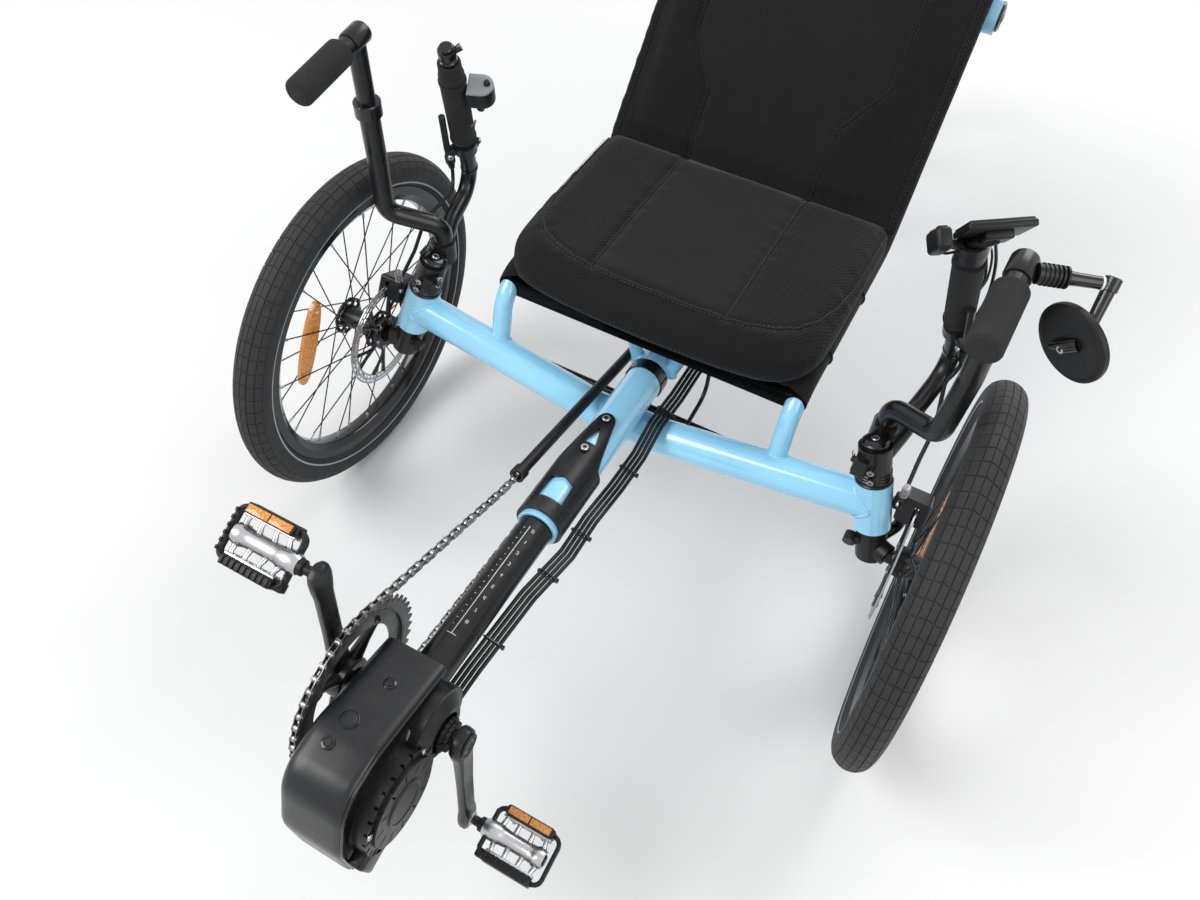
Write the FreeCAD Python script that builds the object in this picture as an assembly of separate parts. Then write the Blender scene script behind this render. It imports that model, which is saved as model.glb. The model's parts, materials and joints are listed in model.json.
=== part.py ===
"""Recumbent tadpole trike with an electric drive: two steered front wheels, one driven rear wheel.

Millimetres, +Z up. The front faces -Y and the rider's left is +X. While modelling, zero is the ground
point midway between the front wheels; `save` then moves every piece so that the origin lies on the
ground under the middle of the whole trike.
"""

import FreeCAD, Part
import math
import os

V = FreeCAD.Vector

# ---- driving dimensions --------------------------------------------------------------------------
TRACK = 844.0              # between the middles of the front tyres
WHEELBASE = 1000.0         # front axles to rear axle
ORIGIN_BACK = 305.0        # the trike's middle lies this far behind the front axles


# wheels, 20 inch
RIM_SEAT_R = 205.0         # where the tyre's bead sits
RIM_DEPTH = 18.0
RIM_WIDTH = 30.0
RIM_WALL = 3.0
RIM_WALL_HEIGHT = 6.0
TYRE_SECTION_R = 25.0
TYRE_SINK = 2.0            # how far the tyre's section reaches into the rim
RIM_INNER_R = RIM_SEAT_R - RIM_DEPTH
TYRE_OUTER_R = RIM_SEAT_R + 2 * TYRE_SECTION_R - TYRE_SINK
HUB_BARREL_R = 15.0
HUB_FLANGE_R = 28.0
HUB_FLANGE_THICK = 3.0
FRONT_FLANGE_OUT = 28.0    # flange face from the wheel's middle
SPOKE_R = 1.1
SPOKE_COUNT = 32
SPOKE_SWEEP = 48.0         # degrees between a spoke's ends, seen along the axle
SPOKE_CIRCLE_R = 24.0
AXLE_R = 6.0
BORE_CLEARANCE = 0.3
ROTOR_R = 80.0
ROTOR_THICK = 2.0
ROTOR_BAND = 15.0
ROTOR_INBOARD = 41.0       # rotor from the wheel's middle
ROTOR_ARMS = 6
REFLECTOR_SIZE = (9.0, 128.0, 28.0)
REFLECTOR_CORNER_R = 13.0
REFLECTOR_TO_RIM = 60.4    # from the reflector's middle out to the rim
REFLECTOR_ANGLE = {1: -28.0, -1: 152.0}    # degrees round the axle, from straight back

# the axles
AXLE_Z = TYRE_OUTER_R
AXLE = V(TRACK / 2, 0, AXLE_Z)         # middle of the left front wheel
REAR_AXLE = V(0, WHEELBASE, AXLE_Z)    # middle of the rear wheel


def by_wheel(place):
    """Point by the left front wheel: inwards of its middle, behind its axle and above its axle."""
    inwards, back, up = place
    return V(TRACK / 2 - inwards, back, AXLE_Z + up)


def above_axles(place):
    """Point from x, y and its height above the axles."""
    x, y, up = place
    return V(x, y, AXLE_Z + up)


# main tube and boom, on one sloping line
MAIN_R = 25.4
MAIN_WALL = 4.0
MAIN_FRONT_Y = -219.0
MAIN_TO_REAR_AXLE = 345.0
MAIN_REAR_Y = WHEELBASE - MAIN_TO_REAR_AXLE
MAIN_UP = 52.0             # centre line above the front axles
MAIN_HEIGHT = AXLE_Z + MAIN_UP
MAIN_RISE = 0.0834         # rise per mm forwards
BOOM_CLEARANCE = 0.4
BOOM_WALL = 3.0
BOOM_INSERTED = 160.0
SHELL_R = 21.0             # bottom bracket shell
SHELL_BORE_R = 17.0

# split clamp that holds the boom
CLAMP_FRONT_Y = -213.0
CLAMP_BACK_Y = -118.0
CLAMP_WALL = 5.0
CLAMP_GAP = 0.3
CLAMP_BOLTS_Y = (-103.0, -47.0)
TONGUE_TIP_R = 12.0
# outlines over the main tube, x and y
CLAMP_WINDOW = [(-17, -190), (17, -190), (15, -158), (0, -152), (-15, -158)]
TONGUE_EDGE = [(-27, -121), (27, -121), (22, -100), (12, -47), (-12, -47), (-22, -100)]
TONGUE_WINDOW = [(-9, -91), (9, -91), (0, -62)]

# cross tube and head tubes
CROSS_R = 24.0
CROSS_WALL = 3.0
CROSS_KNEE_AT = (46.0, 16.0, 16.0)
CROSS_KNEE = above_axles(CROSS_KNEE_AT)
KING_AT = (91.0, 21.0, 61.0)
KING = by_wheel(KING_AT)   # middle of the left head tube
KING_LEAN = 15.5           # degrees, top inwards
KING_CASTER = 11.0         # degrees, top backwards
HEAD_R = 23.0
HEAD_LENGTH = 70.0
STEERER_R = 14.3
STEERER_CLEARANCE = 0.3

# seat frame
RAIL_R = 12.7
RAIL_WALL = 2.0
RAIL_X = 203.0
# y and z of each turn of the rail, from its foot on the cross tube
RAIL_FOOT = (30.0, AXLE_Z + 47.0)
RAIL_KNEE = (44.0, AXLE_Z + 131.0)
RAIL_PAN_FRONT = (112.0, AXLE_Z + 146.0)
FOLD = (385.0, AXLE_Z + 132.0)      # where pan and back meet
PAN_LEG_FOOT_Y = 96.0
PAN_LEG_R = 9.0
BACK_LENGTH = 560.0
BACK_ANGLE = 50.0          # degrees above level
RAIL_BEND = 45.0
CROSS_BAR_R = 9.5
PAN_BAR_Y = 200.0
BACK_BARS = (120.0, 335.0, 540.0)  # up the back from the fold
CLAMP_ALONG_BACK = 335.0   # seat strut clamps, up the back from the fold
CLAMP_R = 25.0
CLAMP_WIDTH = 16.0

# cushions
SLING_THICK = 3.0
SLING_HALF = 216.0
SOFT_GAP = 0.5
PAN_PAD = (440.0, 318.0, 40.0)     # width, length, thickness
BACK_PAD = (446.0, 560.0, 30.0)
PAN_CORNER_R = 55.0
BACK_CORNER_R = 45.0

# rear triangle
STAY_R = 10.0
STAY_X = 68.0
STAY_KNEE_TO_AXLE = 255.0
STAY_KNEE_Y = WHEELBASE - STAY_KNEE_TO_AXLE
DROPOUT_THICK = 6.0
EYELET = (WHEELBASE + 24.0, AXLE_Z + 19.0)   # y, z of the rack eyelets in the dropouts
EYELET_R = 2.6
HUB_REAR_HALF = 62.0
STRUT_R = 9.5

# drive
BB_AHEAD = 480.0           # bottom bracket in front of the front axles
BB_UP = 95.0               # and above them
BB = V(0, -BB_AHEAD, AXLE_Z + BB_UP)
CRANK_AXLE = (-78.0, 72.0)
CRANK_AXLE_R = 12.0
CRANK_THICK = 15.0
SPIDER_ARMS = 5
SPIDER_X = -66.0
SPIDER_BOSS_R = 24.0
RING_HOLE_R = 52.0
RING_THICK = 4.0
CRANK_LENGTH = 165.0
CRANK_ANGLE = 264.5        # degrees of the left crank, from straight back over the top
Q_HALF = 87.5
CRANK_OFFSET = -3.5        # the cranks sit this far towards the chain side
PEDAL_LENGTH = 82.0
PEDAL_WIDTH = 62.0
PEDAL_TURN = {1: 8.0, -1: 27.0}
CHAIN_X_FRONT = -58.0
CHAIN_X_REAR = -43.0
CHAINRING_R = 93.0         # pitch circle
CHAIN_WIDTH = 7.0
CHAIN_HEIGHT = 8.5
CHAIN_TUBE_R = 7.2
CHAIN_TUBE_BORE = 5.9
IDLER = (190.0, AXLE_Z + 45.0)     # y, z
IDLER_R = 27.0
TUBE_BEND = (-141.0, AXLE_Z + 284.0)  # y, z of the bend's centre where the upper run enters its tube
TUBE_BEND_R = 200.0
CASSETTE_CHAIN_R = 45.0
GUIDE_PULLEY = (WHEELBASE + 12.0, AXLE_Z - 81.0)
TENSION_PULLEY = (WHEELBASE - 16.0, AXLE_Z - 137.0)
PULLEY_R = 18.0

# motor and its cover
MOTOR = (BB.y - 71.0, BB.z - 15.0)    # y, z of the motor's own axis
MOTOR_R = 55.0
MOTOR_FACE_X = 50.0
MOTOR_FINS = 24
COVER_WALL = 4.0
COVER_X = (-44.0, 28.0)
COVER_CORNER_R = 26.0
# from the bottom bracket, y and z: the cover's side outline over the top and down the front
COVER_LINE = [(42.0, 46.0), (-68.0, 71.0), (-120.0, 63.0), (-144.0, -10.0), (-138.0, -66.0)]
COVER_UNDER = [(-80.0, -86.0), (40.0, -48.0)]
COVER_MIDDLE = (-50.0, -13.0)
COVER_OPEN = [(-180.0, -148.0), (-80.0, -72.0), (-20.0, -30.0), (80.0, -18.0), (80.0, -148.0)]

# battery
BATTERY_ALONG = (95.0, 405.0)      # up the seat back from the fold
BATTERY_WIDTH = 100.0
BATTERY_DEPTH = 70.0
BATTERY_PLATE = (70.0, 5.6)        # width and thickness

# the electric drive's cables, run side by side: middle of the bundle at each turn
CABLE_R = 2.4
CABLE_PITCH = 5.4
CABLE_COUNT = 4
CABLE_ACROSS = V(0.957, 0, -0.287)
CABLE_ROUTE = [            # x, y and height above the axles
    (24.0, -465.0, 61.0),
    (24.0, -395.0, 53.0),
    (36.0, -298.0, 69.0),
    (43.0, -222.0, 53.0),
    (43.0, -165.0, 51.0),
    (45.0, -100.0, 39.0),
    (48.0, -45.0, 41.0),
    (48.0, 2.0, 54.0),
    (49.0, 64.0, 44.0),
    (48.0, 330.0, 29.0),
    (38.0, 424.0, 77.0),
    (24.0, 476.0, 163.0),
]
SEAT_CABLE_R = 2.8
SEAT_CABLE_ROUTE = [(74.0, 92.0, 155.0), (76.0, 104.0, 77.0), (76.0, 100.0, 29.0), (76.0, 34.0, 25.0)]

# steering bars, on the rider's left
BAR_R = 11.1
BAR_WALL = 2.0
BAR_BEND = 34.0
BAR_FOOT_AT = (88.0, 116.0, 144.0)
BAR_TURN_AT = (72.0, 196.0, 153.0)
BAR_TOP_AT = (102.0, 122.0, 393.0)
BAR_FOOT = by_wheel(BAR_FOOT_AT)
BAR_TURN = by_wheel(BAR_TURN_AT)
BAR_TOP = by_wheel(BAR_TOP_AT)
GRIP_R = 17.0
GRIP_LOW = 0.42            # grip start and end, as parts of the upright's length
GRIP_END = 0.88
LEVER_AT = 0.335           # brake lever, as a part of the upright's length
ASSIST_R = 12.7
ASSIST_UPPER_R = 11.1
ASSIST_COLLAR = 0.40       # where the collar sits, as a part of the upper run
ASSIST_BEND = 26.0
ASSIST_FOOT_AT = (111.0, 64.0, 143.0)
ASSIST_LINE_AT = [(113.0, 64.0, 183.0), (56.0, 22.0, 215.0), (51.0, 26.0, 307.0)]
T_JOINT_AT = (53.0, 18.0, 463.0)
T_GRIP_END_AT = (57.5, -90.0, 453.0)
ASSIST_FOOT = by_wheel(ASSIST_FOOT_AT)
ASSIST_LINE = [by_wheel(place) for place in ASSIST_LINE_AT]
T_JOINT = by_wheel(T_JOINT_AT)
T_GRIP_END = by_wheel(T_GRIP_END_AT)

# brakes
CALIPER_ANGLE = 62.0       # degrees from straight back, over the rotor
CALIPER_SIZE = (36.0, 42.0, 34.0)
HOSE_R = 2.6
HOSE_LINE_AT = [(70.0, 150.0, 167.0), (60.0, 92.0, 147.0), (62.0, 62.0, 119.0)]

# mirror and display
MIRROR_CENTRE_AT = (-14.5, 12.5, 407.5)
MIRROR_ELBOW_AT = (-23.0, 46.0, 458.0)
MIRROR_FOOT_AT = (-21.0, 8.0, 415.0)
MIRROR_CENTRE = by_wheel(MIRROR_CENTRE_AT)
MIRROR_ELBOW = by_wheel(MIRROR_ELBOW_AT)
MIRROR_FOOT = by_wheel(MIRROR_FOOT_AT)
MIRROR_NORMAL = V(0.577, 0.81, 0.10).normalize()
MIRROR_R = 40.0
DISPLAY_CENTRE_AT = (88.0, 122.0, 419.0)
REMOTE_CENTRE_AT = (131.0, 74.0, 419.0)
DISPLAY_CENTRE = by_wheel(DISPLAY_CENTRE_AT)
REMOTE_CENTRE = by_wheel(REMOTE_CENTRE_AT)
DISPLAY_SIZE = (68.0, 52.0, 11.0)
DISPLAY_ACROSS = V(0.86, 0.51, 0.1).normalize()
DISPLAY_NORMAL = V(-0.5, 0.62, 0.6)
REMOTE_SIZE = (16.0, 40.0, 24.0)

# tie rod
ARM_END_AT = (78.0, 66.0, -3.0)
ARM_END = by_wheel(ARM_END_AT)
ROD_R = 6.0
LUG_AT = (99.0, -6.0, 7.0)     # cable stop under the head tube
PIN_R = 4.0                # ball joint pins of the tie rod


# ---- helpers -------------------------------------------------------------------------------------
def direction(a, b):
    """Unit vector from a to b."""
    step = b - a
    return step.normalize()


def line(a, b):
    return Part.LineSegment(a, b).toShape()


def route(points, bend):
    """Open wire through the points: straight runs joined by tangent arcs of the given radius."""
    edges = []
    start = points[0]
    for before, corner, after in zip(points, points[1:], points[2:]):
        come = direction(before, corner)
        go = direction(corner, after)
        turn = come.getAngle(go)
        if turn < 0.005:
            continue
        reach = bend * math.tan(turn / 2)
        inward = (go - come).normalize()
        first = corner - come * reach
        last = corner + go * reach
        middle = corner + inward * (bend / math.cos(turn / 2) - bend)
        edges.append(line(start, first))
        edges.append(Part.Arc(first, middle, last).toShape())
        start = last
    edges.append(line(start, points[-1]))
    return Part.Wire(edges)


def rod(points, radius, bend=30.0):
    """Round bar bent through the points."""
    ring = Part.Circle(points[0], direction(points[0], points[1]), radius).toShape()
    return route(points, bend).makePipeShell([Part.Wire([ring])], True, False)


def pipe(points, radius, wall, bend=30.0):
    """Round tube with a wall, bent through the points."""
    return rod(points, radius, bend).cut(rod(points, radius - wall, bend))


def cylinder(a, b, radius):
    """Straight round bar from a to b."""
    return Part.makeCylinder(radius, (b - a).Length, a, direction(a, b))


def ring(a, b, outer, inner):
    return cylinder(a, b, outer).cut(cylinder(a, b, inner))


def box(centre, size):
    """Box by its centre and its x, y, z size."""
    corner = centre - V(*size) * 0.5
    return Part.makeBox(size[0], size[1], size[2], corner)


def turned_box(centre, size, axis, degrees):
    """Box turned about its own centre."""
    shape = box(centre, size)
    shape.rotate(centre, axis, degrees)
    return shape


def soft_edges(shape, radius):
    return shape.makeFillet(radius, shape.Edges)


def slab(outline, x_low, x_high):
    """Flat piece: a closed outline of (y, z) pairs, thick along X."""
    points = [V(x_low, y, z) for y, z in outline]
    face = Part.Face(Part.makePolygon(points + points[:1]))
    return face.extrude(V(x_high - x_low, 0, 0))


def hull_of_circles(circles, x_low, x_high):
    """Slab round two or more (y, z, radius) circles, joined by straight sides."""
    parts = []
    for y, z, radius in circles:
        parts.append(cylinder(V(x_low, y, z), V(x_high, y, z), radius))
    for (y0, z0, r0), (y1, z1, r1) in zip(circles, circles[1:]):
        span = math.hypot(y1 - y0, z1 - z0)
        lean = math.atan2(z1 - z0, y1 - y0)
        open_angle = math.acos((r0 - r1) / span)
        corners = []
        first = (y0, z0, r0)
        last = (y1, z1, r1)
        for side, (y, z, radius) in ((1, first), (1, last), (-1, last), (-1, first)):
            angle = lean + side * open_angle
            corners.append((y + radius * math.cos(angle), z + radius * math.sin(angle)))
        parts.append(slab(corners, x_low, x_high))
    return parts[0].multiFuse(parts[1:]).removeSplitter()


def join(parts):
    """One solid of touching or overlapping parts."""
    return parts[0].multiFuse(parts[1:])


def group(parts):
    """Several solids in one node."""
    return Part.makeCompound(parts)


def mirrored(shape):
    """The same piece for the rider's right."""
    return shape.mirror(V(0, 0, 0), V(1, 0, 0))


def save(name, shape):
    moved = shape.copy()
    moved.translate(V(0, -ORIGIN_BACK, 0))
    moved.exportStep("parts/" + name + ".step")


# ---- shared lines --------------------------------------------------------------------------------
def main_line(y):
    """Point of the main tube's centre line."""
    return V(0, y, MAIN_HEIGHT - MAIN_RISE * y)


def king_direction():
    """Up along the left kingpin."""
    lean = math.tan(math.radians(KING_LEAN))
    caster = math.tan(math.radians(KING_CASTER))
    return V(-lean, caster, 1).normalize()


def king_point(along):
    """Point of the left kingpin's axis, measured up from the middle of the head tube."""
    return KING + king_direction() * along


def back_direction():
    angle = math.radians(BACK_ANGLE)
    return V(0, math.cos(angle), math.sin(angle))


def back_point(x, along, out=0.0):
    """Point beside the seat back's rails: along is up from the fold, out is towards the rider."""
    angle = math.radians(BACK_ANGLE)
    normal = V(0, -math.sin(angle), math.cos(angle))
    return V(x, FOLD[0], FOLD[1]) + back_direction() * along + normal * out


# ---- frame ---------------------------------------------------------------------------------------
def main_tube():
    front = main_line(MAIN_FRONT_Y)
    rear = main_line(MAIN_REAR_Y)
    tube = ring(front, rear, MAIN_R, MAIN_R - MAIN_WALL)
    plug = cylinder(main_line(MAIN_REAR_Y - 6), rear, MAIN_R - MAIN_WALL)
    return join([tube, plug])


def cross_tube():
    """Kneed cross tube, notched under the main tube, with a head tube at each end."""
    knee_right = V(-CROSS_KNEE.x, CROSS_KNEE.y, CROSS_KNEE.z)
    king_right = V(-KING.x, KING.y, KING.z)
    up = king_direction()
    up_right = V(-up.x, up.y, up.z)
    half = HEAD_LENGTH / 2

    def spine(radius):
        middle = cylinder(knee_right, CROSS_KNEE, radius)
        knees = [Part.makeSphere(radius, CROSS_KNEE), Part.makeSphere(radius, knee_right)]
        arms = [cylinder(CROSS_KNEE, KING, radius), cylinder(knee_right, king_right, radius)]
        return join([middle] + knees + arms)

    heads = []
    bores = []
    for centre, axis in ((KING, up), (king_right, up_right)):
        heads.append(cylinder(centre - axis * half, centre + axis * half, HEAD_R))
        reach = axis * (half + 1)
        bores.append(cylinder(centre - reach, centre + reach, STEERER_R + STEERER_CLEARANCE))
    outer = join([spine(CROSS_R)] + heads)
    for centre, axis in ((KING, up), (king_right, up_right)):
        for side in (-1, 1):
            face = centre + axis * (side * half)
            outer = outer.cut(cylinder(face, face + axis * (side * 40), CROSS_R * 1.6))
    hollow = spine(CROSS_R - CROSS_WALL)
    for head in heads:
        hollow = hollow.cut(head)
    shell = outer.cut(hollow)
    for bore in bores:
        shell = shell.cut(bore)
    return shell.cut(cylinder(main_line(-200), main_line(200), MAIN_R)).Solids[0]


def rail_points(x):
    top = back_point(x, BACK_LENGTH)
    return [
        V(x, RAIL_FOOT[0], RAIL_FOOT[1]),
        V(x, RAIL_KNEE[0], RAIL_KNEE[1]),
        V(x, RAIL_PAN_FRONT[0], RAIL_PAN_FRONT[1]),
        V(x, FOLD[0], FOLD[1]),
        top,
    ]


def seat_rails():
    """Left and right seat rails, each one bent tube from the cross tube to the top of the back."""
    rails = []
    for side in (1, -1):
        outer = rod(rail_points(side * RAIL_X), RAIL_R, RAIL_BEND)
        inner = rod(rail_points(side * RAIL_X), RAIL_R - RAIL_WALL, RAIL_BEND)
        seat_of_weld = cylinder(
            V(side * CROSS_KNEE.x, CROSS_KNEE.y, CROSS_KNEE.z), V(side * KING.x, KING.y, KING.z), CROSS_R
        )
        rails.append(outer.cut(inner).cut(seat_of_weld))
    return group([max(rail.Solids, key=lambda s: s.Volume) for rail in rails])


def seat_cross_bars():
    """Bars between the seat rails: under the pan, at the fold, up the back and at the top."""
    bars = []
    reach = RAIL_X - RAIL_R
    for along in BACK_BARS:
        bars.append(cylinder(back_point(-reach, along), back_point(reach, along), CROSS_BAR_R))
    for y in [PAN_BAR_Y]:
        share = (y - RAIL_PAN_FRONT[0]) / (FOLD[0] - RAIL_PAN_FRONT[0])
        z = RAIL_PAN_FRONT[1] + (FOLD[1] - RAIL_PAN_FRONT[1]) * share
        bars.append(cylinder(V(-reach, y, z), V(reach, y, z), CROSS_BAR_R))
    y_front, z_front = RAIL_PAN_FRONT[0] - 4, RAIL_PAN_FRONT[1]
    front = [cylinder(V(-reach, y_front, z_front), V(reach, y_front, z_front), CROSS_BAR_R)]
    for side in (1, -1):
        foot = V(side * 24, PAN_LEG_FOOT_Y, RAIL_FOOT[1])
        leg = cylinder(foot, V(side * 56, y_front, z_front), PAN_LEG_R)
        front.append(leg.cut(cylinder(main_line(0), main_line(300), MAIN_R)))
    return [join(front)] + bars


def rear_stays():
    """Two chain stays from the main tube round the wheel, with dropouts."""
    pieces = []
    root = main_line(MAIN_REAR_Y - 20)
    axle = REAR_AXLE
    for side in (1, -1):
        points = [
            V(side * 18, root.y, root.z),
            V(side * 24, root.y + 30, root.z),
            V(side * STAY_X, STAY_KNEE_Y, root.z),
            V(side * (STAY_X + 2), WHEELBASE - 22, axle.z),
        ]
        tube = pipe(points, STAY_R, 2.0, 20.0)
        x_in = side * (HUB_REAR_HALF + 4)
        x_out = side * (HUB_REAR_HALF + 4 + DROPOUT_THICK)
        low, high = sorted((x_in, x_out))
        socket = (WHEELBASE - 32, axle.z, 11)
        strut_eye = (WHEELBASE - 8, axle.z + 26, 10)
        plate = hull_of_circles([socket, (WHEELBASE, axle.z, 18), strut_eye], low, high)
        tab = hull_of_circles([(WHEELBASE, axle.z, 16), (EYELET[0], EYELET[1], 8)], low, high)
        slot = cylinder(V(low - 1, axle.y, axle.z), V(high + 1, axle.y, axle.z), AXLE_R + BORE_CLEARANCE)
        eyelet = cylinder(V(low - 1, *EYELET), V(high + 1, *EYELET), EYELET_R)
        pieces.append((tube, join([plate, tab]).cut(slot).cut(eyelet)))
    main_outer = cylinder(main_line(300), main_line(MAIN_REAR_Y), MAIN_R)
    solids = []
    for tube, plate in pieces:
        stay = tube.cut(main_outer).Solids
        stay = max(stay, key=lambda s: s.Volume)
        solids.append(join([stay, plate]))
    return group(solids)


def seat_struts():
    """Struts from the clamps on the seat back down to the dropouts."""
    struts = []
    axle = REAR_AXLE
    face = HUB_REAR_HALF + 4 + DROPOUT_THICK
    for side in (1, -1):
        top = back_point(side * (RAIL_X + RAIL_R + STRUT_R + 1), CLAMP_ALONG_BACK, -12)
        foot = V(side * (face + 4), axle.y - 8, axle.z + 26)
        tube = cylinder(top, foot, STRUT_R)
        knob = cylinder(
            back_point(side * (RAIL_X + RAIL_R + 0.3), CLAMP_ALONG_BACK, -12),
            back_point(side * (RAIL_X + RAIL_R + CLAMP_WIDTH), CLAMP_ALONG_BACK, -12),
            CLAMP_R,
        )
        low, high = sorted((side * face, side * (face + 8)))
        foot_eye = cylinder(V(low, foot.y, foot.z), V(high, foot.y, foot.z), 10)
        below = box(V(0, axle.y - 20, axle.z), (2 * face, 200, 200))
        struts.append(join([tube, knob, foot_eye]).cut(below))
    return group(struts)


# ---- boom, motor and drive ------------------------------------------------------------------------
def boom():
    radius = MAIN_R - MAIN_WALL - BOOM_CLEARANCE
    rear = main_line(MAIN_FRONT_Y + BOOM_INSERTED)
    front = main_line(BB.y + 46)
    tube = ring(front, rear, radius, radius - BOOM_WALL)
    shell = cylinder(V(-34, BB.y, BB.z), V(34, BB.y, BB.z), SHELL_R)
    neck = cylinder(main_line(BB.y), main_line(BB.y + 60), radius)
    bore = cylinder(V(-40, BB.y, BB.z), V(40, BB.y, BB.z), SHELL_BORE_R)
    return join([tube, neck, shell]).cut(bore)


def upright_prism(outline):
    """Prism standing on the main tube's middle height, from an outline of x and y."""
    corners = [V(x, y, MAIN_HEIGHT) for x, y in outline]
    return Part.Face(Part.makePolygon(corners + corners[:1])).extrude(V(0, 0, 60))


def boom_clamp():
    """Split collar round the front of the main tube, with a tongue that tapers back to its bolt."""
    outer_r = MAIN_R + CLAMP_WALL
    collar = ring(main_line(CLAMP_FRONT_Y), main_line(CLAMP_BACK_Y), outer_r, MAIN_R + CLAMP_GAP)
    window = upright_prism(CLAMP_WINDOW)
    sheath = ring(main_line(CLAMP_BACK_Y - 1), main_line(-30), outer_r, MAIN_R + CLAMP_GAP)
    tip_y = CLAMP_BOLTS_Y[1]
    taper = upright_prism(TONGUE_EDGE)
    tip = cylinder(V(0, tip_y, MAIN_HEIGHT), V(0, tip_y, MAIN_HEIGHT + 60), TONGUE_TIP_R)
    tongue = sheath.common(join([taper, tip])).cut(upright_prism(TONGUE_WINDOW))
    bolts = []
    for y in CLAMP_BOLTS_Y:
        top = main_line(y) + V(0, 0, MAIN_R + 3)
        bolts.append(cylinder(top, top + V(0, 0.3, 5), 6))
    return join([collar.cut(window), tongue] + bolts)


def from_bracket(x, back, up):
    """Point from x and its place behind and above the bottom bracket."""
    return V(x, BB.y + back, BB.z + up)


def cover_slab(inset, x_low, x_high):
    """Solid under the cover's outline, moved in by inset."""
    points = [from_bracket(x_low, *place) for place in COVER_LINE]
    curve = route(points, COVER_CORNER_R)
    under = [from_bracket(x_low, *place) for place in COVER_UNDER]
    close = [points[-1]] + under + [points[0]]
    edges = curve.Edges + [line(a, b) for a, b in zip(close, close[1:])]
    solid = Part.Face(Part.Wire(edges)).extrude(V(x_high - x_low, 0, 0))
    if inset:
        middle = from_bracket(x_low, *COVER_MIDDLE)
        scale = 1 - inset / 82.0
        matrix = FreeCAD.Matrix()
        matrix.scale(V(1, scale, scale))
        solid.translate(middle * -1)
        solid = solid.transformGeometry(matrix)
        solid.translate(middle)
    return solid


def motor_cover():
    """Smooth hood over the top and front of the motor, open on its left, behind and below."""
    x_low, x_high = COVER_X
    outer = cover_slab(0.0, x_low, x_high)
    edge = [e for e in outer.Edges if abs(e.CenterOfMass.x - x_low) < 0.1 and e.CenterOfMass.z > BB.z - 3]
    outer = outer.makeFillet(8, edge)
    hood = outer.cut(cover_slab(COVER_WALL, x_low + COVER_WALL, x_high + 1))
    below = [(BB.y + back, BB.z + up) for back, up in COVER_OPEN]
    away = slab(below, x_low - 1, x_high + 1)
    hood = hood.cut(away).cut(boom())
    hood = hood.cut(cylinder(V(-60, BB.y, BB.z), V(-20, BB.y, BB.z), 27))
    return max(hood.Solids, key=lambda s: s.Volume)


def motor():
    """Gear case round the bottom bracket with the drum-shaped motor in front of it, left side."""
    y, z = MOTOR
    case = hull_of_circles([(BB.y, BB.z, 44), (y, z, 58)], -30, 30)
    round_bb = cylinder(V(30, BB.y, BB.z), V(42, BB.y, BB.z), 44)
    nose = Part.makeCone(40, 27, 8, V(42, BB.y, BB.z), V(1, 0, 0))
    drum = cylinder(V(30, y, z), V(MOTOR_FACE_X - 4, y, z), MOTOR_R)
    cap = cylinder(V(30, y, z), V(MOTOR_FACE_X, y, z), MOTOR_R - 9)
    body = join([case, round_bb, nose, drum, cap])
    fins = []
    for n in range(MOTOR_FINS):
        slot = box(V(MOTOR_FACE_X - 2, y, z + MOTOR_R - 2), (12, 3.2, 8))
        slot.rotate(V(0, y, z), V(1, 0, 0), n * 360.0 / MOTOR_FINS)
        fins.append(slot)
    for slot in fins:
        body = body.cut(slot)
    shell = cylinder(V(-40, BB.y, BB.z), V(60, BB.y, BB.z), 22)
    neck = cylinder(main_line(BB.y), main_line(BB.y + 60), MAIN_R - MAIN_WALL + 0.2)
    hood_room = cover_slab(COVER_WALL + 0.4, COVER_X[0] + COVER_WALL + 0.4, 30)
    inside = body.cut(shell).cut(neck).cut(boom())
    covered = inside.common(hood_room)
    left_side = inside.common(Part.makeBox(40, 400, 400, from_bracket(COVER_X[1] + 0.3, -220, -198)))
    core = join([covered, left_side])
    return max(core.Solids, key=lambda s: s.Volume)


def crank_end(side):
    """Middle of the pedal axle's inner end."""
    a = math.radians(CRANK_ANGLE + (0 if side > 0 else 180))
    x = side * Q_HALF + CRANK_OFFSET
    return V(x, BB.y + CRANK_LENGTH * math.cos(a), BB.z + CRANK_LENGTH * math.sin(a))


def cranks():
    """Axle, both arms, and the spider that carries the chainring."""
    right, left = CRANK_AXLE
    parts = [cylinder(V(right, BB.y, BB.z), V(left, BB.y, BB.z), CRANK_AXLE_R)]
    for side in (1, -1):
        end = crank_end(side)
        low, high = sorted((end.x, end.x - side * CRANK_THICK))
        parts.append(hull_of_circles([(BB.y, BB.z, 19), (end.y, end.z, 14)], low, high))
    spider = []
    for n in range(SPIDER_ARMS):
        arm = box(V(SPIDER_X, BB.y, BB.z + 33), (5, 14, 66))
        arm.rotate(V(SPIDER_X, BB.y, BB.z), V(1, 0, 0), n * 360 / SPIDER_ARMS + 20)
        spider.append(arm)
    boss = cylinder(V(right, BB.y, BB.z), V(right + 18, BB.y, BB.z), SPIDER_BOSS_R)
    body = join(parts + spider + [boss])
    for side in (1, -1):
        end = crank_end(side)
        body = body.cut(cylinder(end - V(30, 0, 0), end + V(30, 0, 0), 7 + BORE_CLEARANCE))
    return body


def chainring():
    """Toothed ring on the spider."""
    x0 = CHAIN_X_FRONT - RING_THICK / 2
    x1 = CHAIN_X_FRONT + RING_THICK / 2
    disc = cylinder(V(x0, BB.y, BB.z), V(x1, BB.y, BB.z), CHAINRING_R - 6)
    hole = cylinder(V(x0 - 1, BB.y, BB.z), V(x1 + 1, BB.y, BB.z), RING_HOLE_R)
    return disc.cut(hole)


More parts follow.
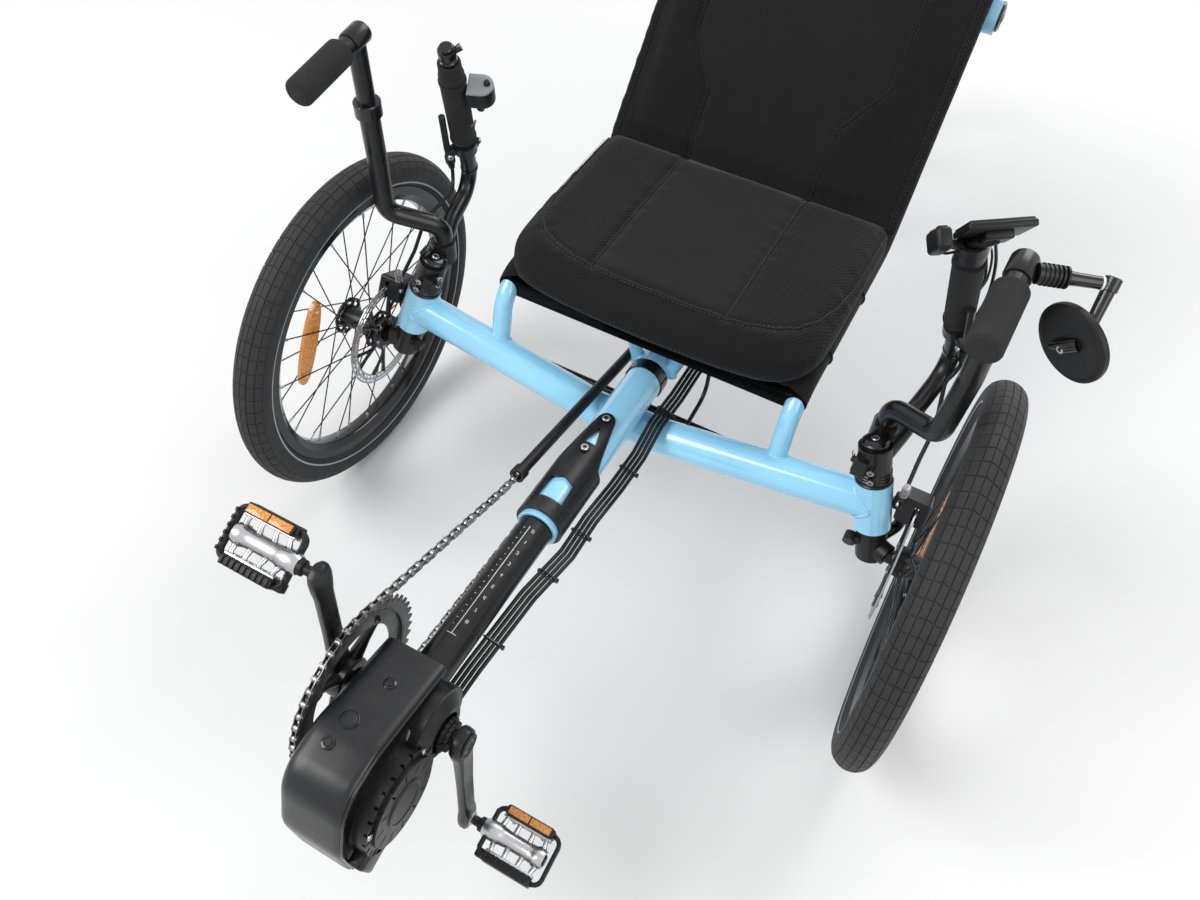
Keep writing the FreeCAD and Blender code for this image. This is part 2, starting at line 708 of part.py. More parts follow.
def chain_circles():
    """Circles that the chain runs round, in its order: y, z, x, radius and turn."""
    return [
        (BB.y, BB.z, CHAIN_X_FRONT, CHAINRING_R, -1),
        (TUBE_BEND[0], TUBE_BEND[1], -52.0, TUBE_BEND_R, 1),
        (IDLER[0], IDLER[1], CHAIN_X_REAR, IDLER_R, 1),
        (WHEELBASE, TYRE_OUTER_R, CHAIN_X_REAR, CASSETTE_CHAIN_R, -1),
        (GUIDE_PULLEY[0], GUIDE_PULLEY[1], CHAIN_X_REAR, PULLEY_R, 1),
        (TENSION_PULLEY[0], TENSION_PULLEY[1], CHAIN_X_REAR, PULLEY_R, -1),
    ]


def tangent(first, second):
    """End points and angle of the straight run that leaves one circle and meets the next."""
    y0, z0, x0, r0, turn0 = first
    y1, z1, x1, r1, turn1 = second
    span = math.hypot(y1 - y0, z1 - z0)
    angle = math.atan2(z1 - z0, y1 - y0) - math.asin((turn1 * r1 - turn0 * r0) / span)
    normal = (-math.sin(angle), math.cos(angle))
    leave = V(x0, y0 - turn0 * r0 * normal[0], z0 - turn0 * r0 * normal[1])
    meet = V(x1, y1 - turn1 * r1 * normal[0], z1 - turn1 * r1 * normal[1])
    return leave, meet, angle


def chain_runs():
    """Straight runs of the chain: ends and angle."""
    circles = chain_circles()
    return [tangent(a, b) for a, b in zip(circles, circles[1:] + circles[:1])]


def chain_section(point, angle):
    """Cross-section of the chain at a point, square to its direction as seen from the side."""
    normal = V(0, -math.sin(angle), math.cos(angle))
    corners = []
    for s, u in ((-1, -1), (1, -1), (1, 1), (-1, 1)):
        corners.append(point + V(s * CHAIN_WIDTH / 2, 0, 0) + normal * (u * CHAIN_HEIGHT / 2))
    return Part.Face(Part.makePolygon(corners + corners[:1]))


def chain():
    """Closed chain: straight runs, and an arc round each circle."""
    circles = chain_circles()
    runs = chain_runs()
    parts = []
    for leave, meet, angle in runs:
        parts.append(chain_section(leave, angle).extrude(meet - leave))
    for index, (y, z, x, radius, turn) in enumerate(circles):
        arrive = runs[index - 1]
        leave = runs[index]
        swing = math.degrees(leave[2] - arrive[2])
        while turn * swing < 0:
            swing += turn * 360
        while turn * swing > 360:
            swing -= turn * 360
        parts.append(chain_section(arrive[1], arrive[2]).revolve(V(x, y, z), V(1, 0, 0), swing))
    return join(parts).removeSplitter()


def chain_tubes():
    """Plastic tubes round the upper and lower chain runs, each with a flared front end."""
    runs = chain_runs()
    upper_a, upper_b, _ = runs[1]
    lower_b, lower_a, _ = runs[5]
    tubes = []
    lower = (lower_a + (lower_b - lower_a) * 0.28, lower_a + (lower_b - lower_a) * 0.74)
    for a, b in ((upper_a, upper_b + (upper_a - upper_b) * 0.08), lower):
        along = direction(a, b)
        body = cylinder(a + along * 2, b, CHAIN_TUBE_R)
        flare = cylinder(a + along * 2, a + along * 14, CHAIN_TUBE_R + 2.5)
        bore = cylinder(a - along * 5, b + along * 5, CHAIN_TUBE_BORE)
        tubes.append(join([body, flare]).cut(bore))
    return group(tubes)


def idler():
    """Chain idler on a bolt from the main tube's side, with a guard plate."""
    y, z = IDLER
    x = CHAIN_X_REAR
    wheel = cylinder(V(x - 3, y, z), V(x + 3, y, z), IDLER_R - CHAIN_HEIGHT / 2 - 0.2)
    guard = cylinder(V(x - 7, y, z), V(x - 5, y, z), IDLER_R + 5)
    bolt = cylinder(V(x - 11, y, z), V(-20, y, z), 6)
    spacer = cylinder(V(x + 3, y, z), V(-20, y, z), 10)
    body = join([wheel, guard, bolt, spacer])
    return body.cut(cylinder(main_line(0), main_line(400), MAIN_R))


def derailleur():
    """Hanger, body, cage and two pulleys."""
    x = CHAIN_X_REAR
    upper_c = V(x, *GUIDE_PULLEY)
    lower_c = V(x, *TENSION_PULLEY)
    x_drop = -(HUB_REAR_HALF + 4 + DROPOUT_THICK)
    bolt_y = WHEELBASE + 12
    bolt_z = TYRE_OUTER_R - 32
    hanger_line = [(WHEELBASE + 6, TYRE_OUTER_R - 14, 9), (bolt_y, bolt_z, 8)]
    hanger = hull_of_circles(hanger_line, x_drop - 4, x_drop)
    bolt = cylinder(V(x_drop - 8, bolt_y, bolt_z), V(x - 12, bolt_y, bolt_z), 6)
    body = hull_of_circles([(bolt_y, bolt_z, 12), (upper_c.y, upper_c.z, 11)], x - 20, x - 10)
    cage = hull_of_circles([(upper_c.y, upper_c.z, 9), (lower_c.y, lower_c.z, 9)], x - 10, x - 6)
    cage_in = hull_of_circles([(upper_c.y, upper_c.z, 9), (lower_c.y, lower_c.z, 9)], x + 6, x + 8)
    pulleys = []
    wheel_r = PULLEY_R - CHAIN_HEIGHT / 2 - 0.2
    for centre in (upper_c, lower_c):
        pulleys.append(cylinder(centre - V(3, 0, 0), centre + V(3, 0, 0), wheel_r))
        pulleys.append(cylinder(centre - V(9, 0, 0), centre + V(9, 0, 0), 4))
    return join([hanger, bolt, body, cage, cage_in] + pulleys)


def pedal(side):
    """Platform pedal: axle barrel, open cage and two reflectors, turned on its axle."""
    end = crank_end(side)
    inner = 15.0
    centre = V(end.x + side * (inner + PEDAL_LENGTH / 2), end.y, end.z)
    along = V(side, 0, 0)
    barrel = cylinder(end + along * 6, end + along * (inner + PEDAL_LENGTH - 8), 10)
    outer = box(centre, (PEDAL_LENGTH, PEDAL_WIDTH, 20))
    outer = outer.makeFillet(9, [e for e in outer.Edges if abs(e.tangentAt(e.FirstParameter).z) > 0.9])
    opening = box(centre, (PEDAL_LENGTH - 12, PEDAL_WIDTH - 14, 40))
    cage = outer.cut(opening)
    ribs = [box(centre + V(side * dx, 0, 0), (7, PEDAL_WIDTH - 10, 13)) for dx in (-28, 20)]
    lamps = [box(centre + V(0, front * (PEDAL_WIDTH / 2 + 1), 2), (52, 7, 18)) for front in (-1, 1)]
    body = join([barrel, cage] + ribs + lamps)
    body.rotate(end, V(1, 0, 0), PEDAL_TURN[side])
    pin = cylinder(end - along * 12, end + along * 20, 7)
    return join([body, pin])


def battery():
    """Battery pack on a mounting plate behind the seat back."""
    low, high = BATTERY_ALONG
    plate_width, plate_thick = BATTERY_PLATE
    middle = back_point(0, (low + high) / 2, -(CROSS_BAR_R + 5.4 + BATTERY_DEPTH / 2))
    pack = box(middle, (BATTERY_WIDTH, high - low, BATTERY_DEPTH))
    pack = soft_edges(pack, 8)
    pack.rotate(middle, V(1, 0, 0), BACK_ANGLE)
    plate_mid = back_point(0, (low + high) / 2, -(CROSS_BAR_R + 3))
    plate = box(plate_mid, (plate_width, high - low - 20, plate_thick))
    plate.rotate(plate_mid, V(1, 0, 0), BACK_ANGLE)
    return join([pack, plate])


def drive_cables():
    """Flat bundle from the motor along the boom, over the cross tube and under the seat to the battery."""
    strands = []
    for n in range(CABLE_COUNT):
        shift = CABLE_ACROSS * ((n - (CABLE_COUNT - 1) / 2) * CABLE_PITCH)
        strand = rod([above_axles(place) + shift for place in CABLE_ROUTE], CABLE_R, 24)
        strand = strand.cut(motor()).cut(battery())
        strands.append(max(strand.Solids, key=lambda s: s.Volume))
    return group(strands)


def seat_cable():
    """Cable from under the front of the seat down to the back of the cross tube."""
    arm = cylinder(CROSS_KNEE, KING, CROSS_R)
    cable = rod([above_axles(place) for place in SEAT_CABLE_ROUTE], SEAT_CABLE_R, 24).cut(arm)
    return max(cable.Solids, key=lambda s: s.Volume)


def spoke_reflector(side):
    """Reflector held between two spokes, seen from outside: middle and slant in the wheel's plane."""
    centre = AXLE + wheel_point(-4, RIM_INNER_R - REFLECTOR_TO_RIM, math.radians(REFLECTOR_ANGLE[side]))
    plate = box(centre, REFLECTOR_SIZE)
    ends = [e for e in plate.Edges if abs(e.tangentAt(e.FirstParameter).x) > 0.9]
    plate = plate.makeFillet(REFLECTOR_CORNER_R, ends)
    plate.rotate(centre, V(1, 0, 0), REFLECTOR_ANGLE[side] + 90)
    return plate.cut(front_hub(AXLE))


# ---- seat ----------------------------------------------------------------------------------------
def pan_angle():
    """Slope of the pan in degrees, falling to the rear."""
    return math.degrees(math.atan2(FOLD[1] - RAIL_PAN_FRONT[1], FOLD[0] - RAIL_PAN_FRONT[0]))


def pan_point(x, along, out):
    """Point over the pan rails: along is forwards from the fold, out is upwards."""
    a = math.radians(pan_angle())
    forward = V(0, -math.cos(a), -math.sin(a))
    normal = V(0, -math.sin(a), math.cos(a))
    return V(x, FOLD[0], FOLD[1]) + forward * along + normal * out


def seat_line(out, front, top):
    """Side line of the seat at a height over the rails' axes, bent at the fold like the rails."""
    meet = out * math.tan(math.radians((BACK_ANGLE - pan_angle()) / 2))
    points = [pan_point(0, front, out), pan_point(0, meet, out), back_point(0, top, out)]
    return points, RAIL_BEND - out


def seat_layer(low, high, half_width, front, top):
    """Bent layer of the seat between two heights over the rails' axes."""
    under = route(*seat_line(low, front, top))
    over = route(*seat_line(high, front, top))
    ends = []
    for index in (0, -1):
        first = seat_line(low, front, top)[0][index]
        last = seat_line(high, front, top)[0][index]
        ends.append(line(first, last))
    edges = under.Edges + [ends[1]] + over.Edges + [ends[0]]
    face = Part.Face(Part.Wire(Part.__sortEdges__(edges)))
    face.translate(V(-half_width, 0, 0))
    return face.extrude(V(2 * half_width, 0, 0))


def seat_sling():
    """Thin mesh panel laid over the rails, pan and back in one."""
    low = RAIL_R + 0.3
    return seat_layer(low, low + SLING_THICK, SLING_HALF, 296.0, BACK_LENGTH - 4)


def upright_edges(shape):
    """Edges of a slab that run through its thickness."""
    return [e for e in shape.Edges if abs(e.tangentAt(e.FirstParameter).z) > 0.9]


def seat_pad():
    """Pan cushion: a slab with round front corners."""
    width, length, thick = PAN_PAD
    base = RAIL_R + 0.3 + SLING_THICK + SOFT_GAP
    shift = thick * math.tan(math.radians((BACK_ANGLE - pan_angle()) / 2))
    pad = Part.makeBox(width, length, thick, V(-width / 2, 0, 0))
    front = [e for e in upright_edges(pad) if e.CenterOfMass.y < 1]
    pad = pad.makeFillet(PAN_CORNER_R, front)
    top = [e for e in pad.Edges if e.CenterOfMass.z > thick - 0.5 and e.CenterOfMass.y < length - 1]
    pad = pad.makeFillet(13, top)
    origin = pan_point(0, length + base * math.tan(math.radians(27)) + shift * 0.5, base)
    pad.rotate(V(0, 0, 0), V(1, 0, 0), pan_angle())
    pad.translate(origin)
    pad = pad.cut(seat_back_space(base - SOFT_GAP)).cut(sling_room())
    return max(pad.Solids, key=lambda s: s.Volume)


def sling_room():
    """Sling with the soft parts' clearance added, for shaping the cushions to it."""
    top = RAIL_R + 0.3 + SLING_THICK + SOFT_GAP - 0.2
    return seat_layer(RAIL_R - 4, top, 300.0, 420.0, BACK_LENGTH + 90)


def seat_back_space(out):
    """Space taken by the back cushion and all behind it."""
    corners = [back_point(0, -200, out + BACK_PAD[2] + 1), back_point(0, 700, out + BACK_PAD[2] + 1)]
    corners += [back_point(0, 700, -200), back_point(0, -200, -200)]
    return slab([(p.y, p.z) for p in corners], -400, 400)


def back_pad():
    """Back cushion: a long slab with soft edges."""
    width, length, thick = BACK_PAD
    base = RAIL_R + 0.3 + SLING_THICK + SOFT_GAP
    pad = Part.makeBox(width, length, thick, V(-width / 2, 0, 0))
    corners = [e for e in upright_edges(pad) if e.CenterOfMass.y > length - 1]
    pad = pad.makeFillet(BACK_CORNER_R, corners)
    top = [e for e in pad.Edges if e.CenterOfMass.z > thick - 0.5 and e.CenterOfMass.y > 1]
    pad = pad.makeFillet(11, top)
    pad.rotate(V(0, 0, 0), V(1, 0, 0), BACK_ANGLE)
    pad.translate(back_point(0, base * 0.5 + 6, base))
    pan_space = [pan_point(0, 400, base - 0.2), pan_point(0, -100, base - 0.2)]
    pan_space += [pan_point(0, -100, -200), pan_point(0, 400, -200)]
    pad = pad.cut(slab([(p.y, p.z) for p in pan_space], -400, 400)).cut(sling_room())
    return max(pad.Solids, key=lambda s: s.Volume)


# ---- steering, built for the rider's left ---------------------------------------------------------
def knuckle():
    """Steerer, knuckle body, stub axle, steering arm and caliper mount."""
    half = HEAD_LENGTH / 2
    steerer = cylinder(king_point(-half - 4), king_point(82), STEERER_R)
    body = cylinder(king_point(-half - 48), king_point(-half - 1.5), 19)
    stub_root = king_point(-(KING.z - AXLE.z) / king_direction().z)
    boss = cylinder(stub_root, V(AXLE.x - 50, AXLE.y, AXLE.z), 14)
    axle = cylinder(V(AXLE.x - 52, AXLE.y, AXLE.z), V(AXLE.x + 40, AXLE.y, AXLE.z), AXLE_R)
    shoulder = cylinder(V(AXLE.x - 50, AXLE.y, AXLE.z), V(AXLE.x - 36, AXLE.y, AXLE.z), 9)
    arm_root = king_point(-half - 36)
    up = king_direction()
    arm = rod([arm_root, ARM_END - up * 17], 8)
    eye = cylinder(ARM_END - up * 25, ARM_END - up * 9, 10)
    pin = cylinder(ARM_END - up * 10, ARM_END + up * 11, PIN_R)
    lug_foot = by_wheel(LUG_AT)
    lug = cylinder(king_point(-half - 20), lug_foot, 7)
    lug_end = cylinder(lug_foot + V(0, -4, 0), lug_foot + V(0, 9, 2), 8)
    return join([steerer, body, boss, axle, shoulder, arm, eye, pin, lug, lug_end, caliper_mount()])


def caliper_mount():
    """Bracket from the knuckle out and up to the caliper, inboard of the rotor."""
    foot = king_point(-HEAD_LENGTH / 2 - 30)
    elbow = AXLE + V(-ROTOR_INBOARD - 12, 36, 15)
    return rod([foot, elbow, caliper_centre() - V(6, 0, 8)], 7, 14)


def caliper_centre():
    """Middle of the brake caliper, over the rotor's rear top."""
    a = math.radians(CALIPER_ANGLE)
    reach = ROTOR_R - 6
    return AXLE + V(-ROTOR_INBOARD - 4, reach * math.cos(a), reach * math.sin(a))


def caliper_arm():
    """End of the caliper's cable arm."""
    return caliper_centre() + V(-17, -14, 26)


def caliper():
    """Caliper block over the rotor, with its cable arm."""
    centre = caliper_centre()
    block = turned_box(centre, CALIPER_SIZE, V(1, 0, 0), -28)
    block = soft_edges(block, 4)
    rotor_x = AXLE.x - ROTOR_INBOARD
    rotor_at = V(rotor_x, AXLE.y, AXLE.z)
    slot = cylinder(rotor_at - V(3.2, 0, 0), rotor_at + V(3.2, 0, 0), ROTOR_R + 6)
    end = caliper_arm()
    root = centre + V(0, 2, 2)
    arm = hull_of_circles([(root.y, root.z, 9), (end.y, end.z, 6)], centre.x - 20, centre.x - 14)
    pivot = cylinder(root - V(23, 0, 0), root - V(10, 0, 0), 6)
    return join([block, arm, pivot]).cut(slot).cut(caliper_mount())


def stem():
    """Clamp block on the steerer, with a cap and pinch bolts in front and the bar socket behind."""
    half = HEAD_LENGTH / 2
    low = king_point(half + 1.5)
    high = king_point(86)
    body = cylinder(low, high, 20)
    cap = cylinder(high, king_point(91), 15)
    cap_bolt = cylinder(king_point(91), king_point(94), 5)
    socket = cylinder(king_point(66), bar_points()[1], 16)
    cut_short = socket.common(Part.makeSphere(56, king_point(66)))
    foot_clamp = cylinder(ASSIST_FOOT + V(0, 0, -16), ASSIST_FOOT + V(0, 0, 14), ASSIST_R + 4)
    neck = cylinder(king_point(74), ASSIST_FOOT, 12)
    bolts = []
    for along in (54, 68):
        root = king_point(along)
        bolts.append(cylinder(root + V(3, -16, 0), root + V(3, -24, -2), 4.5))
        bolts.append(cylinder(root + V(-18, -15, 0), root + V(-24, -15, 0), 4))
    ear = box(king_point(62) + V(-13, -15, 0), (16, 14, 27))
    body = join([body, cap, cap_bolt, cut_short, foot_clamp, neck, ear] + bolts)
    bore = cylinder(king_point(30), king_point(82.2), STEERER_R)
    body = body.cut(bore).cut(rod(bar_points(), BAR_R, BAR_BEND))
    return body.cut(rod(assist_points(), ASSIST_R, ASSIST_BEND)).Solids[0]


def bar_points():
    """Rear steering bar: back from the stem, then up to its end."""
    return [king_point(66) + V(0, 20, 0), BAR_FOOT, BAR_TURN, BAR_TOP]


def steer_bar():
    """Tube of the rear bar."""
    return pipe(bar_points(), BAR_R, BAR_WALL, BAR_BEND)


def bar_upright(part):
    """Point on the upright of the rear bar, part of the way from its bend to its end."""
    return BAR_TURN + (BAR_TOP - BAR_TURN) * part


def hand_grip():
    """Foam grip on the upright of the rear bar."""
    low = bar_upright(GRIP_LOW)
    high = bar_upright(GRIP_END)
    grip = cylinder(low, high, GRIP_R)
    grip = grip.makeFillet(4, grip.Edges[:1] + grip.Edges[2:3])
    return grip.cut(cylinder(low, high, BAR_R))


def assist_points():
    """Assist bar: up from the stem, out, and up to its T joint."""
    return [ASSIST_FOOT] + ASSIST_LINE + [T_JOINT]


def assist_bar():
    """Assist bar: bent lower tube, telescoping upper tube with a collar, and the tube on top."""
    points = assist_points()
    collar_at = points[-2] + (T_JOINT - points[-2]) * ASSIST_COLLAR
    along = direction(points[-2], T_JOINT)
    lower = rod(points[:-1] + [collar_at], ASSIST_R, ASSIST_BEND)
    upper = cylinder(collar_at - along * 4, T_JOINT, ASSIST_UPPER_R)
    collar = cylinder(collar_at - along * 9, collar_at + along * 9, ASSIST_R + 3.3)
    forward = direction(T_JOINT, T_GRIP_END)
    crossbar = cylinder(T_JOINT - forward * 14, T_GRIP_END - forward * 3, ASSIST_UPPER_R)
    return join([lower, upper, collar, crossbar])


def assist_grip():
    """Foam grip on the tube across the assist bar's top."""
    forward = direction(T_JOINT, T_GRIP_END)
    grip = cylinder(T_JOINT + forward * 26, T_GRIP_END, GRIP_R)
    return soft_edges(grip, 5).cut(cylinder(T_JOINT, T_GRIP_END - forward * 3, ASSIST_UPPER_R))


def upright_frame():
    """Directions of the rear bar's upright: along it, out and forward of it, and across both."""
    up = direction(bar_upright(0), BAR_TOP)
    out = V(0.62, -0.78, 0)
    out = (out - up * out.dot(up)).normalize()
    return up, out, up.cross(out)


def brake_lever():
    """Lever body clamped on the upright under the grip, with its blade along the grip."""
    mount = bar_upright(LEVER_AT)
    up, out, _ = upright_frame()
    clamp = ring(mount - up * 8, mount + up * 8, BAR_R + 5, BAR_R)
    hinge = mount + out * 24 - up * 4
    body = rod([mount + out * 14, hinge], 8)
    blade = rod([hinge - up * 16, hinge + up * 10 + out * 1, hinge + up * 78 - out * 1], 4.5, 18)
    screw = cylinder(mount - out * 20 + up * 2, mount - out * 12 + up * 2, 5)
    return join([clamp, body, blade, screw]).cut(cylinder(mount - up * 30, mount + up * 30, BAR_R))


def brake_hose():
    """Brake cable from the lever down the bar, then straight down to the caliper's arm."""
    mount = bar_upright(LEVER_AT)
    up, out, _ = upright_frame()
    points = [
        mount + out * 24 - up * 20,
        mount + out * 24 - up * 56,
    ]
    points += [by_wheel(place) for place in HOSE_LINE_AT]
    points.append(caliper_arm() + V(0, 3, 4))
    cable = rod(points, HOSE_R, 20).cut(brake_lever()).cut(caliper())
    return max(cable.Solids, key=lambda s: s.Volume)


def mirror():
    """Round mirror on an elbowed arm from the outer side of the T joint."""
    clamp = cylinder(T_JOINT + V(12, 6, 2), T_JOINT + V(34, 8, 4), 10)
    arm = rod([T_JOINT + V(14, 2, 0), MIRROR_ELBOW, MIRROR_FOOT], 6, 10)
    half = MIRROR_NORMAL * 4
    disc = cylinder(MIRROR_CENTRE - half, MIRROR_CENTRE + half, MIRROR_R)
    disc = disc.makeFillet(2, disc.Edges[:1])
    bracket = cylinder(MIRROR_FOOT, MIRROR_CENTRE - MIRROR_NORMAL * 2, 8)
    return join([clamp, arm, bracket, disc]).cut(assist_bar()).Solids[0]


def display():
    """Display plate on a bracket at the top of the left upright, with its remote."""
    top = BAR_TOP
    up = direction(BAR_TURN, BAR_TOP)
    bore = cylinder(top - up * 40, top + up * 20, BAR_R + 0.05)
    clamp = cylinder(top - up * 24, top + up * 4, BAR_R + 5).cut(bore)
    across = DISPLAY_ACROSS
    normal = (DISPLAY_NORMAL - across * DISPLAY_NORMAL.dot(across)).normalize()
    upward = normal.cross(across).normalize()
    if upward.z < 0:
        upward = upward * -1
    plate = oriented_box(DISPLAY_CENTRE, across, upward, normal, DISPLAY_SIZE)
    bracket = rod([top - up * 2, DISPLAY_CENTRE - normal * 5], 8)
    remote = oriented_box(REMOTE_CENTRE, across, upward, normal, REMOTE_SIZE)
    link = rod([top - up * 12 + V(-8, 0, 0), REMOTE_CENTRE], 5)
    body = join([clamp, plate, bracket, remote, link])
    return body.cut(cylinder(top - up * 40, top + up * 0.5, BAR_R + 0.05))


def oriented_box(centre, across, upward, normal, size):
    """Box by its centre, its three directions and its size along each."""
    corners = []
    for a, b in ((-1, -1), (1, -1), (1, 1), (-1, 1)):
        corner = centre + across * (a * size[0] / 2) + upward * (b * size[1] / 2)
        corners.append(corner - normal * (size[2] / 2))
    face = Part.Face(Part.makePolygon(corners + corners[:1]))
    return face.extrude(normal * size[2])


def shifter():
    """Bar-end shifter on top of the upright, built for the left: collar, body and thumb lever."""
    up, out, _ = upright_frame()
    top = BAR_TOP
    collar = cylinder(bar_upright(GRIP_END) + up * 0.3, top + up * 2, GRIP_R - 0.5)
    collar = collar.cut(cylinder(top - up * 60, top + up * 0.1, BAR_R))
    body = cylinder(top + up * 1, top + up * 24, 11.5)
    cap = cylinder(top + up * 23, top + up * 28, 9)
    lever = rod([top + up * 14 - out * 4, top + up * 20 - out * 17], 5)
    return join([collar, body, cap, lever])


def bell():
    """Rounded control box beside the grip, flat towards the grip, built for the left."""
    up, _, _ = upright_frame()
    side = V(-0.92, 0.39, 0)
    side = (side - up * side.dot(up)).normalize()
    middle = bar_upright(0.80) + side * 36
    drum = cylinder(middle - up * 15, middle + up * 15, 16)
    block = oriented_box(middle - side * 9, side, up.cross(side), up, (18, 32, 30))
    button = cylinder(middle + up * 14 + side * 6, middle + up * 22 + side * 9, 4)
    stalk = rod([middle - up * 12, middle - up * 34 - side * 6], 6)
    grip_room = cylinder(bar_upright(0.2), bar_upright(1.1), GRIP_R + 0.3)
    return join([drum, block, button, stalk]).cut(grip_room)


def tie_rod():
    """Rod between the steering arms: its eye turns on the left pin, its right end stops short."""
    left = ARM_END
    right = V(-ARM_END.x, ARM_END.y, ARM_END.z)
    up = king_direction()
    bar = cylinder(left - V(8, 0, 0), right + V(17, 0, 0), ROD_R)
    eye = cylinder(left - up * 7.5, left + up * 7.5, 12)
    hole = cylinder(left - up * 30, left + up * 30, PIN_R + BORE_CLEARANCE)
    return join([bar, eye]).cut(hole)


# ---- wheels --------------------------------------------------------------------------------------
def turned(profile, centre):
    """Solid of revolution about the axle: (x, radius) pairs."""
    points = [V(x, 0, r) for x, r in profile]
    face = Part.Face(Part.makePolygon(points + points[:1]))
    solid = face.revolve(V(0, 0, 0), V(1, 0, 0), 360)
    solid.translate(centre)
    return solid


def tyre(centre):
    """Round-section tyre seated on the rim."""
    middle = TYRE_OUTER_R - TYRE_SECTION_R
    section = Part.Face(Part.Wire([Part.Circle(V(0, 0, middle), V(0, 1, 0), TYRE_SECTION_R).toShape()]))
    ring_solid = section.revolve(V(0, 0, 0), V(1, 0, 0), 360)
    seat = cylinder(V(-RIM_WIDTH / 2 - 12, 0, 0), V(RIM_WIDTH / 2 + 12, 0, 0), RIM_SEAT_R)
    shape = ring_solid.cut(seat)
    well = ring(V(-11, 0, 0), V(11, 0, 0), RIM_SEAT_R + 16, RIM_SEAT_R - 1)
    shape = shape.cut(well)
    for side in (-1, 1):
        edge = side * RIM_WIDTH / 2
        inside, outside = V(edge - RIM_WALL / 2, 0, 0), V(edge + RIM_WALL / 2, 0, 0)
        wall = ring(inside, outside, RIM_SEAT_R + RIM_WALL_HEIGHT, RIM_SEAT_R - 1)
        shape = shape.cut(wall)
    shape.translate(centre)
    return shape.Solids[0]


def rim(centre):
    """Double-wall rim."""
    inner = RIM_WIDTH / 2 - RIM_WALL / 2
    outer = RIM_WIDTH / 2 + RIM_WALL / 2
    lip = RIM_SEAT_R + RIM_WALL_HEIGHT
    shoulder = RIM_SEAT_R - 8
    well = RIM_SEAT_R - 5
    profile = [
        (-inner, lip),
        (-outer, lip),
        (-outer, shoulder),
        (-8, RIM_INNER_R),
        (8, RIM_INNER_R),
        (outer, shoulder),
        (outer, lip),
        (inner, lip),
        (inner, RIM_SEAT_R),
        (11, RIM_SEAT_R),
        (9, well),
        (-9, well),
        (-11, RIM_SEAT_R),
        (-inner, RIM_SEAT_R),
    ]
    return turned(profile, centre)


def wheel_point(x, radius, angle):
    """Point of a wheel about the X axis."""
    return V(x, radius * math.cos(angle), radius * math.sin(angle))


def spokes(centre, flange_left, flange_right):
    """Crossed spokes from both flanges to the rim, stopping at its inner wall."""
    bars = []
    for n in range(SPOKE_COUNT):
        flange = flange_left if n % 2 else flange_right
        turn = SPOKE_SWEEP if (n // 2) % 2 else -SPOKE_SWEEP
        at_rim = math.radians(n * 360.0 / SPOKE_COUNT)
        at_hub = at_rim + math.radians(turn)
        outer = wheel_point(math.copysign(3, flange), RIM_INNER_R + 1, at_rim)
        inner = wheel_point(flange, SPOKE_CIRCLE_R, at_hub)
        bars.append(cylinder(inner, outer, SPOKE_R))
    shape = join(bars)
    shape.translate(centre)
    return shape.cut(rim(centre))


def front_hub(centre):
    """Hub shell, spokes and brake rotor of the left front wheel; the rotor is inboard."""
    f = FRONT_FLANGE_OUT
    bore = AXLE_R + BORE_CLEARANCE
    t = HUB_FLANGE_THICK
    profile = [
        (-f - 8, bore),
        (f + 6, bore),
        (f + 6, 11),
        (f, 12),
        (f, HUB_FLANGE_R),
        (f - t, HUB_FLANGE_R),
        (f - t, HUB_BARREL_R + 3),
        (f - 10, HUB_BARREL_R),
        (-f + 10, HUB_BARREL_R),
        (-f + t, HUB_BARREL_R + 3),
        (-f + t, HUB_FLANGE_R),
        (-f, HUB_FLANGE_R),
        (-f, 20),
        (-f - 8, 20),
    ]
    shell = turned(profile, centre)
    x0 = -ROTOR_INBOARD - ROTOR_THICK / 2
    rotor_parts = [
        ring(V(x0, 0, 0), V(x0 + ROTOR_THICK, 0, 0), ROTOR_R, ROTOR_R - ROTOR_BAND),
        ring(V(x0, 0, 0), V(x0 + ROTOR_THICK, 0, 0), 26, 12),
        ring(V(x0 + 0.5, 0, 0), V(-f - 7, 0, 0), 19, 12),
    ]
    for n in range(ROTOR_ARMS):
        arm = box(V(x0 + ROTOR_THICK / 2, 6, 45), (ROTOR_THICK, 9, 46))
        arm.rotate(V(0, 0, 0), V(1, 0, 0), n * 360.0 / ROTOR_ARMS)
        rotor_parts.append(arm)
    rotor = join(rotor_parts)
    rotor.translate(centre)
    return join([shell, rotor, spokes(centre, f - t / 2, -f + t / 2)])


def rear_hub(centre):
    """Rear hub shell, spokes and cassette, with its axle."""
    left, right = 34.0, -20.0
    t = HUB_FLANGE_THICK
    profile = [
        (-HUB_REAR_HALF, AXLE_R),
        (HUB_REAR_HALF, AXLE_R),
        (HUB_REAR_HALF, 11),
        (left + 12, 12),
        (left, 18),
        (left, HUB_FLANGE_R),
        (left - t, HUB_FLANGE_R),
        (left - t, HUB_BARREL_R + 3),
        (0, HUB_BARREL_R + 1),
        (right + t, HUB_BARREL_R + 3),
        (right + t, HUB_FLANGE_R),
        (right, HUB_FLANGE_R),
        (right, 17),
        (-HUB_REAR_HALF, 17),
    ]
    shell = turned(profile, centre)
    axle = cylinder(V(-HUB_REAR_HALF - 15, 0, 0), V(HUB_REAR_HALF + 15, 0, 0), AXLE_R)
    axle.translate(centre)
    cassette = []
    for n, radius in enumerate((68, 60, 53, 47, 40, 35, 31, 28)):
        x = -25.0 - n * 4.4
        cog = cylinder(V(x - 1, 0, 0), V(x + 1, 0, 0), radius - 8)
        cog.translate(centre)
        cassette.append(cog)
    return join([shell, axle] + cassette + [spokes(centre, left - t / 2, right + t / 2)])


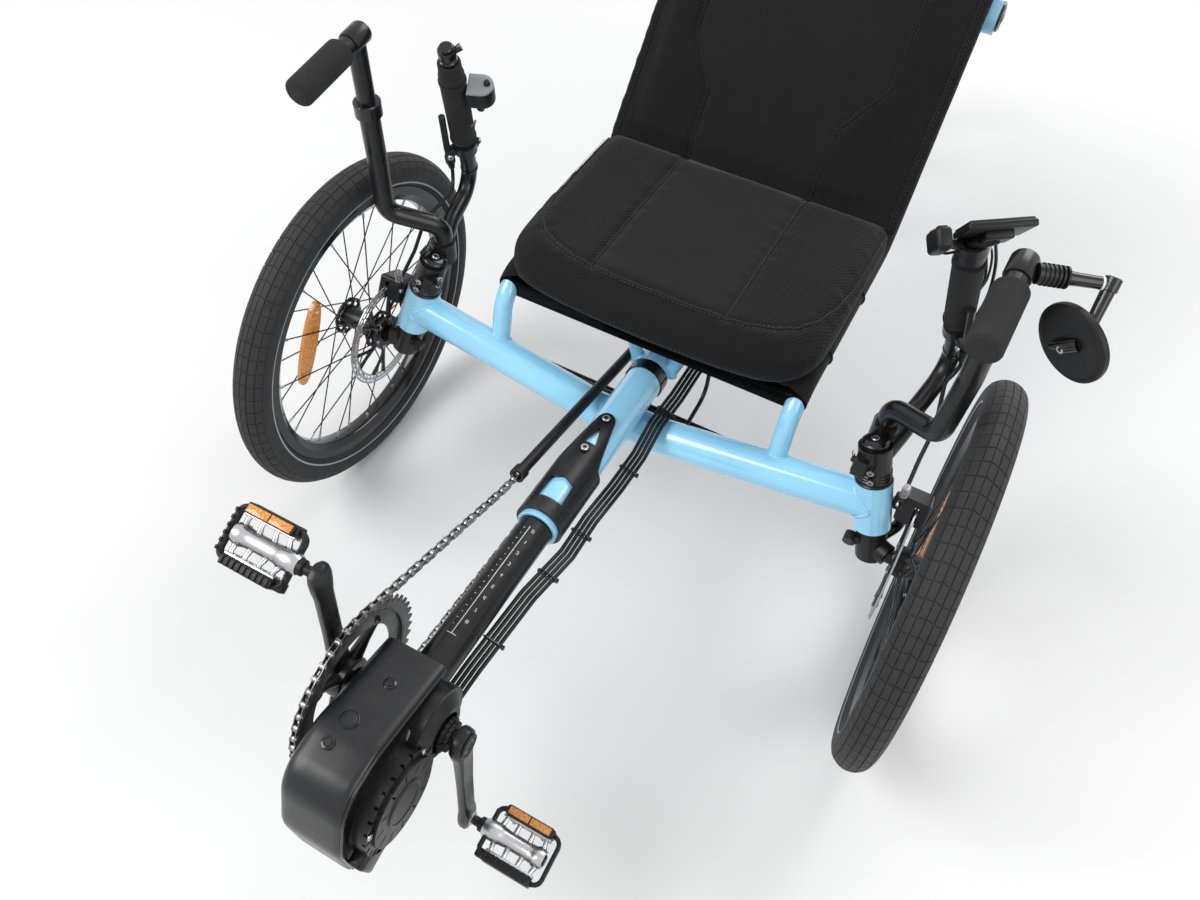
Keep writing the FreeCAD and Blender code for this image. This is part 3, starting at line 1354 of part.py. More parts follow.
# ---- all pieces ----------------------------------------------------------------------------------
def main():
    os.makedirs("parts", exist_ok=True)
    save("main_tube", main_tube())
    save("cross_tube", cross_tube())
    save("seat_rails", seat_rails())
    save("seat_cross_bars", group(seat_cross_bars()))
    save("rear_stays", rear_stays())
    save("seat_struts", seat_struts())
    save("boom", boom())
    save("boom_clamp", boom_clamp())
    save("motor", motor())
    save("motor_cover", motor_cover())
    save("battery", battery())
    save("cranks", cranks())
    save("chainring", chainring())
    save("chain", chain())
    save("chain_tubes", chain_tubes())
    save("idler", idler())
    save("derailleur", derailleur())
    save("seat_sling", seat_sling())
    save("seat_pad", seat_pad())
    save("back_pad", back_pad())
    save("tie_rod", tie_rod())
    save("pedal_left", pedal(1))
    save("pedal_right", pedal(-1))
    both_sides = {
        "knuckle": knuckle,
        "stem": stem,
        "caliper": caliper,
        "steer_bar": steer_bar,
        "hand_grip": hand_grip,
        "assist_bar": assist_bar,
        "assist_grip": assist_grip,
        "brake_lever": brake_lever,
        "brake_hose": brake_hose,
        "tyre": lambda: tyre(AXLE),
        "rim": lambda: rim(AXLE),
        "hub": lambda: front_hub(AXLE),
    }
    for side, name in ((1, "left"), (-1, "right")):
        for piece, make in both_sides.items():
            shape = make()
            save(piece + "_" + name, shape if side > 0 else mirrored(shape))
    save("tyre_rear", tyre(REAR_AXLE))
    save("rim_rear", rim(REAR_AXLE))
    save("hub_rear", rear_hub(REAR_AXLE))
    save("drive_cables", drive_cables())
    save("seat_cable", seat_cable())
    save("spoke_reflector_left", spoke_reflector(1))
    save("spoke_reflector_right", mirrored(spoke_reflector(-1)))
    save("mirror", mirror())
    save("display", display())
    save("shifter", mirrored(shifter()))
    save("bell", mirrored(bell()))


main()
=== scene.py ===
import bisect
import json
import logging
import math
from dataclasses import dataclass, field
from enum import Enum
from typing import Callable, Iterable, Optional, Sequence

import bmesh
import bpy
from mathutils import Matrix, Vector
from mathutils.bvhtree import BVHTree


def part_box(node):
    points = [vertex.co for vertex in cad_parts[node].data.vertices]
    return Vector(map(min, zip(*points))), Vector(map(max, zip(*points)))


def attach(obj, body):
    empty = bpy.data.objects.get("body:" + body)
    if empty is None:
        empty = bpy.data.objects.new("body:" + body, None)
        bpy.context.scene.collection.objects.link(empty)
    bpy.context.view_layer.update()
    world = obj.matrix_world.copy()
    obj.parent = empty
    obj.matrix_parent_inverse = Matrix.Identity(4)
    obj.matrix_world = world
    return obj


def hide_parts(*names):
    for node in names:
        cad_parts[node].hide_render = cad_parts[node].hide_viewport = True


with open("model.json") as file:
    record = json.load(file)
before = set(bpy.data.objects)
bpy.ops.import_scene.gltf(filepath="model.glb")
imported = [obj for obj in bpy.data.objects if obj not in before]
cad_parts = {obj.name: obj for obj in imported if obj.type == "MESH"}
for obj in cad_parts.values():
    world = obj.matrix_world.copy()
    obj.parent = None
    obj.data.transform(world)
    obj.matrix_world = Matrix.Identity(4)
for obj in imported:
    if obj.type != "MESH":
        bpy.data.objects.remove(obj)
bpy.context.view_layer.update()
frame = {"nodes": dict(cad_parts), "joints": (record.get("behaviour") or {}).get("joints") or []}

LOG = logging.getLogger("trike")
MM = 0.001
TAU = 2.0 * math.pi

Colour = tuple[float, float, float]
Point = tuple[float, float, float]
Profile = Sequence[tuple[float, float]]
Material = bpy.types.Material
Mesh = bpy.types.Mesh
Piece = bpy.types.Object
Socket = bpy.types.NodeSocket

LEFTWARD = Vector((1.0, 0.0, 0.0)).freeze()
BLACK: Colour = (0.0, 0.0, 0.0)
WHITE: Colour = (1.0, 1.0, 1.0)


class Side(Enum):
    """Which side of the trike a piece sits on, as the rider sees it."""

    LEFT = "left"
    RIGHT = "right"

    @property
    def sign(self) -> float:
        """+1 on the rider's left, -1 on the right."""
        return 1.0 if self is Side.LEFT else -1.0

    def at(self, x: float, y: float, z: float) -> Vector:
        """Place on this side, given in millimetres for the rider's left."""
        return spot(self.sign * x, y, z)


class Weave(Enum):
    """Kinds of cloth on the seat."""

    SPACER = "spacer"
    BRUSHED = "brushed"
    TAPE = "tape"


class Grain(Enum):
    """Surface relief of a hard finish."""

    ORANGE_PEEL = "orange_peel"
    FINE = "fine"
    BRUSHED = "brushed"
    CAST = "cast"
    FOAM = "foam"


# ---- finishes ------------------------------------------------------------------------------------
# Numbers of the mix node's colour sockets, which share their names with its other sockets.
COLOUR_A, COLOUR_B, COLOUR_RESULT = 6, 7, 2
DUST: Colour = (0.50, 0.48, 0.46)
LINT: Colour = (0.12, 0.12, 0.125)


class Tree:
    """A material's node tree with short calls for the nodes that the finishes use."""

    def __init__(self, name: str) -> None:
        """Start an empty material with one shader.

        Args:
            name: the material's name.
        """
        self.material = bpy.data.materials.new(name)
        self.material.use_nodes = True
        self.nodes = self.material.node_tree.nodes
        self.links = self.material.node_tree.links
        self.shader = self.nodes["Principled BSDF"]

    def node(self, kind: str, **settings: object) -> bpy.types.Node:
        """Add a node.

        Args:
            kind: the node's type name.
            settings: attributes to set on it.

        Returns:
            The new node.
        """
        made = self.nodes.new(kind)
        for key, value in settings.items():
            setattr(made, key, value)
        return made

    def join(self, start: Socket, end: Socket) -> None:
        """Link two sockets."""
        self.links.new(start, end)

    def value(self, name: str, value: object) -> None:
        """Set one of the shader's own sockets."""
        self.shader.inputs[name].default_value = value

    def feed(self, socket: Socket, value: object) -> None:
        """Link a socket to another one, or set it to a plain value.

        Args:
            socket: the socket.
            value: another socket, or its value.
        """
        if isinstance(value, Socket):
            self.join(value, socket)
        else:
            socket.default_value = value

    def place(self) -> Socket:
        """Return the object coordinates, in metres."""
        return self.node("ShaderNodeTexCoord").outputs["Object"]

    def mapped(self, kind: str, source: Socket, output: str, **inputs: object) -> Socket:
        """Add a node that works on coordinates.

        Args:
            kind: the node's type name.
            source: the coordinates.
            output: the output that is wanted.
            inputs: values of its other sockets.

        Returns:
            The output.
        """
        made = self.node(kind)
        for key, value in inputs.items():
            made.inputs[key].default_value = value
        self.join(source, made.inputs["Vector"])
        return made.outputs[output]

    def stretch(self, source: Socket, scale: Point, turn: float = 0.0) -> Socket:
        """Scale coordinates, then turn them about the third axis by degrees."""
        angles = (0.0, 0.0, math.radians(turn))
        return self.mapped("ShaderNodeMapping", source, "Vector", Scale=scale, Rotation=angles)

    def noise(self, source: Socket, scale: float, detail: float = 3.0, rough: float = 0.55) -> Socket:
        """Add a noise texture.

        Args:
            source: the coordinates.
            scale: cells per metre.
            detail: octaves.
            rough: share kept from octave to octave.

        Returns:
            Its value.
        """
        return self.mapped("ShaderNodeTexNoise", source, "Fac", Scale=scale, Detail=detail, Roughness=rough)

    def cells(self, source: Socket, scale: float) -> Socket:
        """Add a cell texture with so many cells per metre and return its distance."""
        return self.mapped("ShaderNodeTexVoronoi", source, "Distance", Scale=scale)

    def wave(self, source: Socket, scale: float, bend: float = 0.0) -> Socket:
        """Add a sine wave along the first axis.

        Args:
            source: the coordinates.
            scale: the wave's scale.
            bend: how far it is distorted.

        Returns:
            Its value.
        """
        return self.mapped("ShaderNodeTexWave", source, "Fac", Scale=scale, Distortion=bend)

    def calc(self, kind: str, first: Socket, second: object) -> Socket:
        """Combine two values.

        Args:
            kind: the operation.
            first: the first value.
            second: the second, a socket or a number.

        Returns:
            The result.
        """
        made = self.node("ShaderNodeMath", operation=kind)
        for socket, value in zip(made.inputs, (first, second)):
            self.feed(socket, value)
        return made.outputs["Value"]

    def spread(self, source: Socket, low: float, high: float, start: float = 0.3, end: float = 0.7) -> Socket:
        """Map a value from one range to another.

        Args:
            source: the value.
            low: result at the range's start.
            high: result at the range's end.
            start: where the range starts.
            end: where it ends.

        Returns:
            The new value.
        """
        made = self.node("ShaderNodeMapRange")
        for key, value in (("From Min", start), ("From Max", end), ("To Min", low), ("To Max", high)):
            made.inputs[key].default_value = value
        self.join(source, made.inputs["Value"])
        return made.outputs["Result"]

    def blend(self, share: Socket, first: object, second: object) -> Socket:
        """Blend two colours.

        Args:
            share: how much of the second shows.
            first: a colour or a socket.
            second: a colour or a socket.

        Returns:
            The blended colour.
        """
        made = self.node("ShaderNodeMix", data_type="RGBA")
        self.join(share, made.inputs["Factor"])
        for socket, value in ((made.inputs[COLOUR_A], first), (made.inputs[COLOUR_B], second)):
            self.feed(socket, value if isinstance(value, Socket) else (*value, 1.0))
        return made.outputs[COLOUR_RESULT]

    def colour(self, source: Socket) -> None:
        """Feed the shader's colour."""
        self.join(source, self.shader.inputs["Base Color"])

    def roughness(self, source: Socket) -> None:
        """Feed the shader's roughness."""
        self.join(source, self.shader.inputs["Roughness"])

    def relief(self, height: Socket, depth: float, strength: float = 1.0) -> None:
        """Bump the surface.

        Args:
            height: the height, 0 to 1.
            depth: how deep a step of 1 is, in metres.
            strength: the bump's strength.
        """
        bump = self.node("ShaderNodeBump")
        bump.inputs["Strength"].default_value = strength
        bump.inputs["Distance"].default_value = depth
        self.join(height, bump.inputs["Height"])
        existing = self.shader.inputs["Normal"]
        if existing.is_linked:
            self.join(existing.links[0].from_socket, bump.inputs["Normal"])
        self.join(bump.outputs["Normal"], existing)


def mixed(colour: Colour, other: Colour, share: float) -> Colour:
    """Return a colour between two others.

    Args:
        colour: the first.
        other: the second.
        share: how much of the second.

    Returns:
        The mix.
    """
    return tuple(a + (b - a) * share for a, b in zip(colour, other))


@dataclass(frozen=True)
class HardFinish:
    """Paint, plastic, alloy or steel: tone, gloss, grain, rubbed edges and a little dust."""

    name: str
    colour: Colour
    rough: tuple[float, float] = (0.35, 0.5)
    metallic: float = 0.0
    coat: float = 0.0
    grain: Grain = Grain.FINE
    grain_depth: float = 0.00004
    worn: Optional[Colour] = None
    worn_share: float = 0.35
    tone: float = 0.12
    dust: float = 0.02
    specular: float = 0.5

    def build(self) -> Material:
        """Make the material.

        Returns:
            The material.
        """
        tree = Tree(self.name)
        tree.value("Metallic", self.metallic)
        tree.value("Coat Weight", self.coat)
        tree.value("Coat Roughness", 0.06)
        tree.value("Specular IOR Level", self.specular)
        place = tree.place()
        patches = tree.noise(place, 9.0, 4.0, 0.6)
        fine = tree.noise(place, 160.0, 2.0, 0.5)
        dark = mixed(self.colour, BLACK, self.tone)
        pale = tuple(part * (1 + self.tone) for part in self.colour)
        tone = tree.blend(tree.spread(patches, 0.0, 1.0), dark, pale)
        dust = tree.spread(tree.noise(place, 38.0, 6.0, 0.7), 0.0, self.dust, 0.5, 0.8)
        tone = tree.blend(dust, tone, DUST)
        if self.worn is not None:
            edges = tree.node("ShaderNodeNewGeometry").outputs["Pointiness"]
            worn = tree.spread(edges, 0.0, self.worn_share, 0.55, 0.66)
            tone = tree.blend(tree.calc("MULTIPLY", worn, tree.spread(fine, 0.2, 1.0)), tone, self.worn)
        tree.colour(tone)
        tree.roughness(tree.calc("ADD", tree.spread(patches, *self.rough), tree.spread(fine, -0.03, 0.03)))
        self.engrave(tree, place)
        return tree.material

    def engrave(self, tree: Tree, place: Socket) -> None:
        """Add the finish's relief.

        Args:
            tree: the material's nodes.
            place: the coordinates.
        """
        if self.grain is Grain.ORANGE_PEEL:
            tree.relief(tree.noise(place, 420.0, 1.0, 0.4), self.grain_depth)
        elif self.grain is Grain.FINE:
            tree.relief(tree.noise(place, 1500.0, 2.0, 0.6), self.grain_depth)
        elif self.grain is Grain.BRUSHED:
            streaks = tree.stretch(place, (60.0, 2400.0, 2400.0))
            tree.relief(tree.noise(streaks, 1.0, 3.0, 0.6), self.grain_depth)
        elif self.grain is Grain.CAST:
            tree.relief(tree.noise(place, 700.0, 4.0, 0.7), self.grain_depth)
            tree.relief(tree.noise(place, 60.0, 2.0, 0.5), self.grain_depth * 3)
        else:
            tree.relief(tree.cells(place, 1400.0), self.grain_depth)
            tree.relief(tree.noise(place, 5200.0, 2.0, 0.7), self.grain_depth * 0.6)


@dataclass(frozen=True)
class RubberFinish:
    """Tyre rubber: matte, with dusty patches and scuffs and a fine grainy relief."""

    name: str = "tyre_rubber"
    colour: Colour = (0.017, 0.017, 0.0185)
    dust: Colour = (0.085, 0.083, 0.080)

    def build(self) -> Material:
        """Make the material.

        Returns:
            The material.
        """
        tree = Tree(self.name)
        tree.value("Specular IOR Level", 0.28)
        place = tree.place()
        patches = tree.noise(place, 22.0, 5.0, 0.65)
        scuffs = tree.noise(tree.stretch(place, (90.0, 30.0, 30.0)), 9.0, 5.0, 0.7)
        tone = tree.blend(tree.spread(patches, 0.0, 1.0), self.colour, mixed(self.colour, self.dust, 0.18))
        tone = tree.blend(tree.spread(scuffs, 0.0, 0.35, 0.5, 0.75), tone, self.dust)
        tree.colour(tone)
        tree.roughness(tree.spread(patches, 0.52, 0.72))
        tree.relief(tree.noise(place, 900.0, 4.0, 0.7), 0.00012)
        tree.relief(tree.noise(place, 160.0, 3.0, 0.6), 0.00015)
        return tree.material


@dataclass(frozen=True)
class ClothFinish:
    """Seat cloth: knitted spacer mesh, brushed fabric or webbing, with painted shade in the weave's low
    parts.
    """

    name: str
    weave: Weave
    colour: Colour
    sheen: float = 0.35
    pitch: float = 0.0026
    rib_lean: float = 38.0

    def build(self) -> Material:
        """Make the material.

        Returns:
            The material.
        """
        tree = Tree(self.name)
        tree.value("Sheen Weight", self.sheen)
        tree.value("Sheen Roughness", 0.55)
        tree.value("Specular IOR Level", 0.12)
        place = tree.place()
        patches = tree.noise(place, 14.0, 4.0, 0.6)
        lint = tree.noise(place, 2600.0, 3.0, 0.75)
        if self.weave is Weave.SPACER:
            height = self.spacer(tree, place)
            depth = 0.0007
        elif self.weave is Weave.BRUSHED:
            nap = tree.noise(place, 900.0, 4.0, 0.7)
            height = tree.calc("ADD", nap, tree.spread(self.spacer(tree, place), 0.0, 0.35, 0.0, 1.0))
            depth = 0.00035
        else:
            height = tree.wave(tree.stretch(place, (1.0, 1.0, 1.0), 45.0), 130.0)
            depth = 0.0004
        dark, pale = mixed(self.colour, BLACK, 0.08), mixed(self.colour, WHITE, 0.001)
        tone = tree.blend(tree.spread(patches, 0.0, 1.0), dark, pale)
        # Painted shade: the low parts of the weave, between its ribs, are darkened up to about half way to a
        # colour three quarters black.
        tone = tree.blend(tree.spread(height, 0.55, 0.0, 0.1, 0.8), tone, mixed(self.colour, BLACK, 0.75))
        tone = tree.blend(tree.spread(lint, 0.0, 0.14, 0.62, 0.8), tone, LINT)
        tree.colour(tone)
        tree.roughness(tree.spread(lint, 0.72, 0.95))
        tree.relief(height, depth)
        tree.relief(tree.noise(place, 45.0, 3.0, 0.5), 0.0012, 0.6)
        return tree.material

    def spacer(self, tree: Tree, place: Socket) -> Socket:
        """Knit of crossed diagonal ribs with small open cells.

        Args:
            tree: the material's nodes.
            place: the coordinates.

        Returns:
            The knit's height, 0 to 1.
        """
        turns = 1.0 / (TAU * self.pitch)
        first, second = (tree.wave(tree.stretch(place, (1.0, 1.0, 0.8), lean), turns, 0.15)
                         for lean in (self.rib_lean, -self.rib_lean))
        return tree.calc("MAXIMUM", first, tree.calc("MULTIPLY", second, 0.85))


@dataclass(frozen=True)
class LensFinish:
    """Moulded reflector: clear coloured plastic over a bed of small prisms, with a painted glow and painted
    glints and shade across the prisms.
    """

    name: str
    colour: Colour
    painted_glow: float = 0.12
    # Colours of the painted glint in each prism's middle and of the painted shade at its edges.
    painted_glint: Colour = (0.95, 0.45, 0.03)
    deep: Colour = (0.25, 0.05, 0.0)

    def build(self) -> Material:
        """Make the material.

        Returns:
            The material.
        """
        tree = Tree(self.name)
        tree.value("Coat Weight", 1.0)
        tree.value("Coat Roughness", 0.03)
        # Painted glow: the lens emits its own colour, though it is no lamp.
        tree.value("Emission Strength", self.painted_glow)
        tree.value("Emission Color", (*self.colour, 1.0))
        place = tree.place()
        prisms = tree.cells(place, 420.0)
        # Painted glints and shade: each prism's middle is lighter and its edges darker, following the cell
        # distance.
        painted_glint, deep = mixed(self.colour, self.painted_glint, 0.30), mixed(self.colour, self.deep, 0.35)
        tree.colour(tree.blend(tree.spread(prisms, 0.0, 1.0, 0.1, 0.7), painted_glint, deep))
        tree.roughness(tree.spread(tree.noise(place, 90.0), 0.12, 0.28))
        tree.relief(prisms, 0.0008)
        return tree.material


@dataclass(frozen=True)
class GlassFinish:
    """Silvered mirror glass."""

    name: str = "mirror_glass"

    def build(self) -> Material:
        """Make the material.

        Returns:
            The material.
        """
        tree = Tree(self.name)
        tree.value("Metallic", 1.0)
        place = tree.place()
        smear = tree.noise(place, 60.0, 5.0, 0.65)
        tree.colour(tree.blend(tree.spread(smear, 0.0, 1.0), (0.86, 0.88, 0.90), (0.92, 0.93, 0.94)))
        tree.roughness(tree.spread(smear, 0.02, 0.09))
        return tree.material


@dataclass(frozen=True)
class Finishes:
    """All finishes of the trike, made once."""

    made: dict[str, Material]

    def __getitem__(self, key: str) -> Material:
        """Return the material kept under a key."""
        return self.made[key]

    def pick(self, *keys: str) -> list[Material]:
        """Return the materials kept under several keys."""
        return [self.made[key] for key in keys]


def make_finishes() -> Finishes:
    """Make every finish.

    Returns:
        The finishes.
    """
    recipes = {
        "paint": HardFinish(
            "frame_paint_gloss", (0.290, 0.660, 0.915), (0.16, 0.24), coat=0.9, grain=Grain.ORANGE_PEEL,
            grain_depth=0.00006, tone=0.05, dust=0.03, worn=(0.55, 0.60, 0.64), worn_share=0.12),
        "black_paint": HardFinish(
            "satin_black_paint", (0.0065, 0.0065, 0.0075), (0.24, 0.34), coat=0.10, grain=Grain.ORANGE_PEEL,
            worn=(0.10, 0.10, 0.11), worn_share=0.10, specular=0.32),
        "alloy_black": HardFinish(
            "black_anodised", (0.0080, 0.0080, 0.0090), (0.24, 0.36), metallic=0.10, grain=Grain.CAST,
            grain_depth=0.00003, worn=(0.20, 0.20, 0.21), worn_share=0.12, specular=0.34),
        "alloy_silver": HardFinish(
            "silver_alloy", (0.50, 0.50, 0.52), (0.22, 0.32), metallic=0.95, grain=Grain.BRUSHED,
            grain_depth=0.000008, tone=0.2, dust=0.06),
        "steel": HardFinish(
            "zinc_steel", (0.40, 0.40, 0.42), (0.24, 0.38), metallic=0.95, grain=Grain.BRUSHED,
            grain_depth=0.000010, tone=0.3, dust=0.08),
        # The chain's pale plate edges are partly rubbed steel and partly a painted highlight along the
        # plates' edges.
        "chain_steel": HardFinish(
            "oiled_chain_steel", (0.10, 0.098, 0.096), (0.22, 0.42), metallic=0.9, grain_depth=0.00003,
            tone=0.4, dust=0.03, worn=(0.55, 0.54, 0.52), worn_share=0.8),
        "ring_steel": HardFinish(
            "black_ring", (0.010, 0.010, 0.011), (0.28, 0.42), metallic=0.2, grain=Grain.CAST,
            grain_depth=0.00003, worn=(0.36, 0.36, 0.36), specular=0.35),
        "motor_shell": HardFinish(
            "motor_hood_plastic", (0.0100, 0.0104, 0.0118), (0.27, 0.34), grain_depth=0.00003, tone=0.15,
            worn=(0.10, 0.10, 0.105), worn_share=0.25, specular=0.42),
        "motor_case": HardFinish(
            "motor_casting", (0.0085, 0.0085, 0.0092), (0.32, 0.44), metallic=0.1, grain=Grain.CAST,
            grain_depth=0.00005, worn=(0.16, 0.16, 0.17), worn_share=0.18, specular=0.32),
        "plastic": HardFinish(
            "black_plastic", (0.0075, 0.0075, 0.0082), (0.34, 0.48), grain_depth=0.00005,
            worn=(0.07, 0.07, 0.07), worn_share=0.2, specular=0.28),
        "gloss_plastic": HardFinish(
            "gloss_black_plastic", (0.006, 0.006, 0.007), (0.12, 0.20), coat=0.25, grain=Grain.ORANGE_PEEL,
            grain_depth=0.00003, specular=0.34),
        "grey_plastic": HardFinish(
            "grey_plastic", (0.30, 0.31, 0.33), (0.38, 0.52), grain_depth=0.00006, tone=0.15),
        "foam": HardFinish(
            "grip_foam", (0.023, 0.023, 0.024), (0.82, 0.95), grain=Grain.FOAM, grain_depth=0.00030,
            tone=0.25, specular=0.25),
        "cable": HardFinish(
            "cable_jacket", (0.008, 0.008, 0.009), (0.24, 0.36), grain_depth=0.00003, specular=0.26),
        "white_ink": HardFinish("white_ink", (0.72, 0.73, 0.74), (0.45, 0.6), grain_depth=0.00002, tone=0.1),
        "rubber": RubberFinish(),
        "spacer": ClothFinish("seat_spacer_mesh", Weave.SPACER, (0.0070, 0.0070, 0.0079), 0.08, 0.0021),
        "brushed": ClothFinish("seat_brushed_cloth", Weave.BRUSHED, (0.0078, 0.0078, 0.0084), 0.10, 0.0018),
        "tape": ClothFinish("seat_edge_tape", Weave.TAPE, (0.0075, 0.0075, 0.0080), 0.15),
        "thread": ClothFinish("seat_thread", Weave.TAPE, (0.036, 0.036, 0.038), 0.2),
        # The amber lens carries a small painted glow.
        "amber": LensFinish("amber_lens", (0.66, 0.235, 0.008), 0.06),
        "glass": GlassFinish(),
    }
    return Finishes({key: recipe.build() for key, recipe in recipes.items()})


# ---- shapes --------------------------------------------------------------------------------------
def spot(x: float, y: float, z: float) -> Vector:
    """Place given in millimetres from the ground point between the front wheels.

    Args:
        x: towards the rider's left.
        y: backwards.
        z: upwards.

    Returns:
        The place in the row frame, in metres.
    """
    return Vector((x, y, z)) * MM + Vector((0.0, GROUND_POINT_Y, 0.0))


def square_to(axis: Vector) -> tuple[Vector, Vector]:
    """Two directions square to an axis and to each other.

    Args:
        axis: the axis, of length 1.

    Returns:
        The two directions.
    """
    helper = LEFTWARD if abs(axis.x) < 0.8 else Vector((0, 1, 0))
    first = axis.cross(helper).normalized()
    return first, axis.cross(first).normalized()


def squared(way: Vector, axis: Vector) -> Vector:
    """Direction of a vector's part that is square to an axis."""
    return (way - axis * way.dot(axis)).normalized()


def turn_to(first: Vector, second: Vector, angle: float) -> Vector:
    """Direction at an angle from the first of two directions towards the second."""
    return first * math.cos(angle) + second * math.sin(angle)


def wheel_point(centre: Vector, across: float, radius: float, angle: float) -> Vector:
    """Point round a crosswise axis from its distance along the axis, its radius and its angle."""
    return centre + Vector((across, radius * math.cos(angle), radius * math.sin(angle)))


def flattened(value: float, power: float) -> float:
    """Sine or cosine of a circle's point, changed so that the circle comes out squarer."""
    return math.copysign(abs(value) ** power, value)


def round_places(count: int, offset: float = 0.0) -> list[float]:
    """Angles that are evenly spread over a full turn, the first one by a share of the step."""
    return [TAU * (n + offset) / count for n in range(count)]


LEAST_RADIUS = 1e-5


class Shape:
    """Points and faces gathered for one piece."""

    def __init__(self) -> None:
        """Start with nothing."""
        self.points: list[Vector] = []
        self.faces: list[tuple[int, ...]] = []
        self.finish_of: list[int] = []
        self.finishes: list[Material] = []

    def use(self, finish: Material) -> int:
        """Return the slot number of a finish, adding it if it is new.

        Args:
            finish: the finish.

        Returns:
            Its slot number.
        """
        if finish not in self.finishes:
            self.finishes.append(finish)
        return self.finishes.index(finish)

    def add(self, points: Iterable[Vector], faces: Iterable[Sequence[int]], finish: Material) -> None:
        """Add points and faces.

        Args:
            points: the points.
            faces: their faces, numbered from the first of these points.
            finish: what they are finished in.
        """
        base = len(self.points)
        slot = self.use(finish)
        self.points.extend(Vector(p) for p in points)
        for face in faces:
            self.faces.append(tuple(base + i for i in face))
            self.finish_of.append(slot)

    def rings(self, loops: Sequence[Sequence[Vector]], finish: Material, caps: bool = True,
              closed: bool = False) -> None:
        """Skin a row of loops with the same number of points.

        Args:
            loops: the loops, in order.
            finish: what they are finished in.
            caps: whether the ends are closed.
            closed: whether the last loop meets the first.
        """
        count = len(loops[0])
        faces: list[tuple[int, ...]] = []
        pairs = len(loops) if closed else len(loops) - 1
        for k in range(pairs):
            a, b = k * count, ((k + 1) % len(loops)) * count
            for i in range(count):
                j = (i + 1) % count
                faces.append((a + i, a + j, b + j, b + i))
        if caps and not closed:
            faces.append(tuple(reversed(range(count))))
            faces.append(tuple(range((len(loops) - 1) * count, len(loops) * count)))
        self.add([p for loop in loops for p in loop], faces, finish)

    def tube(self, path: Sequence[Vector], radius: float | Sequence[float], finish: Material, sides: int = 20,
             caps: bool = True, closed: bool = False) -> None:
        """Sweep a round section along a path.

        Args:
            path: the points of its middle line.
            radius: its radius, or one for each point.
            finish: what it is finished in.
            sides: sides of the section.
            caps: whether the ends are closed.
            closed: whether the path is a loop.
        """
        path = [Vector(p) for p in path]
        radii = [radius] * len(path) if isinstance(radius, (int, float)) else list(radius)
        loops = []
        first: Optional[Vector] = None
        for i, point in enumerate(path):
            before = path[i - 1] if (i or closed) else path[i]
            after = path[(i + 1) % len(path)] if (i + 1 < len(path) or closed) else path[i]
            along = (after - before).normalized()
            if first is None:
                first = square_to(along)[0]
            first = squared(first, along)
            second = along.cross(first)
            loops.append([point + turn_to(first, second, angle) * radii[i] for angle in round_places(sides)])
        self.rings(loops, finish, caps, closed)

    def turned(self, profile: Profile, centre: Vector, axis: Vector, finish: Material,
               sides: int = 48, closed: bool = False) -> None:
        """Turn a profile about an axis.

        Args:
            profile: places along the axis and radii, in metres.
            centre: where the axis starts.
            axis: its direction.
            finish: what it is finished in.
            sides: sides round the axis.
            closed: whether the profile is a loop, as a ring's is.
        """
        axis = axis.normalized()
        first, second = square_to(axis)
        loops = []
        for along, radius in profile:
            middle, radius = centre + axis * along, max(radius, LEAST_RADIUS)
            loops.append([middle + turn_to(first, second, angle) * radius for angle in round_places(sides)])
        self.rings(loops, finish, not closed, closed)

    def band(self, ends: tuple[float, float], radii: tuple[float, float], centre: Vector, axis: Vector,
             finish: Material, sides: int = 48) -> None:
        """Ring of oblong section.

        Args:
            ends: where it starts and ends along the axis, in metres.
            radii: its radii, inside and outside.
            centre: where the axis starts.
            axis: its direction.
            finish: what it is finished in.
            sides: sides round the axis.
        """
        (low, high), (inner, outer) = ends, radii
        self.turned([(low, inner), (low, outer), (high, outer), (high, inner)], centre, axis, finish, sides,
                    True)

    def rod(self, start: Vector, end: Vector, radius: float, finish: Material, sides: int = 24,
            edge: float = 0.0006) -> None:
        """Round bar with softened ends.

        Args:
            start: one end.
            end: the other.
            radius: its radius.
            finish: what it is finished in.
            sides: sides of the section.
            edge: how much its ends are rounded.
        """
        length = (end - start).length
        edge = min(edge, length * 0.3, radius * 0.5)
        self.turned([(0, radius - edge), (edge, radius), (length - edge, radius), (length, radius - edge)],
                    start, end - start, finish, sides)

    def block(self, centre: Vector, size: Point, finish: Material, turn: Optional[Matrix] = None,
              edge: float = 0.0012) -> None:
        """Box with rounded edges.

        Args:
            centre: its middle.
            size: its sides, in metres.
            finish: what it is finished in.
            turn: how it is turned.
            edge: radius of its edges.
        """
        mesh = bmesh.new()
        bmesh.ops.create_cube(mesh, size=1.0)
        for vertex in mesh.verts:
            vertex.co = Vector((vertex.co.x * size[0], vertex.co.y * size[1], vertex.co.z * size[2])) / MM
        edge = min(edge, min(size) * 0.45) / MM
        bmesh.ops.bevel(mesh, geom=list(mesh.edges), offset=edge, segments=3, profile=0.5, affect="EDGES")
        turn = turn or Matrix.Identity(3)
        points = [centre + turn @ (v.co * MM) for v in mesh.verts]
        self.add(points, [[v.index for v in f.verts] for f in mesh.faces], finish)
        mesh.free()

    def plate(self, outline: Sequence[Vector], thickness: Vector, finish: Material) -> None:
        """Flat plate from its outline.

        Args:
            outline: its corners, in order.
            thickness: from one face to the other.
            finish: what it is finished in.
        """
        self.rings([list(outline), [p + thickness for p in outline]], finish)

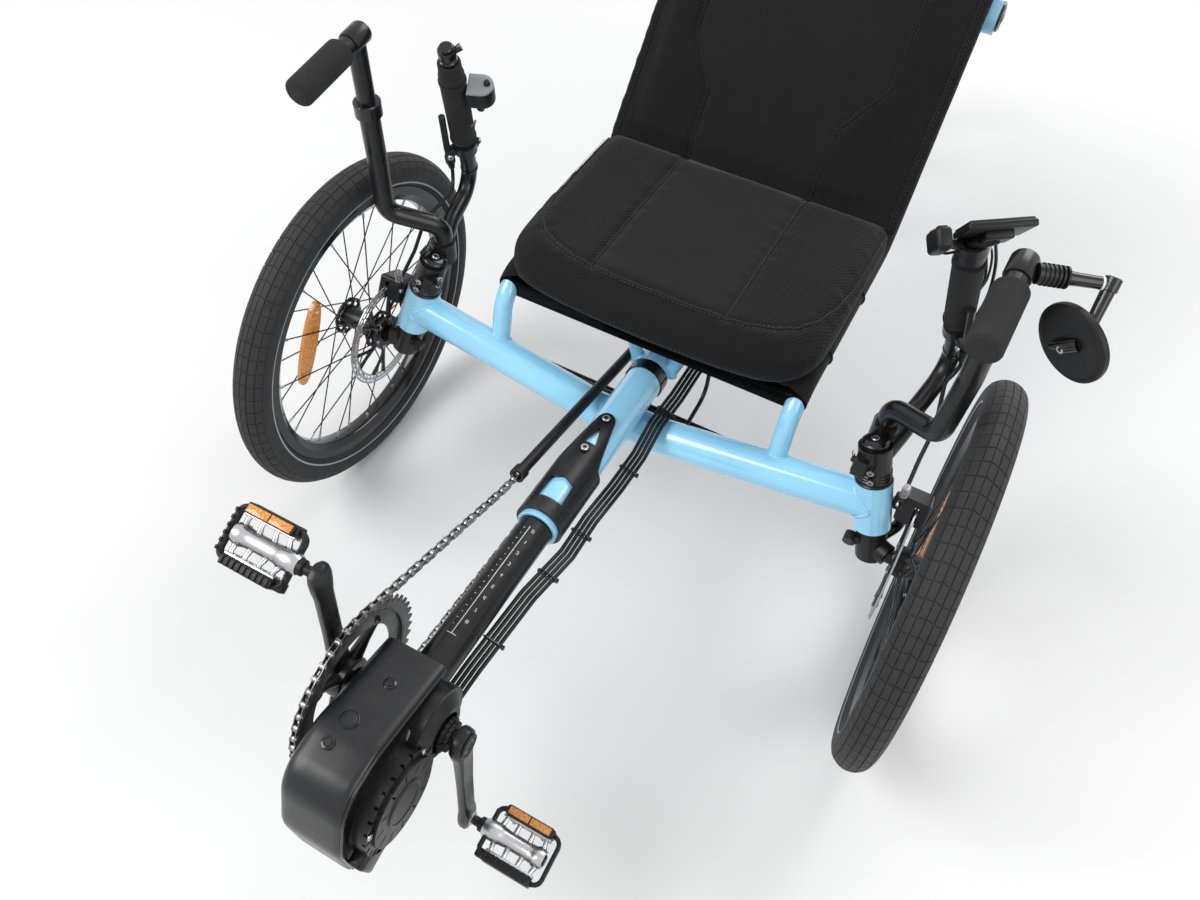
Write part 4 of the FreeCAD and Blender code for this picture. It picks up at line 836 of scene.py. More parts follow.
    def socket_bolt(self, seat: Vector, out: Vector, radius: float, finish: Material, dark: Material,
                    height: float = 0.004) -> None:
        """Bolt head with a hexagonal socket.

        Args:
            seat: where its head rests.
            out: the direction its head points.
            radius: the head's radius.
            finish: the head's finish.
            dark: the socket's finish.
            height: the head's height.
        """
        out = out.normalized()
        head = ((0.0, 1.0), (0.75, 1.0), (1.0, 0.86), (1.0, 0.58), (0.95, 0.56))
        socket = ((0.2, 0.5), (0.96, 0.52))
        for shares, look, sides in ((head, finish, 28), (socket, dark, 6)):
            self.turned([(height * a, radius * r) for a, r in shares], seat, out, look, sides)

    def build(self, name: str, body: str, slot: Optional[str] = None, replaces: Sequence[str] = (),
              sharp: float = 38.0) -> Piece:
        """Make the object and let it ride on its body.

        Args:
            name: the piece's name.
            body: the body it rides on.
            slot: not used.
            replaces: the nodes that it stands for.
            sharp: edges over this angle, in degrees, stay sharp.

        Returns:
            The object.
        """
        mesh = bpy.data.meshes.new(name)
        mesh.from_pydata([tuple(p) for p in self.points], [], self.faces)
        for finish in self.finishes:
            mesh.materials.append(finish)
        mesh.polygons.foreach_set("material_index", self.finish_of)
        mesh.polygons.foreach_set("use_smooth", [True] * len(mesh.polygons))
        mesh.validate()
        mesh.update()
        tidy_normals(mesh)
        mesh.set_sharp_from_angle(angle=math.radians(sharp))
        made = bpy.data.objects.new(name, mesh)
        bpy.context.scene.collection.objects.link(made)
        return settle(made, body, replaces)


def tidy_normals(mesh: Mesh) -> None:
    """Point every face outwards.

    Args:
        mesh: the mesh.
    """
    work = bmesh.new()
    work.from_mesh(mesh)
    bmesh.ops.recalc_face_normals(work, faces=work.faces)
    work.to_mesh(mesh)
    work.free()


def settle(made: Piece, body: str, replaces: Sequence[str]) -> Piece:
    """Let an object ride on its body and hide the nodes that it stands for.

    Args:
        made: the object.
        body: the body it rides on.
        replaces: the nodes that it stands for.

    Returns:
        The object.
    """
    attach(made, body)
    if replaces:
        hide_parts(*replaces)
    LOG.info("piece %s on %s", made.name, body)
    return made


def dress(node: str, finish: Material) -> None:
    """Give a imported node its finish.

    Args:
        node: the node's name.
        finish: its finish.
    """
    materials = frame["nodes"][node].data.materials
    materials.clear()
    materials.append(finish)
    LOG.info("node %s in %s", node, finish.name)


def middle_of(node: str) -> Vector:
    """Middle of a node's box."""
    low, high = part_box(node)
    return (low + high) / 2


def joint(name: str) -> dict:
    """Record's entry of a joint."""
    return next(j for j in frame["joints"] if j["name"] == name)


GROUND_POINT_Y = joint("wheel_left_spin")["pos_m"][1]


def bent(corners: Sequence[Vector], bend: float, step: float = 7.5) -> list[Vector]:
    """Path of straight runs with round corners.

    Args:
        corners: its corners.
        bend: radius of the corners.
        step: degrees between points of a corner.

    Returns:
        The path's points.
    """
    path = [Vector(corners[0])]
    for before, corner, after in zip(corners, corners[1:], corners[2:]):
        back = (before - corner).normalized()
        ahead = (after - corner).normalized()
        turn = math.pi - back.angle(ahead)
        if turn < 1e-3:
            path.append(Vector(corner))
            continue
        cut = min(bend * math.tan(turn / 2), 0.49 * (before - corner).length, 0.49 * (after - corner).length)
        radius = cut / math.tan(turn / 2)
        centre = corner + (back + ahead).normalized() * (radius / math.cos(turn / 2))
        start, end = corner + back * cut, corner + ahead * cut
        count = max(2, int(math.degrees(turn) / step))
        a, b = start - centre, end - centre
        for k in range(count + 1):
            path.append(centre + a.normalized().slerp(b.normalized(), k / count) * a.length)
    path.append(Vector(corners[-1]))
    return path


# ---- wheels --------------------------------------------------------------------------------------
# Angles from the crown, in degrees, where the tread's blocks thin out and where they end.
SHOULDER, TREAD_END = 62.0, 100.0
# Step from the tread to the thinner sidewall and half the distance between the beads, in metres.
WALL_STEP, BEAD_HALF = 0.0004, 0.013
# Joint distance of a half inch chain, in metres.
CHAIN_PITCH = 0.0127


@dataclass
class Wheel:
    """A 20 inch wheel: tread tyre, double-wall rim, crossed spokes, hub, and its own extras."""

    name: str
    finishes: Finishes
    outward: float = 1.0
    crown_r: float = 0.253
    section_r: float = 0.0250
    rim_seat_r: float = 0.205
    rim_inner_r: float = 0.187
    rim_half: float = 0.0165
    groove: float = 0.0011
    blocks: int = 80
    spokes: int = 32
    spoke_sweep: float = 48.0
    spoke_circle: float = 0.024
    flanges: tuple[float, float] = (0.0265, -0.0265)
    flange_thick: float = 0.0032
    flange_holes: int = 8
    valve_turn: float = 5.6

    def __post_init__(self) -> None:
        """Find where the wheel is."""
        self.body = f"wheel_{self.name}"
        self.centre = middle_of(f"tyre_{self.name}")
        self.axis = LEFTWARD

    def rim_point(self, across: float, radius: float, angle: float) -> Vector:
        """Point of the wheel from its distance from the mid plane, its radius and its angle."""
        return wheel_point(self.centre, across, radius, angle)

    def tread_columns(self) -> list[tuple[float, float]]:
        """Angles across the tyre's section, with how deep the groove is there.

        Returns:
            Angles in degrees with shares of the groove's depth.
        """
        half: list[tuple[float, float]] = [(0.0, 0.8), (1.3, 0.0), (9.0, 0.0)]
        for centre, wide, deep in ((20.0, 1.9, 1.0), (44.0, 1.8, 0.9), (68.0, 1.8, 0.55)):
            half += [(centre - wide, 0.0), (centre - wide * 0.5, deep), (centre + wide * 0.5, deep),
                     (centre + wide, 0.0)]
            outer = (centre + 9.5,) if centre < 50 else (76.0, 84.0, 93.0, 104.0, 116.0)
            half += [(angle, 0.0) for angle in outer]
        return [(-angle, deep) for angle, deep in reversed(half[1:])] + half

    def tread_point(self, turn: float, cut: float, angle: float, groove: float) -> Vector:
        """Point of the tread's skin.

        Args:
            turn: its place round the wheel, in blocks.
            cut: how deep the groove between two blocks is there.
            angle: its angle across the section, in degrees.
            groove: how deep the groove round the tyre is there.

        Returns:
            The point.
        """
        wide = abs(angle)
        beyond = wide - SHOULDER
        fade = 1.0 if beyond < 0.0 else max(0.0, 0.55 * (1.0 - beyond / 42.0)) if wide < TREAD_END else 0.0
        depth = max(groove, cut * fade)
        lean = 0.16 * math.sin(math.radians(min(wide, 70.0) * 2.3)) + 2.2e-4 * max(0.0, beyond) ** 2
        reach = self.section_r - self.groove * depth - (WALL_STEP if beyond > 2.0 else 0.0)
        across, rise = reach * math.sin(math.radians(angle)), reach * math.cos(math.radians(angle))
        return self.rim_point(across, self.crown_r - self.section_r + rise, TAU * (turn + lean) / self.blocks)

    def tyre(self) -> None:
        """Build the tyre with its tread blocks and sidewalls."""
        columns = self.tread_columns()
        gap = 0.042
        rows = [(-gap, 0.0), (-gap * 0.5, 1.0), (gap * 0.5, 1.0), (gap, 0.0), (0.36, 0.0), (0.66, 0.0)]
        loops = []
        for block in range(self.blocks):
            for offset, cut in rows:
                turn = block + offset
                skin = [self.tread_point(turn, cut, angle, groove) for angle, groove in columns]
                beads = [self.rim_point(across, self.rim_seat_r + 0.0035, TAU * turn / self.blocks)
                         for across in (BEAD_HALF, -BEAD_HALF)]
                loops.append(skin + beads)
        shape = Shape()
        shape.rings(loops, self.finishes["rubber"], False, True)
        stripe = ((0.0222, 0.2165), (0.0227, 0.2180), (0.0227, 0.2192), (0.0219, 0.2206), (0.0205, 0.2185))
        for side in (1, -1):
            shape.turned([(side * a, r) for a, r in stripe], self.centre, self.axis,
                         self.finishes["grey_plastic"], 120, True)
        shape.build(f"tyre_tread_{self.name}", self.body, "tyre", [f"tyre_{self.name}"], 24.0)

    def rim(self) -> None:
        """Build the rim with its valve."""
        w, seat, inner = self.rim_half, self.rim_seat_r, self.rim_inner_r
        outside = [(0.006, inner), (0.0105, inner + 0.002), (w - 0.0015, seat - 0.009), (w, seat - 0.007),
                   (w, seat + 0.005), (w - 0.0008, seat + 0.006), (w - 0.003, seat + 0.0055)]
        well = [(w - 0.003, seat), (0.011, seat), (0.009, seat - 0.005)]
        left = [(-a, r) for a, r in reversed(outside)]
        profile = [*left, *outside, *well, *((-a, r) for a, r in reversed(well))]
        shape = Shape()
        shape.turned(profile, self.centre, self.axis, self.finishes["gloss_plastic"], 144, True)
        plastic, steel = self.finishes.pick("plastic", "steel")
        foot, tip = (self.rim_point(0, inner + rise, math.radians(self.valve_turn))
                     for rise in (0.001, -0.034))
        for start, end, radius, finish, sides in ((1.0, 0.0, 0.0031, plastic, 16),
                                                  (0.42, -0.04, 0.0039, plastic, 16),
                                                  (1.03, 0.91, 0.0052, steel, 18)):
            shape.rod(tip + (foot - tip) * start, tip + (foot - tip) * end, radius, finish, sides)
        shape.build(f"rim_wall_{self.name}", self.body, "black_alloy", [f"rim_{self.name}"], 30.0)

    def spoke_set(self) -> None:
        """Build the spokes with their nipples and heads."""
        shape = Shape()
        black, steel = self.finishes.pick("black_paint", "steel")
        for n, at_rim in enumerate(round_places(self.spokes)):
            flange = self.flanges[0] if n % 2 else self.flanges[1]
            sense = 1 if (n // 2) % 2 else -1
            lift = sense * 0.0022
            at_hub = at_rim + math.radians(sense * self.spoke_sweep)
            outer = self.rim_point(math.copysign(0.003, flange), self.rim_inner_r + 0.0005, at_rim)
            inner, head, knob = (self.rim_point(flange + lift * side, self.spoke_circle, at_hub)
                                 for side in (1.0, -0.9, -1.3))
            shape.tube([inner, outer], 0.00095, black, 8)
            shape.rod(outer, outer + (inner - outer).normalized() * 0.012, 0.0019, steel, 10)
            shape.tube([inner, head], 0.0012, black, 8)
            shape.rod(head, knob, 0.0021, steel, 10)
        shape.build(f"spokes_{self.name}", self.body, "black_alloy")

    def flange_rings(self, shape: Shape) -> None:
        """Add the hub's flanges with their scalloped, drilled rims.

        Args:
            shape: what they are added to.
        """
        finish, holes, half = self.finishes["alloy_black"], self.flange_holes, self.flange_thick / 2
        for across in self.flanges:
            for first in round_places(holes):
                arm = [self.rim_point(across, radius, first) for radius in (0.0155, 0.0245)]
                shape.tube(arm, 0.0026, finish, 10)
                loop = []
                for turn in (TAU * k / 8 for k in range(9)):
                    radius = 0.0258 - 0.0008 * math.cos(turn)
                    loop.append(self.rim_point(across, radius, first + turn / holes))
                shape.tube(loop, 0.0025, finish, 10)
            shape.band((across - half, across + half), (0.012, 0.0165), self.centre, self.axis, finish, 36)


@dataclass
class FrontWheel(Wheel):
    """Front wheel with a disc rotor inboard, an axle cap outboard and an amber spoke reflector."""

    rotor_in: float = 0.041
    rotor_thick: float = 0.0018
    rotor_slots: int = 48
    rotor_bolts: int = 6
    reflector_slant: float = 62.0
    reflector_half: Point = (0.0625, 0.0150, 0.0042)

    def hub(self) -> None:
        """Build the hub shell and its axle cap."""
        shape = Shape()
        black, steel = self.finishes.pick("alloy_black", "steel")
        out = self.axis * self.outward
        profile = [(-0.036, 0.0066), (-0.036, 0.020), (-0.028, 0.020), (-0.0285, 0.0175), (-0.024, 0.0175),
                   (-0.018, 0.0150), (0.018, 0.0150), (0.024, 0.0175), (0.0285, 0.0175), (0.0285, 0.0125),
                   (0.034, 0.011), (0.034, 0.0066)]
        shape.turned([(self.outward * a, r) for a, r in profile], self.centre, self.axis, black)
        self.flange_rings(shape)
        cap = self.centre + out * 0.034
        shape.turned([(0, 0.010), (0.004, 0.010), (0.006, 0.0085), (0.0062, 0.0035), (0.003, 0.003)], cap,
                     out, black, 36)
        shape.turned([(0.003, 0.003), (0.0064, 0.0031)], cap, out, steel, 6)
        shape.build(f"hub_shell_{self.name}", self.body, "black_alloy", [f"hub_{self.name}"])

    def rotor(self) -> None:
        """Build the brake rotor with its slotted band, arms and bolts."""
        shape = Shape()
        steel, dark = self.finishes.pick("steel", "alloy_black")
        s, thick = -self.outward, self.rotor_thick
        plane = s * self.rotor_in
        for radii in ((0.0655, 0.0682), (0.0716, 0.0744), (0.0776, 0.0800)):
            shape.band((plane - thick / 2, plane + thick / 2), radii, self.centre, self.axis, steel, 96)
        for low, high, lean, offset in ((0.0680, 0.0718, 0.030, 0.0), (0.0742, 0.0778, -0.030, 0.5)):
            for first in round_places(self.rotor_slots, offset):
                shape.tube([self.rim_point(plane, low, first), self.rim_point(plane, high, first + lean)],
                           0.0010, steel, 6)
        long_arm = (((0.021, 0.0), (0.036, 0.13), (0.052, 0.20), (0.067, 0.22)),
                    (0.0034, 0.0026, 0.0024, 0.0032))
        short_arm = (((0.036, 0.13), (0.052, -0.06), (0.067, -0.16)), (0.0026, 0.0022, 0.0030))
        for first in round_places(self.rotor_bolts):
            for places, widths in (long_arm, short_arm):
                shape.tube([self.rim_point(plane, r, first + a) for r, a in places], widths, dark, 8)
            shape.socket_bolt(self.rim_point(plane + s * 0.001, 0.022, first), self.axis * s, 0.0036, steel,
                              dark, 0.0024)
        shape.band((plane - thick, plane + thick), (0.0145, 0.026), self.centre, self.axis, dark)
        shape.band((s * 0.034, plane), (0.012, 0.0195), self.centre, self.axis, dark, 36)
        shape.build(f"rotor_{self.name}", self.body, "steel")

    def reflector(self) -> None:
        """Build the spoke reflector with its clips and prism facets."""
        centre = middle_of(f"spoke_reflector_{self.name}")
        slant = math.radians(self.reflector_slant)
        along = Vector((0, math.cos(slant), math.sin(slant)))
        over = Vector((0, -math.sin(slant), math.cos(slant)))
        half_long, half_wide, half_thick = self.reflector_half
        shape = Shape()
        amber, white = self.finishes.pick("amber", "white_ink")
        for side in (1, -1):
            out = self.axis * side
            face = centre + out * half_thick
            loops = []
            for depth, inset in ((0.0, 0.0), (0.6, 0.0), (1.0, 0.0022)):
                loop = []
                for c, d in ((math.cos(t), math.sin(t)) for t in round_places(48)):
                    length = flattened(c, 0.72) * (half_long - inset)
                    width = flattened(d, 0.80) * (half_wide - inset) * (1.0 - 0.10 * abs(c))
                    loop.append(centre + along * length + over * width + out * (half_thick * depth))
                loops.append(loop)
            shape.rings(loops, amber)
            for n in range(-5, 6):
                for wide in (-0.006, 0.0, 0.006):
                    lump = face + along * (n * 0.0098) + over * wide
                    shape.turned([(0, 0.0029), (0.0004, 0.0026), (0.0009, 0.0012)], lump, out, amber, 6)
            for end in (-0.048, 0.048):
                shape.turned([(0, 0.0024), (0.0008, 0.0024), (0.0009, 0.0010)], face + along * end, out,
                             white, 14)
        shape.build(f"reflector_{self.name}", self.body, "amber_lens", [f"spoke_reflector_{self.name}"])

    def build(self) -> None:
        """Build every piece of the wheel."""
        self.tyre()
        self.rim()
        self.spoke_set()
        self.hub()
        self.rotor()
        self.reflector()


@dataclass
class RearWheel(Wheel):
    """Driven rear wheel with its cassette."""

    cogs: tuple[int, ...] = (34, 30, 26, 23, 20, 18, 16, 14)
    first_cog: float = -0.025
    cog_pitch: float = 0.0044
    flanges: tuple[float, float] = (0.0325, -0.0185)

    def hub(self) -> None:
        """Build the hub shell, axle ends and nuts."""
        shape = Shape()
        black, steel = self.finishes.pick("alloy_black", "steel")
        profile = [(-0.062, 0.006), (-0.062, 0.0165), (-0.020, 0.0165), (-0.016, 0.0175), (-0.010, 0.016),
                   (0.000, 0.0155), (0.026, 0.0160), (0.031, 0.0175), (0.034, 0.0175), (0.046, 0.012),
                   (0.062, 0.011), (0.062, 0.006)]
        shape.turned(profile, self.centre, self.axis, black)
        self.flange_rings(shape)
        for s in (1, -1):
            out = self.axis * s
            shape.rod(self.centre + out * 0.060, self.centre + out * 0.0765, 0.0049, steel, 20)
            shape.turned([(0.0719, 0.0085), (0.0736, 0.0085)], self.centre, out, steel, 30)
            shape.turned([(0.0735, 0.0080), (0.0760, 0.0080), (0.0767, 0.0070)], self.centre, out, steel, 6)
        shape.build("hub_shell_rear", self.body, "black_alloy", ["hub_rear"])

    def cassette(self) -> None:
        """Build the sprockets."""
        shape = Shape()
        steel, dark = self.finishes.pick("steel", "ring_steel")
        for n, teeth in enumerate(self.cogs):
            middle = self.centre + self.axis * (self.first_cog - n * self.cog_pitch)
            sprocket(shape, middle, self.axis, teeth, 0.0019, 0.0185, steel if n % 2 else dark)
        lock = self.first_cog - len(self.cogs) * self.cog_pitch
        shape.turned([(self.first_cog + 0.001, 0.019), (lock, 0.019)], self.centre, self.axis, dark, 36)
        shape.turned([(lock, 0.016), (lock - 0.0015, 0.0155), (lock - 0.0015, 0.010)], self.centre, self.axis,
                     steel, 24)
        shape.build("cassette", self.body, "black_alloy")

    def build(self) -> None:
        """Build every piece of the wheel."""
        self.tyre()
        self.rim()
        self.spoke_set()
        self.hub()
        self.cassette()


TOOTH: Profile = ((0.0, -0.0038), (0.14, -0.0034), (0.26, -0.0012), (0.38, 0.0022), (0.47, 0.0034),
                  (0.53, 0.0034), (0.62, 0.0022), (0.74, -0.0012), (0.86, -0.0034))


def sprocket(shape: Shape, centre: Vector, axis: Vector, teeth: int, thick: float, bore: float,
             finish: Material) -> None:
    """Toothed ring for a half inch chain.

    Args:
        shape: what it is added to.
        centre: its middle.
        axis: its axis.
        teeth: number of teeth.
        thick: its thickness.
        bore: radius of its hole.
        finish: its finish.
    """
    first, second = square_to(axis.normalized())
    pitch_r = CHAIN_PITCH / (2 * math.sin(math.pi / teeth))
    outer, inner = [], []
    for tooth in range(teeth):
        for share, rise in TOOTH:
            ray = turn_to(first, second, TAU * (tooth + share) / teeth)
            outer.append(centre + ray * (pitch_r + rise))
            inner.append(centre + ray * bore)
    lift = axis.normalized() * (thick / 2)
    corners = ((inner, -1), (outer, -1), (outer, 1), (inner, 1))
    shape.rings([[p + lift * side for p in edge] for edge, side in corners], finish, False, True)


# ---- drive ---------------------------------------------------------------------------------------
# Places of the idler and of the derailleur's pulleys, backwards and upwards in millimetres.
IDLER, UPPER_PULLEY, LOWER_PULLEY = (190.0, 298.0), (1012.0, 172.0), (984.0, 116.0)
# Plane of the chain behind the idler, in millimetres.
CHAIN_X = -43.0


@dataclass
class ChainRoute:
    """Middle line of the chain, from the circles that it runs round: place, plane, radius and sense."""

    circles: tuple[tuple[float, float, float, float, int], ...] = (
        (-480.0, 348.0, -58.0, 93.0, -1),
        (-141.0, 537.0, -52.0, 200.0, 1),
        (*IDLER, CHAIN_X, 27.0, 1),
        (1000.0, 253.0, CHAIN_X, 45.0, -1),
        (*UPPER_PULLEY, CHAIN_X, 18.0, 1),
        (*LOWER_PULLEY, CHAIN_X, 18.0, -1),
    )
    points: list[Vector] = field(default_factory=list)
    lengths: list[float] = field(default_factory=list)

    def __post_init__(self) -> None:
        """Join the tangent runs and the arcs."""
        count = len(self.circles)
        touch = [self.tangent(self.circles[n], self.circles[(n + 1) % count]) for n in range(count)]
        for n, (leave, meet) in enumerate(touch):
            start, circle = self.circles[n], self.circles[(n + 1) % count]
            runs = int((meet - leave).length / 12) + 1
            for share in (k / runs for k in range(runs)):
                flat = leave.lerp(meet, share)
                self.points.append(spot(start[2] + (circle[2] - start[2]) * share, flat.x, flat.y))
            away = touch[(n + 1) % count][0]
            y, z, x, radius, turn = circle
            first = math.atan2(meet.y - z, meet.x - y)
            last = math.atan2(away.y - z, away.x - y)
            sweep = (last - first) * turn % TAU
            steps = max(2, int(math.degrees(sweep) / 4))
            for k in range(steps):
                angle = first + turn * sweep * k / steps
                self.points.append(spot(x, y + radius * math.cos(angle), z + radius * math.sin(angle)))
        self.points.append(self.points[0].copy())
        self.lengths = [0.0]
        for a, b in zip(self.points, self.points[1:]):
            self.lengths.append(self.lengths[-1] + (b - a).length)

    @staticmethod
    def tangent(one: Sequence[float], two: Sequence[float]) -> tuple[Vector, Vector]:
        """Run between two circles.

        Args:
            one: the circle that the chain leaves.
            two: the circle that it meets.

        Returns:
            The places where it leaves and meets them.
        """
        span = Vector((two[0] - one[0], two[1] - one[1]))
        angle = math.atan2(span.y, span.x) - math.asin((two[4] * two[3] - one[4] * one[3]) / span.length)
        normal = Vector((-math.sin(angle), math.cos(angle)))
        return tuple(Vector(circle[:2]) - normal * (circle[4] * circle[3]) for circle in (one, two))

    def at(self, distance: float) -> Vector:
        """Place at a distance along the chain.

        Args:
            distance: the distance, in metres.

        Returns:
            The place.
        """
        distance %= self.lengths[-1]
        high = bisect.bisect_right(self.lengths, distance, 1, len(self.lengths) - 1)
        low = high - 1
        share = (distance - self.lengths[low]) / max(1e-9, self.lengths[high] - self.lengths[low])
        return self.points[low].lerp(self.points[high], share)

    def nearest(self, place: Vector) -> float:
        """Distance along the chain of its nearest point to a place."""
        best = min(range(len(self.points)), key=lambda n: (self.points[n] - place).length)
        return self.lengths[best]


@dataclass
class Chain:
    """Half inch chain with its plates, rollers and pins."""

    finishes: Finishes
    plate_r: float = 0.0041
    waist_r: float = 0.0030
    plate_thick: float = 0.0009
    route: ChainRoute = field(default_factory=ChainRoute)

    def side_plate(self, shape: Shape, a: Vector, b: Vector, across: Vector, out: float,
                   finish: Material) -> None:
        """Add one figure-of-eight plate.

        Args:
            shape: what it is added to.
            a: one pin's middle.
            b: the next pin's middle.
            across: the pins' direction.
            out: the plate's distance from the middle line.
            finish: its finish.
        """
        along = (b - a).normalized()
        over = across.cross(along)
        outline = []
        for end, sense in ((b, 1.0), (a, -1.0)):
            outline += [end + turn_to(along, over, math.radians(-78 + 31.2 * k)) * (sense * self.plate_r)
                        for k in range(6)]
            outline.append((a + b) / 2 + over * (sense * self.waist_r))
        shift = across * (out - self.plate_thick / 2)
        shape.plate([p + shift for p in outline], across * self.plate_thick, finish)

    def build(self) -> None:
        """Build the whole chain."""
        shape = Shape()
        plate, steel = self.finishes.pick("chain_steel", "steel")
        start = self.route.nearest(spot(CHAIN_X, 500, 270))
        count = int(self.route.lengths[-1] / CHAIN_PITCH) + 1
        pins = [self.route.at(start + n * CHAIN_PITCH) for n in range(count + 1)]
        for n, (a, b) in enumerate(zip(pins, pins[1:])):
            across = squared(LEFTWARD, (b - a).normalized())
            out = 0.0030 if n % 2 else 0.0021
            for side in (1, -1):
                self.side_plate(shape, a, b, across, side * out, plate)
            for half, radius, sides, edge in ((0.0016, 0.0038, 10, 0.0002), (0.0038, 0.0018, 8, 0.0003)):
                shape.rod(a - across * half, a + across * half, radius, steel, sides, edge)
        shape.build("chain_links", "frame", "steel", ["chain"])


@dataclass
class Crankset:
    """Chainring, spider and cranks."""

    finishes: Finishes
    ring_x: float = -0.058
    teeth: int = 46
    arms: int = 4
    bolt_circle: float = 0.071

    def __post_init__(self) -> None:
        """Find the crank axle."""
        self.centre = Vector(joint("crank_spin")["pos_m"])
        self.pedals = {side: Vector(joint(f"pedal_{side.value}_spin")["pos_m"]) for side in Side}
        self.ring_middle = self.centre + LEFTWARD * self.ring_x
        right = self.pedals[Side.RIGHT]
        self.lean = math.atan2(right.z - self.centre.z, right.y - self.centre.y)
        self.arm_angles = [self.lean + turn for turn in round_places(self.arms, 0.5)]

    def ring_point(self, across: float, radius: float, angle: float) -> Vector:
        """Point from its distance from the ring's plane, its radius and its angle."""
        return wheel_point(self.ring_middle, across, radius, angle)

    def ring(self) -> None:
        """Build the toothed ring, its guard edge and its bolts."""
        shape = Shape()
        black, steel, plastic = self.finishes.pick("ring_steel", "steel", "plastic")
        sprocket(shape, self.ring_middle, LEFTWARD, self.teeth, 0.0022, 0.0805, black)
        for start in self.arm_angles:
            edge = [(start - 0.30 + 0.05 * k, 0.0795 - 0.014 * math.exp(-((k - 6) / 2.6) ** 2))
                    for k in range(13)]
            tab = [self.ring_point(-0.0015, radius, angle) for angle, radius in edge]
            tab += [self.ring_point(-0.0015, 0.0815, angle) for angle, _ in reversed(edge)]
            shape.plate(tab, LEFTWARD * 0.003, black)
            shape.socket_bolt(self.ring_point(-0.0095, self.bolt_circle, start), -LEFTWARD, 0.0052, steel,
                              plastic, 0.0025)
        shape.band((-0.0008, 0.0008), (0.0785, 0.0830), self.ring_middle, LEFTWARD, black, 96)
        shape.build("chainring_teeth", "crankset", "black_alloy", ["chainring"])

    def arm(self, shape: Shape, side: Side) -> None:
        """Add a crank arm.

        Args:
            shape: what it is added to.
            side: its side.
        """
        foot, s, out = self.pedals[side], side.sign, LEFTWARD * side.sign
        start = Vector((s * (0.070 if side is Side.LEFT else 0.074), self.centre.y, self.centre.z))
        end = foot - out * 0.0095
        over = LEFTWARD.cross(Vector((0, end.y - start.y, end.z - start.z)).normalized())
        black, plastic, gloss, steel = self.finishes.pick("alloy_black", "plastic", "gloss_plastic", "steel")
        stations = ((-0.085, 0.3, 0.6), (-0.080, 0.75, 0.85), (-0.055, 1.15, 1.0), (0.0, 1.42, 1.05),
                    (0.07, 1.25, 0.98), (0.16, 0.98, 0.9), (0.5, 0.86, 0.78), (0.84, 0.86, 0.78),
                    (0.93, 1.02, 0.86), (1.0, 1.06, 0.88), (1.055, 0.92, 0.84), (1.078, 0.5, 0.7),
                    (1.084, 0.2, 0.5))
        loops = []
        for share, wide, deep in stations:
            middle = start + (end - start) * share
            groove = 0.0015 * max(0.0, 1 - abs(share - 0.48) / 0.40) ** 0.5
            loop = []
            for t in round_places(20):
                c, d = flattened(math.cos(t), 0.62), flattened(math.sin(t), 0.62)
                dish = groove if abs(c) < 0.5 and d * s > 0 else 0.0
                loop.append(middle + over * (0.0125 * wide * c) + LEFTWARD * (0.0075 * deep * d - s * dish))
            loops.append(loop)
        shape.rings(loops, black)
        face = start + out * 0.0072
        for profile, finish, sides in (
                (((0, 0.0135), (0.0016, 0.0130), (0.0020, 0.0110), (0.0008, 0.0100)), plastic, 30),
                (((0.0002, 0.0092), (0.0012, 0.0090), (0.0014, 0.0052), (0.0002, 0.0048)), black, 30),
                (((0.0000, 0.0046), (0.0006, 0.0046)), gloss, 6)):
            shape.turned(profile, face, out, finish, sides)
        shape.turned([(0, 0.0078), (0.0018, 0.0078), (0.0022, 0.0070)], end + out * 0.0064, out, steel, 8)

    def build(self) -> None:
        """Build the ring, the spider and both arms."""
        self.ring()
        shape = Shape()
        black, case, plastic, steel = self.finishes.pick("alloy_black", "motor_case", "plastic", "steel")
        for side in Side:
            self.arm(shape, side)
        for angle in self.arm_angles:
            tip = self.ring_point(-0.0055, self.bolt_circle, angle)
            path = [self.ring_point(-0.012, 0.018, angle), self.ring_point(-0.009, 0.045, angle), tip]
            shape.tube(path, [0.0085, 0.0055, 0.0045], black, 14)
            shape.turned([(-0.004, 0.0085), (0.004, 0.0085)], tip, LEFTWARD, black, 24)
        shape.turned([(-0.020, 0.0150), (-0.020, 0.0235), (-0.004, 0.0240), (-0.002, 0.0225),
                      (-0.002, 0.0150)], self.ring_middle, LEFTWARD, black, 48, True)
        shape.rod(self.centre - LEFTWARD * 0.066, self.centre + LEFTWARD * 0.064, 0.0085, case)
        for across, radius in ((0.0535, 0.0170), (0.0580, 0.0145)):
            middle = self.centre + LEFTWARD * across
            shape.band((-0.0020, 0.0020), (0.0090, radius), middle, LEFTWARD, plastic, 36)
            for angle in round_places(16):
                ends = (wheel_point(middle, half, radius + 0.0004, angle) for half in (-0.0018, 0.0018))
                shape.rod(*ends, 0.0013, plastic, 8, 0.0002)
        shape.band((-0.0048, -0.0024), (0.0625, 0.0815), self.ring_middle, LEFTWARD,
                   self.finishes["ring_steel"], 96)
        shape.turned([(-0.0052, 0.0620), (-0.0058, 0.0628), (-0.0058, 0.0640), (-0.0042, 0.0648)],
                     self.ring_middle, LEFTWARD, steel, 96, True)
        shape.build("crank_arms", "crankset", "black_alloy", ["cranks"])


